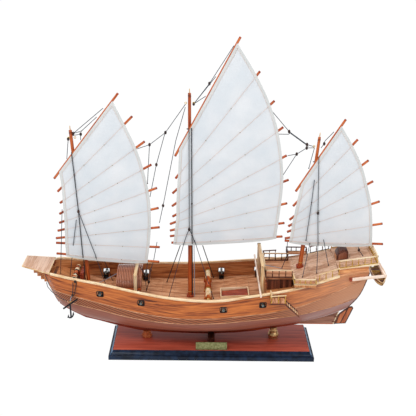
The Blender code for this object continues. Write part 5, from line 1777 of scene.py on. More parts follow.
@dataclass
class Bow:
    """The overhanging bow board, the steps and knees under it, and the windlass behind it."""

    board_x: tuple[float, float] = (-0.3870, -0.3300)
    board_half: tuple[float, float] = (0.0300, 0.0470)
    board_thick: float = 0.0025
    lean: float = 0.164

    def build(self) -> None:
        """Builds the bow's pieces."""
        self.board()
        self.steps()
        self.windlass()

    def under(self, x: float) -> float:
        """Height of the board's underside."""
        return 0.1755 + self.lean * (-0.3300 - x)

    def half(self, x: float) -> float:
        """Half width of the board."""
        share = (x - self.board_x[0]) / (self.board_x[1] - self.board_x[0])
        return self.board_half[0] + share * (self.board_half[1] - self.board_half[0])

    def board(self) -> None:
        """Lays the board with a pale edge and rows of nails."""
        x0, x1 = self.board_x
        form = Form().use(BOARD_WOOD)
        low = [(x, side * (self.half(x) - 0.001), self.under(x))
               for x, side in ((x0 + 0.001, -1), (x1 - 0.001, -1), (x1 - 0.001, 1), (x0 + 0.001, 1))]
        form.prism(low, (0, 0, self.board_thick), Grain.WIDTH, 0.0001)
        form.use(PALE_WOOD)
        for side in SIDES:
            low = [(x0, side * (self.half(x0) - 0.0012), self.under(x0) - 0.0001),
                   (x1, side * (self.half(x1) - 0.0012), self.under(x1) - 0.0001),
                   (x1, side * self.half(x1), self.under(x1) - 0.0001),
                   (x0, side * self.half(x0), self.under(x0) - 0.0001)]
            form.prism(low, (0, 0, self.board_thick + 0.0002), Grain.LENGTH, 0.0003)
        for x in (x0, x1 - 0.0014):
            half = self.half(x)
            low = [(x, -half, self.under(x) - 0.0001), (x + 0.0014, -half, self.under(x + 0.0014) - 0.0001),
                   (x + 0.0014, half, self.under(x + 0.0014) - 0.0001), (x, half, self.under(x) - 0.0001)]
            form.prism(low, (0, 0, self.board_thick + 0.0002), Grain.WIDTH, 0.0003)
        form.piece("bow_board", "deck_planks", stands_for=("bow_platform",))
        places = []
        for x in spread(x0 + 0.0100, x1 - 0.0080, 5):
            half = self.half(x) - 0.006
            for y in spread(-half, half, 12):
                places.append((x, y, self.under(x) + self.board_thick))
        nails("bow_board_nails", places, 0.00045)

    def steps(self) -> None:
        """Steps the planking out under the board, with triangular knees inside it."""
        treads = ((-0.3440, 0.1500), (-0.3510, 0.1550), (-0.3580, 0.1620), (-0.3650, 0.1688))
        form = Form().use(BULWARK_WOOD)
        profile = [(-0.3375, 0.1500)]
        for index, (x, z) in enumerate(treads):
            rise = treads[index + 1][1] if index < 3 else self.under(x)
            profile += [(x, z), (x, rise)]
        profile.append((-0.3375, self.under(-0.3375)))
        form.slab(profile, (-0.0220, 0.0220), Grain.WIDTH)
        form.use(RED_WOOD)
        knee = [(-0.3460, 0.1768), (-0.3300, 0.1754), (-0.3300, 0.1660)]
        for y in (-0.0380, -0.0260, 0.0260, 0.0380):
            form.slab(knee, (y - 0.0008, y + 0.0008), ease=0.0002)
        form.piece("bow_steps_and_knees", "hull_wood", stands_for=("bow_steps",))

    def windlass(self) -> None:
        """Turns the bow windlass: pale drums between stained cheeks, with red boards behind them."""
        x, axis = -0.2820, 0.1600
        form = Form()
        cheek = [(x - 0.0072, main_deck_z(x - 0.0070) - SEAT), (x + 0.0072, main_deck_z(x + 0.0070) - SEAT),
                 (x + 0.0034, 0.1655), (x + 0.0018, 0.1668), (x - 0.0018, 0.1668), (x - 0.0034, 0.1655)]
        for side in SIDES:
            turn_drums(form, x, axis, side, (
                (0.0000, 0.0090, 0.0044, SPAR_WOOD), (0.0090, 0.0125, 0.0051, BLACK),
                (0.0125, 0.0240, 0.0050, PALE_WOOD), (0.0275, 0.0310, 0.0050, PALE_WOOD),
                (0.0310, 0.0360, 0.0053, BLACK), (0.0360, 0.0415, 0.0050, PALE_WOOD),
                (0.0415, 0.0430, 0.0032, BRASS),
            ))
            y = side * 0.0260
            form.use(SPAR_WOOD).slab(cheek, (y - 0.0016, y + 0.0016), Grain.UPRIGHT, 0.0005)
        form.use(RED_WOOD)
        back = x + 0.0165
        for k in range(6):
            y = -0.0200 + 0.0400 * k / 6
            top = 0.1682 if k in (0, 5) else 0.1662
            form.block((back - 0.0050, y, main_deck_z(back) - 0.0006), (back, y + 0.0064, top), Grain.UPRIGHT,
                       0.0005)
        form.block((back - 0.0056, -0.0212, 0.1640), (back + 0.0005, 0.0212, 0.1658), Grain.WIDTH)
        form.use(DARK_WOOD)
        fore = x - 0.0070
        sill = [(fore, main_deck_z(fore) - 0.0004), (back, main_deck_z(back) - 0.0004),
                (back, main_deck_z(back) + 0.0035), (fore, main_deck_z(fore) + 0.0040)]
        form.slab(sill, (-0.0262, 0.0262), Grain.WIDTH, 0.0004)
        form.piece("bow_windlass_turned", "spar_wood", stands_for=("bow_windlass",))


@dataclass
class Waist:
    """What stands on the waist deck: windlass, matted hut, gallows, crossbeam, guns and mast chocks."""

    hut_x: tuple[float, float] = (-0.1950, -0.1440)
    hut_half: float = 0.0460
    hut_crest: float = 0.1775
    hut_eave: float = 0.1460
    ribs: int = 15

    def build(self) -> None:
        """Builds the waist's pieces."""
        self.windlass()
        self.hut()
        self.gallows()
        self.cannons()
        self.chocks()

    def windlass(self) -> None:
        """Turns the windlass abaft the main mast, with cream drums between orange cheeks."""
        x, axis = -0.0080, 0.1380
        form = Form()
        cheek = [(x - 0.0088, main_deck_z(x - 0.0085) - SEAT), (x + 0.0088, main_deck_z(x + 0.0085) - SEAT),
                 (x + 0.0052, 0.1360), (x + 0.0034, 0.1465), (x + 0.0018, 0.1478), (x - 0.0018, 0.1478),
                 (x - 0.0034, 0.1465), (x - 0.0052, 0.1360)]
        for side in SIDES:
            turn_drums(form, x, axis, side, (
                (0.0000, 0.0235, 0.0030, SPAR_WOOD), (0.0250, 0.0290, 0.0060, BALUSTER_BRASS),
                (0.0290, 0.0400, 0.0054, PALE_WOOD), (0.0400, 0.0420, 0.0058, CAP_WOOD),
                (0.0420, 0.0560, 0.0054, PALE_WOOD), (0.0560, 0.0580, 0.0058, CAP_WOOD),
                (0.0580, 0.0715, 0.0054, PALE_WOOD), (0.0715, 0.0755, 0.0060, BALUSTER_BRASS),
                (0.0755, 0.0820, 0.0034, BRASS),
            ))
            form.use(SPAR_WOOD)
            for y in (side * 0.0235, side * 0.0770):
                form.slab(cheek, (y - 0.0016, y + 0.0016), Grain.UPRIGHT, 0.0005)
        form.use(BRASS)
        form.bar((x - 0.0085, -0.0180, 0.1330), (x + 0.0085, -0.0180, 0.1330), 0.0008)
        form.bar((x, -0.0180, 0.1295), (x, -0.0180, 0.1465), 0.0008)
        form.piece("waist_windlass_turned", "spar_wood", stands_for=("mid_windlass",))

    def arch(self, x: float, lift: float = 0.0, steps: int = 30) -> list[tuple[float, float, float]]:
        """Points of the roof's arch at x, lifted off its middle line."""
        points = []
        for k in range(steps + 1):
            angle = math.pi * k / steps
            points.append((x, (self.hut_half + lift) * math.cos(angle),
                           self.hut_eave + (self.hut_crest - self.hut_eave + lift) * math.sin(angle)))
        return points

    def hut(self) -> None:
        """Bends the cane ribs over the hut and stands it on posts round a boarded box."""
        x0, x1 = self.hut_x
        pitch = (x1 - x0 - 0.0034) / (self.ribs - 1)
        radius = pitch * 0.47
        line = self.arch(x0 + 0.0017, -radius)
        seed = bpy.data.meshes.new("roof_arch")
        seed.from_pydata(line, [(k, k + 1) for k in range(len(line) - 1)], [])
        grain = seed.attributes.new("grain", "FLOAT_VECTOR", "POINT")
        for k, item in enumerate(grain.data):
            item.vector = (0.0025 * k, 0.0, 0.0)
        mesh = grown("hut_roof_cane", seed, ribs_tree(), {"Ribs": self.ribs, "Pitch": pitch, "Radius": radius,
                                                          "Finish": CANE.material()})
        dress("hut_roof_cane", mesh, (CANE,), stands_for=("hut_roof",))
        form = Form().use(DARK_WOOD)
        outer, inner = ([self.arch(x, -radius * depth) for x in spread(x0 + 0.0012, x1 - 0.0012, 3)]
                        for depth in (1.1, 1.9))
        form.rings([a + b[::-1] for a, b in zip(outer, inner)])
        form.use(SPAR_WOOD)
        for side in SIDES:
            form.block((x0, side * (self.hut_half - 0.0026), self.hut_eave - 0.0026),
                       (x1, side * (self.hut_half + 0.0002), self.hut_eave + 0.0010), ease=0.0004)
        for x in (x0 + 0.0004, x1 - 0.0016):
            a0, a1, b1, b0 = (self.arch(x + aft, -radius * depth)
                              for aft, depth in ((0, 0.4), (0.0012, 0.4), (0.0012, 2.2), (0, 2.2)))
            form.rings(list(zip(a0, a1, b1, b0)))
        form.piece("hut_roof_frame", "mat_roof")
        self.hut_box()

    def hut_box(self) -> None:
        """Boards the box under the roof and stands the roof's pale posts round it."""
        x0, x1 = self.hut_x[0] + 0.0045, self.hut_x[1] - 0.0045
        form = Form().use(RED_WOOD)
        ends = spread(x0, x1, 8)
        for side in SIDES:
            for a, b in zip(ends, ends[1:]):
                board = [(a, main_deck_z(a) - 0.0004), (b - 0.0002, main_deck_z(b) - 0.0004),
                         (b - 0.0002, 0.1620),
                         (a, 0.1620)]
                form.slab(board, (side * 0.0340, side * 0.0322), Grain.UPRIGHT)
        for x in (x0, x1 - 0.0018):
            for k in range(8):
                y = -0.0320 + 0.0640 * k / 8
                form.block((x, y, main_deck_z(x) - 0.0004), (x + 0.0018, y + 0.0078, 0.1660), Grain.UPRIGHT)
        form.use(PALE_WOOD)
        for side in SIDES:
            for x in (x0 + 0.0012, x1 - 0.0012):
                form.block((x - 0.0014, side * 0.0398, main_deck_z(x) - SEAT),
                           (x + 0.0014, side * 0.0426, 0.1520),
                           Grain.UPRIGHT)
                form.block((x - 0.0010, side * 0.0330, 0.1470), (x + 0.0010, side * 0.0400, 0.1490),
                           Grain.WIDTH)
        form.use(BLACK).ball((x0 + 0.0060, -0.0432, 0.1440), 0.0014)
        form.piece("hut_box_boarded", "spar_wood", stands_for=("hut_base",))

    def gallows(self) -> None:
        """Stands the two pale gallows and lays the crossbeam on the rails."""
        for node, x, y, top, overhang, half_x in (("gallows_fore", -0.1555, 0.0490, 0.1815, 0.0100, 0.0032),
                                                  ("gallows_aft", 0.1000, 0.0600, 0.2075, 0.0060, 0.0034)):
            form = Form().use(PALE_WOOD)
            form.block((x - half_x, -y - overhang, top - 0.0037), (x + half_x, y + overhang, top),
                       Grain.WIDTH,
                       0.0006)
            for side in SIDES:
                low = main_deck_z(x) - SEAT
                y0 = side * y
                form.block((x - half_x, y0 - 0.0021, low), (x + half_x, y0 + 0.0021, top - 0.0002),
                           Grain.UPRIGHT,
                           0.0005)
                brace = [(x - 0.0008, y0 - side * 0.0018, top - 0.0120),
                         (x - 0.0008, y0 - side * 0.0110, top - 0.0030),
                         (x - 0.0008, y0 - side * 0.0080, top - 0.0030),
                         (x - 0.0008, y0 - side * 0.0018, top - 0.0092)]
                form.prism(brace, (0.0016, 0, 0), Grain.WIDTH, 0.0002)
            form.use(BLACK)
            form.block((x - half_x - 0.0002, y + overhang - 0.0030, top - 0.0040),
                       (x + half_x + 0.0002, y + overhang + 0.0003, top + 0.0003), Grain.WIDTH, 0.0003)
            form.piece(node + "_planed", "pale_wood", stands_for=(node,))
        x = 0.0945
        z = station_at(x).rail_top + 0.0018 + 0.0004
        beam = Form().use(BEAM_WOOD)
        beam.bar((x, -0.1180, z), (x, 0.1180, z), 0.0018)
        beam.piece("crossbeam_round", "spar_wood", stands_for=("crossbeam",))

    def cannons(self) -> None:
        """Turns each gun and seats it in a stepped carriage on trucks."""
        profile = ((0.0, 0.0001), (0.01, 0.0009), (0.035, 0.0015), (0.06, 0.0009), (0.08, 0.0010),
                   (0.10, 0.0028), (0.13, 0.0030), (0.15, 0.0027), (0.42, 0.0026), (0.44, 0.0029),
                   (0.47, 0.0025), (0.86, 0.0021),
                   (0.90, 0.0026), (0.97, 0.0027), (1.0, 0.0024), (1.0, 0.0013), (0.86, 0.0012))
        for side in SIDES:
            for number, (x, drop) in enumerate(GUN_PORTS, 1):
                station = station_at(x)
                z = station.rail_top - drop
                beam = station.half_beam
                form = Form().use(STEEL)
                form.turned((x, side * (beam - 0.0230), z), (x, side * (beam + 0.0030), z), profile, 20)
                trunnion = side * (beam - 0.0128)
                form.bar((x - 0.0046, trunnion, z), (x + 0.0046, trunnion, z), 0.0010)
                # The carriages are black: their own colour, and also painted shade in the near ports
                form.use(BLACK)
                deck = main_deck_z(x) - SEAT
                for cheek in SIDES:
                    cx = x + cheek * 0.0038
                    steps = [(beam - 0.0200, deck + 0.0018), (beam - 0.0070, deck + 0.0018),
                             (beam - 0.0070, z + 0.0002),
                             (beam - 0.0130, z + 0.0002), (beam - 0.0130, z - 0.0016),
                             (beam - 0.0165, z - 0.0016),
                             (beam - 0.0165, z - 0.0034), (beam - 0.0200, z - 0.0034)]
                    low = [(cx - 0.0009, side * y, pz) for y, pz in steps]
                    form.prism(low, (0.0018, 0, 0), Grain.WIDTH, 0.0002)
                form.block((x - 0.0040, side * (beam - 0.0195), deck + 0.0022),
                           (x + 0.0040, side * (beam - 0.0075), deck + 0.0040), Grain.WIDTH)
                form.use(DARK_WOOD)
                for y in (beam - 0.0178, beam - 0.0092):
                    form.bar((x - 0.0052, side * y, deck + 0.0019), (x + 0.0052, side * y, deck + 0.0019),
                             0.0019)
                label = SIDE_NAMES[side]
                form.piece(f"gun_{label}_{number}", "black_iron", stands_for=(f"cannon_{label}_{number}",))

    def chocks(self) -> None:
        """Wedges blocks round the foot of each mast."""
        form = Form().use(RED_WOOD)
        for x, z in MAST_FEET.values():
            for dx, dy, lx, ly in ((-0.0072, -0.0060, 0.0028, 0.0120), (0.0044, -0.0060, 0.0028, 0.0120),
                                   (-0.0044, -0.0088, 0.0088, 0.0028), (-0.0044, 0.0060, 0.0088, 0.0028)):
                form.block((x + dx, dy, z - 0.0012), (x + dx + lx, dy + ly, z + 0.0046), Grain.WIDTH, 0.0005)
        form.piece("mast_chocks", "dark_red_wood")


@dataclass
class Poop:
    """The boarded house under the fore platform, the stern house, companion, balconies and gangways."""

    balcony_x: tuple[float, float] = (0.1615, 0.2040)
    balcony_y: tuple[float, float, float] = (0.0620, 0.0800, 0.0938)
    gangway_x: tuple[float, float] = (0.1130, 0.1430)
    gangway_y: float = 0.1292
    gangway_z: tuple[float, float] = (0.1500, 0.1522)

    def build(self) -> None:
        """Builds the poop's pieces."""
        self.fore_house()
        self.stern_house()
        self.companion()
        for side in SIDES:
            self.balcony(side)
            self.gangway(side)

    def fore_house(self) -> None:
        """Boards the house under the fore platform, with doors to the waist, and lays its roof."""
        x0, x1, half, top = 0.1065, 0.1640, 0.0505, FORE_PLATFORM_Z
        low = top - 0.0030
        form = Form().use(DARK_WOOD)
        floor = 0.1230
        form.block((x0 + 0.0075, 0.0052 - half, floor), (x1 - 0.0025, half - 0.0052, low + 0.0004))
        stains = (DARK_WOOD, STERN_WOOD)
        edges = spread(-half + 0.0046, half - 0.0046, 15)
        for k, (near, far) in enumerate(zip(edges, edges[1:])):
            form.use(stains[k % 2])
            form.block((x0 + 0.0058, near, floor), (x0 + 0.0080, far - GAP, low), Grain.UPRIGHT)
        for side in SIDES:
            for k in range(8):
                x = x0 + 0.0070 + (x1 - x0 - 0.0100) * k / 8
                form.use(stains[k % 2])
                form.block((x, side * (half - 0.0060), 0.1465), (x + 0.0056, side * (half - 0.0043), low),
                           Grain.UPRIGHT)
        for y in (-0.0300, 0.0, 0.0300):
            form.use(RED_WOOD)
            form.block((x0 + 0.0050, y - 0.0075, floor + 0.0020), (x0 + 0.0062, y + 0.0075, floor + 0.0330),
                       Grain.UPRIGHT)
            form.use(BRASS).ball((x0 + 0.0048, y + 0.0050, floor + 0.0160), 0.0011)
        form.use(DECK_WOOD)
        form.block((x0, -half, low), (x1, half, top), ease=0.0004)
        form.use(CAP_WOOD)
        form.block((x0 - 0.0002, -half - 0.0002, low - 0.0004), (x0 + 0.0016, half + 0.0002, top + 0.0002),
                   Grain.WIDTH)
        form.piece("fore_house_boarded", "dark_red_wood", stands_for=("deckhouse",))

    def stern_house(self) -> None:
        """Closes the stern between the bulwarks and lays the aft platform over it."""
        rows = []
        half_top = 0.0608
        for x in spread(0.2525, 0.3118, 16):
            station = station_at(x)
            inner = station.half_beam - BULWARK - 0.0012
            top = aft_platform_z(x) - 0.0015
            low = station.sheer - 0.0090
            side = [(inner, low), (inner, station.rail_top - 0.0004), (half_top, top)]
            rows.append([(x, y, z) for y, z in side] + [(x, -y, z) for y, z in side[::-1]])
        form = Form().use(BULWARK_WOOD)
        form.rings(rows)
        form.use(POOP_WOOD)
        x0, x1, half = 0.2520, 0.3310, 0.0620
        z0, z1 = aft_platform_z(x0), aft_platform_z(x1)
        form.slab([(x0, z0 - 0.0030), (x1, z1 - 0.0030), (x1, z1), (x0, z0)], (-half, half), ease=0.0004)
        form.use(CAP_WOOD)
        edge = [(x0, z0 - 0.0033), (x1, z1 - 0.0033), (x1, z1 + 0.0002), (x0, z0 + 0.0002)]
        for side in SIDES:
            form.slab(edge, (side * (half + 0.0002), side * (half - 0.0014)))
        form.piece("stern_house_boarded", "hull_wood", stands_for=("poop_house",))
        places = [(x, y, aft_platform_z(x)) for x in spread(0.2620, 0.3240, 4)
                  for y in spread(-0.0560, 0.0560, 30)]
        nails("aft_platform_nails", places)

    def companion(self) -> None:
        """Makes the hooded companion at the front of the aft platform."""
        low, high, half = 0.2540, 0.2775, 0.0150
        profile = [(low, aft_platform_z(low)), (high, aft_platform_z(high)), (high, 0.2190), (0.2755, 0.2212),
                   (0.2725, 0.2224), (0.2670, 0.2224), (0.2620, 0.2208), (0.2580, 0.2180), (low, 0.2112)]
        form = Form().use(DARK_WOOD)
        form.slab(profile, (-half, half), Grain.WIDTH, 0.0004)
        form.use(STERN_WOOD)
        panel = [(low + 0.0025, aft_platform_z(low) + 0.0015), (high - 0.0025, aft_platform_z(high) + 0.0015),
                 (high - 0.0025, 0.2170), (0.2700, 0.2196), (low + 0.0040, 0.2130)]
        for side in SIDES:
            form.slab(panel, (side * half, side * (half + 0.0006)), Grain.UPRIGHT, 0.0002)
        form.use(BULWARK_WOOD)
        for k in range(5):
            y = -half + 0.0012 + (2 * half - 0.0024) * k / 5
            form.block((low - 0.0005, y, aft_platform_z(low) + 0.0010), (low + 0.0003, y + 0.0052, 0.2100),
                       Grain.UPRIGHT,
                       0.0002)
        form.use(DARK_WOOD)
        form.block((0.2640, -half - 0.0007, 0.2218), (0.2758, half + 0.0007, 0.2230), Grain.WIDTH)
        form.piece("companion_hooded", "dark_red_wood", stands_for=("companion",))

    def balcony(self, side: int) -> None:
        """Hangs the balcony outside the poop, with a floor, a face board and a rail on three sides."""
        x0, x1 = self.balcony_x
        fore_end, aft_end, far = self.balcony_y
        label = SIDE_NAMES[side]
        form = Form().use(DECK_WOOD)
        form.block((x0 - 0.0006, side * (aft_end - 0.0010), 0.1787),
                   (x1 + 0.0006, side * (far + 0.0006), 0.1800))
        form.use(CAP_WOOD)
        y0, y1 = sorted((side * (far - 0.0010), side * (far + 0.0010)))
        form.block((x0 - 0.0010, y0, 0.1772), (x1 + 0.0010, y1, 0.1804))
        form.use(BULWARK_WOOD)
        edges = spread(x0 - 0.0006, x1 + 0.0006, 7)
        for a, b in zip(edges, edges[1:]):
            form.block((a, y0, 0.1725), (b - GAP, y1 - 0.0003, 0.1775), Grain.UPRIGHT)
        path = [(x0, side * fore_end, 0.1790), (x0, side * far, 0.1790), (x1, side * far, 0.1790),
                (x1, side * aft_end, 0.1790)]
        Balustrade().build(f"balcony_rail_{label}", path, 0.0112, 0.0105, "pale_wood", (f"balcony_{label}",),
                           form=form, **RAIL_FINISHES[side])

    def gangway(self, side: int) -> None:
        """Hangs the side gangway with its rail, and a ladder going down aft."""
        x0, x1 = self.gangway_x
        z0, z1 = self.gangway_z
        label = SIDE_NAMES[side]
        hull0, hull1 = (station_at(x).half_beam + 0.0002 for x in (x0, x1))
        form = Form().use(DARK_WOOD)
        low = [(x0, side * self.gangway_y, z0), (x1, side * self.gangway_y, z0), (x1, side * hull1, z0),
               (x0, side * hull0, z0)]
        form.prism(low, (0, 0, z1 - z0), Grain.LENGTH, 0.0003)
        form.use(DECK_WOOD)
        edges = spread(x0 + 0.0008, x1 - 0.0008, 7)
        for a, b in zip(edges, edges[1:]):
            form.block((a, side * (self.gangway_y - 0.0008), z1 - 0.0003),
                       (b - 0.0004, side * (hull0 + 0.0006), z1 + 0.0002), Grain.WIDTH, 0.0001)
        form.use(RAIL_FINISHES[side]["bar"])
        y = side * (self.gangway_y - 0.0015)
        near = side * (hull0 + 0.0026)
        form.prism([(x0 + 0.0002, near, z1 + 0.0143), (x0 + 0.0026, near, z1 + 0.0143),
                    (x0 + 0.0026, near, z1 + 0.0167),
                    (x0 + 0.0002, near, z1 + 0.0167)], (0, y - near, -0.0006), Grain.WIDTH, 0.0004)
        form.prism([(x0 - 0.0006, y - 0.0012, z1 + 0.0136), (x0 - 0.0006, y + 0.0012, z1 + 0.0136),
                    (x0 - 0.0006, y + 0.0012, z1 + 0.0158), (x0 - 0.0006, y - 0.0012, z1 + 0.0158)],
                   (x1 - x0 + 0.0006, 0, 0.0024), Grain.LENGTH, 0.0004)
        form.use(RAIL_FINISHES[side]["baluster"])
        for x, reach in ((x0 + 0.0012, 0.0138), ((x0 + x1) / 2, 0.0150), (x1 - 0.0020, 0.0160)):
            form.turned((x, y, z1 - 0.0002), (x, y, z1 + reach), Balustrade().turning, 10)
        form.bar((x0 + 0.0012, near + side * 0.0008, z1 - 0.0002),
                 (x0 + 0.0012, near + side * 0.0008, z1 + 0.0150), 0.0009)
        form.use(RED_WOOD)
        form.block((x0 - 0.0002, min(y, y + side * 0.0008), z1 - 0.0010),
                   (x1, max(y, y + side * 0.0008), z1 + 0.0006))
        self.ladder(form, side, x1, z1 - 0.0004)
        form.piece(f"gangway_{label}_planked", "pale_wood", stands_for=(f"gangway_{label}",))

    def ladder(self, form: Form, side: int, x: float, top: float) -> None:
        """Adds the ladder: two dark strings and pale treads."""
        form.use(DARK_WOOD)
        for reach in (0.1060, self.gangway_y):
            y = side * reach
            low = [(x - 0.001, y, top - 0.0034), (x - 0.001, y, top), (x + 0.0270, y, top - 0.0260),
                   (x + 0.0270, y, top - 0.0292)]
            form.prism(low, (0, -side * 0.0030, 0), Grain.LENGTH, 0.0002)
        form.use(PALE_WOOD)
        for step in range(1, 7):
            sx = x + 0.0040 * step
            z = top - 0.0020 - 0.0260 * (sx - x + 0.001) / 0.0280
            form.block((sx - 0.0006, side * 0.1052, z - 0.0004),
                       (sx + 0.0006, side * (self.gangway_y - 0.0020), z + 0.0004), Grain.WIDTH, 0.0001)


@dataclass
class Masts:
    """The three tapered masts, with a pin and black bands at the head and a brass ring near the foot."""

    # Top x and z, and radius at the foot and at the top
    fore: tuple[float, ...] = (-0.2840, 0.4630, 0.0037, 0.0032)
    main: tuple[float, ...] = (-0.0495, 0.5395, 0.0044, 0.0031)
    mizzen: tuple[float, ...] = (0.2085, 0.4550, 0.0046, 0.0028)

    def build(self) -> None:
        """Turns the three masts."""
        for name, (foot_x, deck) in MAST_FEET.items():
            top_x, top_z, foot, top = getattr(self, name)
            low = Vector((foot_x, 0, deck - 0.0006))
            high = Vector((top_x, 0, top_z))
            along = (high - low).normalized()
            form = Form().use(SPAR_WOOD)
            outline = [(share, foot + (top - foot) * share) for share in spread(0.0, 1.0, 9)]
            form.turned(low, high, [*outline, (1.0003, top * 0.7)], 28)
            form.use(PALE_WOOD)
            form.turned(high - along * 0.0004, high + along * 0.0090,
                        ((0, 0.0011), (0.8, 0.0010), (1, 0.0005)), 12)
            form.use(BLACK)
            for drop in (0.0040, 0.0065):
                spot = high - along * drop
                form.bar(spot, spot - along * 0.0009, top + 0.00035, sides=28)
            form.use(BRASS)
            form.ring(low + along * 0.0120, along, foot + 0.0001, 0.0006)
            form.ring(low + along * 0.0120 + Vector((0, -foot - 0.0006, 0)), (1, 0, 0), 0.0011, 0.0003, 14)
            form.piece(f"{name}_mast_turned", "spar_wood", stands_for=(f"{name}_mast",))


# Both ends of a spar, x and z, and the x of the cloth's luff and leech on it, in millimetres
Spar = tuple[float, float, float, float, float, float]


@dataclass
class Sail:
    """A fanned junk sail on its yard, battens and boom, with a hem, seams and knots."""

    name: str
    spars: tuple[Spar, ...]
    hem: float = 0.0056
    cloth_y: float = -0.0118
    spar_y: float = -0.0087
    radius: float = 0.0024
    billow: float = 0.0007
    thickness: float = 0.0004
    ties: tuple[float, float] = (0.36, 0.68)
    steps: int = 6
    columns: int = 44

    def build(self) -> None:
        """Builds the spars, the cloth, its hem and its seams."""
        self.left = curve_through([(k, *self.corner(spar, 4)) for k, spar in enumerate(self.spars)])
        self.right = curve_through([(k, *self.corner(spar, 5)) for k, spar in enumerate(self.spars)])
        self.last = len(self.spars) - 1
        self.woodwork()
        cloth, area, flat = self.cloth()
        hem = self.border()
        seams = self.seams()

    def corner(self, spar: Spar, which: int) -> tuple[float, float]:
        """Place of the cloth's edge on a spar, in metres."""
        x0, z0, x1, z1 = spar[:4]
        x = spar[which]
        return x / 1000, (z0 + (z1 - z0) * (x - x0) / (x1 - x0)) / 1000

    def spot(self, row: float, share: float) -> tuple[float, float]:
        """A point of the cloth: row counts spars from the yard, share runs from luff to leech."""
        drop = max(row - self.last, 0.0)
        row = min(row, self.last)
        x0, z0 = self.left(row)
        x1, z1 = self.right(row)
        sag = 0.0045 * drop * (1 - (2 * share - 1) ** 4)
        return x0 + (x1 - x0) * share, z0 + (z1 - z0) * share - 0.0030 * drop - sag

    def depth(self, row: float, share: float) -> float:
        """Y of the cloth: a slight belly between the battens, with soft creases, flat at the edges."""
        calm = min(1.0, 8 * share, 8 * (1 - share))
        between = math.sin(math.pi * (row % 1.0)) ** 2
        x, z = self.spot(row, share)
        crease = noise.noise(Vector((x * 24, z * 55, len(self.name)))) * 0.00045
        fullness = 0.7 + 0.3 * math.sin(9 * share + row)
        return self.cloth_y - calm * between * self.billow * fullness - calm * crease

    def cloth(self) -> tuple[bpy.types.Object, float, tuple[float, float]]:
        """Lays the cloth as a grid and gives it its thickness.

        Returns:
            The cloth, its flat area and the size that it was cut from.
        """
        rows = [k / self.steps for k in range(self.last * self.steps + 1)]
        rows += [self.last + 0.5, self.last + 1.0]
        shares = spread(0.0, 1.0, self.columns + 1)
        places = []
        for row in rows:
            inset = 0.0022 / 0.030 if row == 0 else 0.0
            for share in shares:
                x, z = self.spot(row + inset * max(0.0, 1 - 1.5 * share), share)
                places.append((x, self.depth(row, share), z))
        width = len(shares)
        faces = []
        for i in range(len(rows) - 1):
            for j in range(width - 1):
                a = i * width + j
                faces.append((a, a + 1, a + width + 1, a + width))
        mesh = bpy.data.meshes.new(f"{self.name}_cloth")
        mesh.from_pydata(places, [], faces)
        grain = mesh.attributes.new("grain", "FLOAT_VECTOR", "POINT")
        for item, place in zip(grain.data, places):
            item.vector = (place[0], place[2], place[1])
        if mesh.polygons[0].normal.y > 0:
            mesh.flip_normals()
        obj = dress(f"{self.name}_cloth", mesh, (SAIL,), f"{self.name}_rig",
                    (f"{self.name}_sail",))
        thick = obj.modifiers.new("Thickness", "SOLIDIFY")
        thick.thickness = self.thickness
        thick.offset = -1.0
        area = sum(polygon.area for polygon in mesh.polygons)
        xs = [place[0] for place in places]
        zs = [place[2] for place in places]
        return obj, area, (max(xs) - min(xs), max(zs) - min(zs))

    def outline(self, inset: float) -> list[Vector]:
        """The cloth's edge moved inwards, anticlockwise seen from the port side."""
        fine = 4
        edge = [Vector(self.spot(k / fine, 1.0)) for k in range(self.last * fine)]
        edge += [Vector(self.spot(self.last + 1.0, share)) for share in spread(1.0, 0.0, 22)]
        edge += [Vector(self.spot(self.last - k / fine, 0.0)) for k in range(self.last * fine)]
        edge += [Vector(self.spot(0.0, share)) for share in spread(0.0, 1.0, 16)[:-1]]
        moved = []
        count = len(edge)
        for k, point in enumerate(edge):
            before = (point - edge[k - 1]).normalized()
            after = (edge[(k + 1) % count] - point).normalized()
            normal = Vector((before.y + after.y, -before.x - after.x)).normalized()
            stretch = 1 / max(0.45, normal.dot(Vector((before.y, -before.x))))
            moved.append(point + normal * inset * min(stretch, 1.6))
        return moved

    def border(self) -> bpy.types.Object:
        """Sews the hem round the cloth's edge as a closed band."""
        rows = []
        outer = self.outline(-0.0001)
        inner = self.outline(self.hem)
        front = self.cloth_y - 0.0006
        back = self.cloth_y + 0.0006
        for a, b in zip(outer, inner):
            rows.append([(a.x, back, a.y), (a.x, front, a.y), (b.x, front, b.y), (b.x, back - 0.0004, b.y)])
        form = Form().use(HEM)
        form.rings(rows, seam=True, turn=Matrix(((1, 0, 0, 0), (0, 0, 1, 0), (0, 1, 0, 0), (0, 0, 0, 1))))
        return form.piece(f"{self.name}_hem", "sail_cloth", f"{self.name}_rig")

    def seams(self) -> bpy.types.Object:
        """Stitches a line inside the hem and along each batten, with knots where the ties go through."""
        form = Form().use(THREAD)
        line = self.outline(self.hem)
        front = self.cloth_y - 0.00085
        path = [(point.x, front, point.y) for point in line]
        form.cord([*path, path[0]], 0.00022, 5)
        for row in range(1, self.last + 1):
            points = []
            for share in spread(0.0, 1.0, self.columns + 1):
                x, z = self.spot(row, share)
                points.append((x, min(self.depth(row, share) - 0.0002, front + 0.0002), z))
            form.cord(points, 0.00025, 5)
        form.use(OLD_BRASS)
        for row in range(1, self.last + 1):
            for share in self.ties:
                x, z = self.spot(row, share)
                form.ball((x, front, z), 0.0008, (1, 0.5, 1))
        return form.piece(f"{self.name}_seams", "sail_cloth", f"{self.name}_rig")

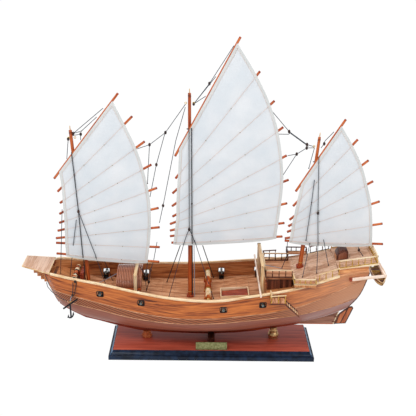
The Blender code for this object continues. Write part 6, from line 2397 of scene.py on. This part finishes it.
    def woodwork(self) -> None:
        """Rounds the yard, the battens and the boom behind the cloth, with darker tips."""
        bars = [(Vector((x0 / 1000, self.spar_y, z0 / 1000)), Vector((x1 / 1000, self.spar_y, z1 / 1000)))
                for x0, z0, x1, z1, _, _ in self.spars]
        form = Form().use(SPAR_WOOD)
        for start, end in bars:
            form.bar(start, end, self.radius, sides=14)
        form.use(RED_WOOD)
        for start, end in bars:
            along = (end - start).normalized()
            for tip, way in ((start, 1), (end, -1)):
                form.bar(tip - along * way * 0.0002, tip + along * way * 0.0030, self.radius + 0.00005,
                         sides=14)
        nodes = tuple(f"{self.name}_{part}" for part in ("yard", "battens", "boom"))
        form.piece(f"{self.name}_spars", "spar_wood", f"{self.name}_rig", nodes)


SAILS = (
    Sail("fore", (
        (-318, 366, -188, 539, -307, -199), (-312, 339, -161, 494, -303, -176),
        (-308, 315, -137, 444, -302, -154), (-310, 292, -124, 397, -301, -140),
        (-311, 273, -113, 349, -300, -130), (-315, 256, -110, 307, -300, -126),
        (-319, 240, -108, 266, -300, -126), (-319, 230, -108, 223, -300, -129),
        (-319, 207, -109, 191, -299, -133),
    )),
    Sail("main", (
        (-77, 415, 47, 650, -69, 41), (-76, 369, 86, 585, -71, 80), (-82, 338, 116, 528, -73, 108),
        (-83, 311, 135, 476, -74, 125), (-82, 289, 144, 419, -74, 135), (-87, 273, 150, 369, -75, 139),
        (-87, 259, 149, 320, -77, 136), (-87, 247, 145, 278, -78, 132), (-84, 233, 142, 249, -80, 129),
    )),
    Sail("mizzen", (
        (165, 345, 257, 493, 175, 249), (161, 314, 283, 453, 168, 273), (155, 285, 307, 411, 163, 294),
        (153, 271, 319, 368, 160, 307), (151, 259, 335, 326, 159, 318), (147, 245, 344, 279, 157, 323),
        (147, 240, 348, 235, 156, 325),
    )),
)


@dataclass
class SternBoat:
    """The dinghy hung on two beams behind the stern."""

    x: float = 0.3420
    wall: float = 0.0016
    falls: tuple[float, float] = (-0.0350, 0.0350)
    # Y, half width, height of the keel and of the rail
    sections: tuple[tuple[float, float, float, float], ...] = (
        (-0.0600, 0.0015, 0.1640, 0.1705), (-0.0520, 0.0060, 0.1608, 0.1718),
        (-0.0400, 0.0105, 0.1582, 0.1735), (-0.0200, 0.0135, 0.1570, 0.1750),
        (0.0150, 0.0135, 0.1570, 0.1750), (0.0380, 0.0105, 0.1588, 0.1742), (0.0520, 0.0070, 0.1610, 0.1735),
    )

    def build(self) -> None:
        """Builds the boat, then the beams and lines that carry it."""
        self.boat()
        self.davits()

    def section(self, y: float, inset: float) -> list[tuple[float, float, float]]:
        """Points of the hull's half-round section at y."""
        half, keel, rail = self.shape(y)
        points = []
        for k in range(13):
            angle = math.pi * k / 12
            across = max(half - inset, 0.0004) * math.cos(angle)
            depth = max(rail - keel - inset, 0.001) * math.sin(angle) ** 0.75
            points.append((self.x + across, y, rail - depth))
        return points

    def boat(self) -> None:
        """Lofts the walnut boat with its golden strake, thwarts and pale rubbing strakes."""
        self.shape = curve_through(self.sections)
        stations = spread(self.sections[0][0], self.sections[-1][0], 34)
        form = Form().use(STERN_WOOD)
        outer = [self.section(y, 0.0) for y in stations]
        middle = [self.section(min(max(y, -0.0588), 0.0508), 0.0008) for y in stations]
        form.rings([a + b[::-1] for a, b in zip(outer, middle)], turn=GRAIN_TURN[Grain.WIDTH])
        form.use(BOAT_WOOD)
        for face in form.shape.faces:
            _, y, z = face.calc_center_median()
            _, keel, rail = self.shape(y)
            if 0.30 < (z - keel) / (rail - keel) < 0.62:
                face.material_index = 1
        inner = [self.section(min(max(y, -0.0580), 0.0500), self.wall) for y in stations]
        form.rings([a + b[::-1] for a, b in zip(middle, inner)], turn=GRAIN_TURN[Grain.WIDTH])
        form.use(DARK_WOOD)
        for y in (-0.0480, -0.0200, 0.0150, 0.0430):
            half = self.shape(y)[0] - 0.0010
            form.block((self.x - half, y - 0.0042, 0.1690), (self.x + half, y + 0.0042, 0.1704))
        form.use(BALUSTER_BRASS)
        for y in (-0.0350, 0.0, 0.0350):
            half = self.shape(y)[0] - 0.0010
            form.block((self.x - half, y - 0.0028, 0.1716), (self.x + half, y + 0.0028, 0.1730))
        form.use(PALE_WOOD)
        for side in SIDES:
            rows = []
            for y in stations:
                half, _, rail = self.shape(y)
                a = self.x + side * (half - 0.0012)
                b = self.x + side * (half + 0.0004)
                rows.append([(a, y, rail - 0.0002), (b, y, rail - 0.0010), (b, y, rail + 0.0005),
                             (a, y, rail + 0.0005)])
            form.rings(rows, turn=GRAIN_TURN[Grain.WIDTH])
        form.piece("dinghy_clinker", "dark_red_wood", stands_for=("dinghy",))

    def davits(self) -> None:
        """Runs two pale beams out over the stern with a crosspiece and the boat's lines."""
        form = Form()
        for side in SIDES:
            y = side * 0.0786
            for start, end, finish, grow in ((0.2720, 0.2775, RED_WOOD, 0.0005),
                                             (0.2770, 0.3445, BEAM_WOOD, 0.0)):
                z0, z1 = (0.1810 + 0.0090 * (x - 0.2720) / 0.0720 for x in (start, end))
                beam = [(start, z0 - grow), (end, z1 - grow), (end, z1 + 0.0055 + grow),
                        (start, z0 + 0.0055 + grow)]
                half = 0.0022 + grow
                form.use(finish).slab(beam, (y - half, y + half), ease=0.0005)
        form.use(BEAM_WOOD)
        form.block((0.3395, -0.0810, 0.1899), (0.3451, 0.0810, 0.1951), Grain.WIDTH, 0.0005)
        form.use(OLD_BRASS)
        for y in self.falls:
            form.ring((self.x, y, 0.1885), (1, 0, 0), 0.0014, 0.0004, 16)
            form.ring((self.x, y, 0.1742), (1, 0, 0), 0.0012, 0.0004, 16)
        form.use(ROPES[Line.DARK])
        for y in self.falls:
            form.cord(spaced([(self.x, y, 0.1896), (self.x, y, 0.1724)]), 0.0006, 8)
        form.use(BLOCK_WOOD)
        for y in self.falls:
            form.ball((self.x, y, 0.1862), 0.0021, (0.8, 1, 1.1))
            form.ball((self.x, y, 0.1770), 0.0021, (0.8, 1, 1.1))
        form.piece("davits_and_falls", "pale_wood", stands_for=("stern_davits",))


def spaced(path: Sequence[Sequence[float]], step: float = 0.004) -> list[tuple[float, float, float]]:
    """Puts evenly spaced points on a path of straight stretches."""
    points = [tuple(path[0])]
    for start, end in zip(path, path[1:]):
        low, high = Vector(start), Vector(end)
        count = max(1, math.ceil((high - low).length / step))
        points.extend(tuple(low.lerp(high, k / count)) for k in range(1, count + 1))
    return points


@dataclass(frozen=True)
class Run:
    """A taut line in millimetres, with wooden blocks at some of its points and small knots at others."""

    kind: Line
    points: tuple[tuple[float, float, float], ...]
    blocks: tuple[int, ...] = ()
    knots: tuple[int, ...] = ()


@dataclass(frozen=True)
class Shared:
    """Lines between the ship and a sail's rig, laid as one fixed piece that rides on neither body."""

    name: str
    rig: str
    start: tuple[float, float, float]
    end: tuple[float, float, float]
    runs: tuple[Run, ...]


@dataclass
class Rigging:
    """Halyards, sheets, bridles and parrels: waxed cotton with ebony blocks, brass eyes at the mastheads."""

    # Half the thickness of each kind of line
    radius = {Line.DARK: 0.00095, Line.PALE: 0.00075, Line.FINE: 0.00070}
    sides: int = 7
    step: float = 0.008
    block_size: float = 0.0033
    knot: float = 1.8
    parrel_gap: float = 0.0013

    def build(self) -> None:
        """Runs the fixed lines, those that ride on a sail's rig, and those between the two."""
        self.string("standing_lines", STANDING, "ship")
        for name, runs in RIDING.items():
            self.string(f"{name}_sail_lines", runs, f"{name}_rig")
        for shared in SHARED:
            line = self.string(shared.name, shared.runs, "")
            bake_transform(line)
        self.eyes()
        for sail in SAILS:
            self.parrels(sail)

    def string(self, name: str, runs: Sequence[Run], body: str) -> bpy.types.Object:
        """Lays several lines as one piece.

        Args:
            name: the piece's name.
            runs: its lines.
            body: the body that it rides on, or nothing for a piece between two bodies.

        Returns:
            The piece.
        """
        form = Form()
        for run in runs:
            path = [tuple(value / 1000 for value in point) for point in run.points]
            form.use(ROPES[run.kind]).cord(spaced(path, self.step), self.radius[run.kind], self.sides)
            form.use(BLOCK_WOOD)
            for k in run.blocks:
                form.ball(path[k], self.block_size, (0.8, 0.7, 1.15))
            for k in run.knots:
                form.ball(path[k], self.radius[run.kind] * self.knot)
        return form.piece(name, "sail_cloth", body)

    def eyes(self) -> None:
        """Sets a brass eye on each side of the mastheads."""
        form = Form()
        for x, z in ((-0.2876, 0.4477), (-0.2750, 0.4486), (-0.0567, 0.5201), (-0.0411, 0.5202),
                     (0.1984, 0.4363)):
            form.use(BRASS).ring((x, -0.0010, z), (0, 1, 0), 0.0019, 0.0006, 18)
        form.piece("masthead_eyes", "brass")

    def parrels(self, sail: Sail) -> None:
        """Loops a rope round the mast at each spar of a sail, where the two cross."""
        top_x, top_z, foot, _ = getattr(Masts(), sail.name)
        foot_x, _ = MAST_FEET[sail.name]
        low = Vector((foot_x, 0, main_deck_z(foot_x)))
        high = Vector((top_x, 0, top_z))
        form = Form().use(ROPES[Line.DARK])
        for x0, z0, x1, z1, _, _ in sail.spars:
            slope = (z1 - z0) / (x1 - x0)
            spot = low
            for _ in range(2):
                height = (z0 + (spot.x * 1000 - x0) * slope) / 1000
                spot = low.lerp(high, (height - low.z) / (high.z - low.z))
            if spot.z < top_z - 0.004:
                form.ring(spot, high - low, foot + self.parrel_gap, 0.0006, 20)
        form.piece(f"{sail.name}_parrels", "sail_cloth", f"{sail.name}_rig")


STANDING = (
    Run(Line.FINE, ((-278.4, 0, 456.3), (-280, 0, 452))),
    Run(Line.PALE, ((-242.4, 6.8, 132.8), (-198.5, 0, 159.8), (-168.5, 0, 176.1)), knots=(0,)),
    Run(Line.FINE, ((-335.7, -45, 157.7), (-333.8, -44, 147.5), (-326.3, -43, 137), (-318.1, -45, 130.5),
                    (-307.5, -48, 124.4), (-294, -55, 120.5))),
    Run(Line.FINE, ((-337.4, -47, 175.2), (-330.2, -44, 151.2))),
    Run(Line.DARK, ((-39.9, -3.0, 113.6), (-41.5, -3.0, 228.0))),
    Run(Line.PALE, ((-35.5, -5.0, 113.6), (-38.0, -5.0, 228.0))),
    Run(Line.DARK, ((-262.5, -3.0, 135.6), (-264.5, -4.0, 195.0))),
    Run(Line.PALE, ((103.0, -60, 206.5), (144.4, 4.1, 174.5)), knots=(1,)),
    Run(Line.DARK, ((-145.8, -49, 194.8), (-138.5, -40, 178.3)), knots=(1,)),
)

RIDING = {
    "fore": (
        Run(Line.DARK,
            ((-281, -14.5, 421.5), (-277, -14.5, 375.4), (-270.9, -14.5, 299.4), (-264.5, -14.5, 200.1)),
            blocks=(2,), knots=(1,)),
        Run(Line.FINE, ((-270.9, -14.5, 299.4), (-245.3, -14.5, 224), (-239.2, -14.5, 206.5))),
        Run(Line.FINE, ((-275.7, -14.5, 281.6), (-282.6, -14.5, 235.1))),
        Run(Line.FINE, ((-303.5, -14.5, 303.5), (-309.5, -14.5, 200.1))),
    ),
    "main": (
        Run(Line.DARK,
            ((-44.9, -14.5, 473.4), (-43.0, -14.5, 318.3), (-42.3, -14.5, 251.4), (-41.6, -14.5, 232.7)),
            knots=(1, 2)),
        Run(Line.FINE, ((-50, -14.5, 473.3), (-47.9, -14.5, 264.2)), blocks=(1,)),
        Run(Line.FINE, ((-47.9, -14.5, 264.2), (-50.9, -14.5, 257.3), (-56.5, -14.5, 241.1))),
        Run(Line.FINE, ((-47.9, -14.5, 264.2), (-41.1, -14.5, 250.5), (-37.2, -14.5, 237))),
    ),
    "mizzen": (
        Run(Line.FINE, ((207.1, -14.5, 419.3), (211, -14.5, 301.4)), blocks=(1,)),
        Run(Line.FINE, ((211, -14.5, 301.4), (214.5, -14.5, 234.5))),
        Run(Line.FINE, ((200.6, -14.5, 370.8), (197.2, -14.5, 324.1), (189.7, -14.5, 243.3)), knots=(1, 2)),
    ),
}

SHARED = (
    Shared("fore_halyard_tails", "fore", (-238.1, 60, 132), (-239.2, -14.5, 206.5), (
        Run(Line.FINE, ((-238.1, 76.3, 132), (-239.2, -14.5, 206.5))),
        Run(Line.FINE, ((-220, 5, 128.6), (-239.2, -14.5, 206.5)), knots=(0,)),
    )),
    Shared("fore_downhaul", "fore", (-296.4, 12.7, 147.8), (-282.6, -14.5, 235.1), (
        Run(Line.FINE, ((-296.4, 12.7, 147.8), (-282.6, -14.5, 235.1)), knots=(0,)),
    )),
    Shared("fore_tack_line", "fore", (-314.7, 4.7, 156.4), (-309.5, -14.5, 200.1), (
        Run(Line.FINE, ((-314.7, 4.7, 156.4), (-309.5, -14.5, 200.1)), knots=(0,)),
    )),
    Shared("fore_tye", "fore", (-288.6, 0, 445.1), (-291.4, -9, 406.6), (
        Run(Line.FINE, ((-288.6, 0, 445.1), (-291.4, -9, 406.6)), blocks=(0,)),
    )),
    Shared("fore_peak_lines", "fore", (-278.4, 0, 456.3), (-229.8, -12, 492.5), (
        Run(Line.FINE, ((-278.4, 0, 456.3), (-217.2, -12, 510)), blocks=(0,)),
        Run(Line.FINE, ((-278.4, 0, 456.3), (-261.6, -3, 462.1), (-229.8, -12, 492.5)), knots=(1,)),
        Run(Line.FINE, ((-280.0, 0, 452.0), (-263.2, -3, 455.9), (-262.7, -12, 446.2)), blocks=(1,)),
    )),
    Shared("fore_leeward_line", "fore", (-210.8, 43.2, 127.4), (-222.6, -8, 189.4), (
        Run(Line.FINE, ((-210.8, 43.2, 127.4), (-222.6, 0, 189.4)), knots=(0,)),
    )),
    Shared("fore_upper_bridle", "fore", (-56.8, 0, 518.1), (-152.2, -9, 428.6), (
        Run(Line.FINE, ((-56.8, 0, 518.1), (-96.2, -6, 461.7), (-127.5, -9, 437.6), (-152.2, -9, 428.6)),
            blocks=(1, 2)),
        Run(Line.FINE, ((-127.5, -9, 437.6), (-132, -9, 358.2)), knots=(1,)),
        Run(Line.FINE, ((-97, -6, 460.9), (-114.2, -9, 397), (-127.2, -9, 329.9)), blocks=(1,)),
    )),
    Shared("fore_lower_bridle", "fore", (-57.5, 0, 511.4), (-108.5, -9, 275.0), (
        Run(Line.FINE, ((-57.5, 0, 511.4), (-76.0, 4, 443.5), (-101.5, 4, 308.0), (-108.5, -9, 275.0)),
            blocks=(2,)),
    )),
    Shared("fore_sheets", "fore", (-137, 11.5, 118.3), (-126.9, -9, 172.8), (
        Run(Line.FINE, ((-137, 11.5, 118.3), (-130.8, -9, 146.2), (-126.9, -9, 172.8), (-120.8, -9, 192.7),
                        (-113.5, -9, 234.2)), blocks=(1, 2), knots=(0,)),
        Run(Line.FINE, ((-137, 11.5, 118.3), (-137.4, -9, 151), (-133, -9, 191)), knots=(2,)),
    )),
    Shared("main_halyard_tails", "main", (-30, -12, 113.6), (-56.5, -14.5, 241.1), (
        Run(Line.FINE, ((-89.2, -10.1, 114), (-56.5, -14.5, 241.1)), knots=(0,)),
        Run(Line.FINE, ((3.5, -14.6, 113.1), (-37.2, -14.5, 241.2)), knots=(0,)),
    )),
    Shared("main_runners", "main", (-45, 60, 114), (-45, 0, 225.8), (
        Run(Line.DARK, ((-96.2, 70.4, 114.3), (-66.2, -6, 225.8)), knots=(0,)),
        Run(Line.DARK, ((4.8, 102.8, 113.1), (-20.2, -6, 226.4)), knots=(0,)),
    )),
    Shared("main_peak_lines", "main", (-41.1, 0, 518.3), (-18.1, -9, 535.4), (
        Run(Line.FINE, ((-41.1, 0, 518.3), (-11, -3, 559.1), (34.7, -9, 633.3)), blocks=(0, 1)),
        Run(Line.FINE, ((-41.1, 0, 518.3), (1.3, -9, 574))),
        Run(Line.FINE, ((-41.1, 0, 518.3), (-18.1, -9, 535.4))),
    )),
    Shared("main_upper_bridle", "main", (199.2, 0, 434.9), (125.7, -9, 462), (
        Run(Line.FINE, ((199.2, 0, 434.9), (183.9, -3, 440.3), (147.1, -6, 466.8), (110.5, -9, 509.1)),
            blocks=(1, 2)),
        Run(Line.FINE, ((186.8, -3, 436.5), (149.4, -6, 463.4), (145.9, -6, 461.2), (125.7, -9, 462))),
    )),
    Shared("main_lower_bridle", "main", (199.0, 0, 433.0), (146, -9, 418.5), (
        Run(Line.FINE, ((199.0, 0, 433.0), (183.6, -3, 433.2), (164, -6, 421.3), (137.3, -9, 376.8)),
            blocks=(1, 2)),
        Run(Line.FINE, ((164, -6, 421.3), (146, -9, 418.5))),
    )),
    Shared("mizzen_halyard_tail", "mizzen", (209.6, -52.9, 187.4), (214.5, -14.5, 234.5), (
        Run(Line.FINE, ((209.6, -52.9, 187.4), (214.5, -14.5, 234.5)), knots=(0,)),
    )),
    Shared("mizzen_fore_tail", "mizzen", (181.1, -55.6, 179.5), (197.9, -14.5, 236.0), (
        Run(Line.FINE, ((181.1, -55.6, 179.5), (197.9, -14.5, 236.0)), knots=(0, 1)),
    )),
    Shared("mizzen_after_tail", "mizzen", (236.1, -29.4, 194.8), (225.2, -14.5, 245.2), (
        Run(Line.FINE, ((236.1, -29.4, 194.8), (225.2, -14.5, 245.2)), knots=(0,)),
    )),
    Shared("mizzen_sheet", "mizzen", (308.7, -10.4, 209.1), (295.5, -10, 236.0), (
        Run(Line.FINE, ((308.7, -10.4, 209.1), (299.0, -13.0, 223.0), (295.5, -10.0, 236.0)), blocks=(1,),
            knots=(0,)),
    )),
    Shared("mizzen_peak_line", "mizzen", (212.4, 0, 432.8), (235, -9, 468), (
        Run(Line.FINE, ((212.4, 0, 432.8), (217.9, -3, 442.2), (219, -3, 447.8), (235, -9, 468)),
            blocks=(1,)),
    )),
    Shared("mizzen_tye", "mizzen", (199.3, 0, 432.7), (189, -9, 393.3), (
        Run(Line.FINE, ((199.3, 0, 432.7), (189, -9, 393.3)), knots=(1,)),
    )),
    Shared("mizzen_tack_line", "mizzen", (144.4, 4.1, 174.5), (152.8, -9, 240.0), (
        Run(Line.FINE, ((144.4, 4.1, 174.5), (151.7, -12, 205.7), (152.8, -9, 240.0)), knots=(0, 1)),
    )),
)


@dataclass
class Anchor:
    """The iron anchor with its two flukes and black stock, hung from a tackle over the port bow."""

    y: float = -0.0600

    def build(self) -> None:
        """Forges the anchor on its line."""
        y = self.y
        form = Form().use(IRON)
        form.bar((-0.2873, y, 0.1190), (-0.2860, y, 0.0880), 0.0016, 0.0018)
        arms = ((-0.2916, 0.0905), (-0.2908, 0.0880), (-0.2888, 0.0868), (-0.2860, 0.0872), (-0.2834, 0.0895),
                (-0.2818, 0.0930), (-0.2812, 0.0965))
        form.cord([(x, y, z) for x, z in arms], 0.0014, 10)
        for x, z, lean in ((-0.2918, 0.0915, -1), (-0.2811, 0.0972, 1)):
            form.prism([(x - 0.0004 * lean, y - 0.0026, z - 0.0042),
                        (x + 0.0014 * lean, y - 0.0026, z - 0.0038),
                        (x + 0.0004 * lean, y - 0.0012, z + 0.0014),
                        (x - 0.0010 * lean, y - 0.0012, z + 0.0010)],
                       (0, 0.0038, 0), Grain.UPRIGHT, 0.0003)
        form.use(BLACK)
        form.bar((-0.3013, y, 0.1066), (-0.2722, y, 0.1282), 0.0018)
        form.use(BRASS).ring((-0.2864, y, 0.1212), (0, 1, 0.4), 0.0020, 0.0006, 18)
        form.use(ROPES[Line.PALE])
        form.cord(spaced([(-0.2873, y, 0.1225), (-0.2849, y, 0.1313), (-0.2817, y, 0.1366)]), 0.0007, 8)
        form.use(ROPES[Line.DARK])
        for x in (-0.2805, -0.2735):
            form.cord(spaced([(x + 0.0005, y, 0.1640), ((x - 0.2817) / 2, y, 0.1366)]), 0.0008, 8)
        form.use(BLOCK_WOOD)
        form.ball((-0.2815, y, 0.1366), 0.0030, (0.9, 0.8, 1.1))
        form.ball((-0.2755, y, 0.1660), 0.0032, (0.9, 0.8, 1.0))
        form.piece("anchor_forged", "black_iron", stands_for=("anchor",))


def bounds_text() -> dict:
    """The bounds of the visual as plain lists."""
    return json.loads(json.dumps(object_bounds(), default=list))


def main() -> None:
    """Builds the dressed ship, piece by piece."""
    logging.basicConfig(level=logging.INFO, format="%(message)s")
    before = bounds_text()
    Studio().build()
    Plinth().build()
    Hull().build()
    Decks().build()
    Rails().build()
    Bow().build()
    Waist().build()
    Poop().build()
    Masts().build()
    for sail in SAILS:
        sail.build()
    SternBoat().build()
    Anchor().build()
    Rigging().build()
    {"frame": before, "dressed": bounds_text()}


if __name__ == "__main__":
    main()
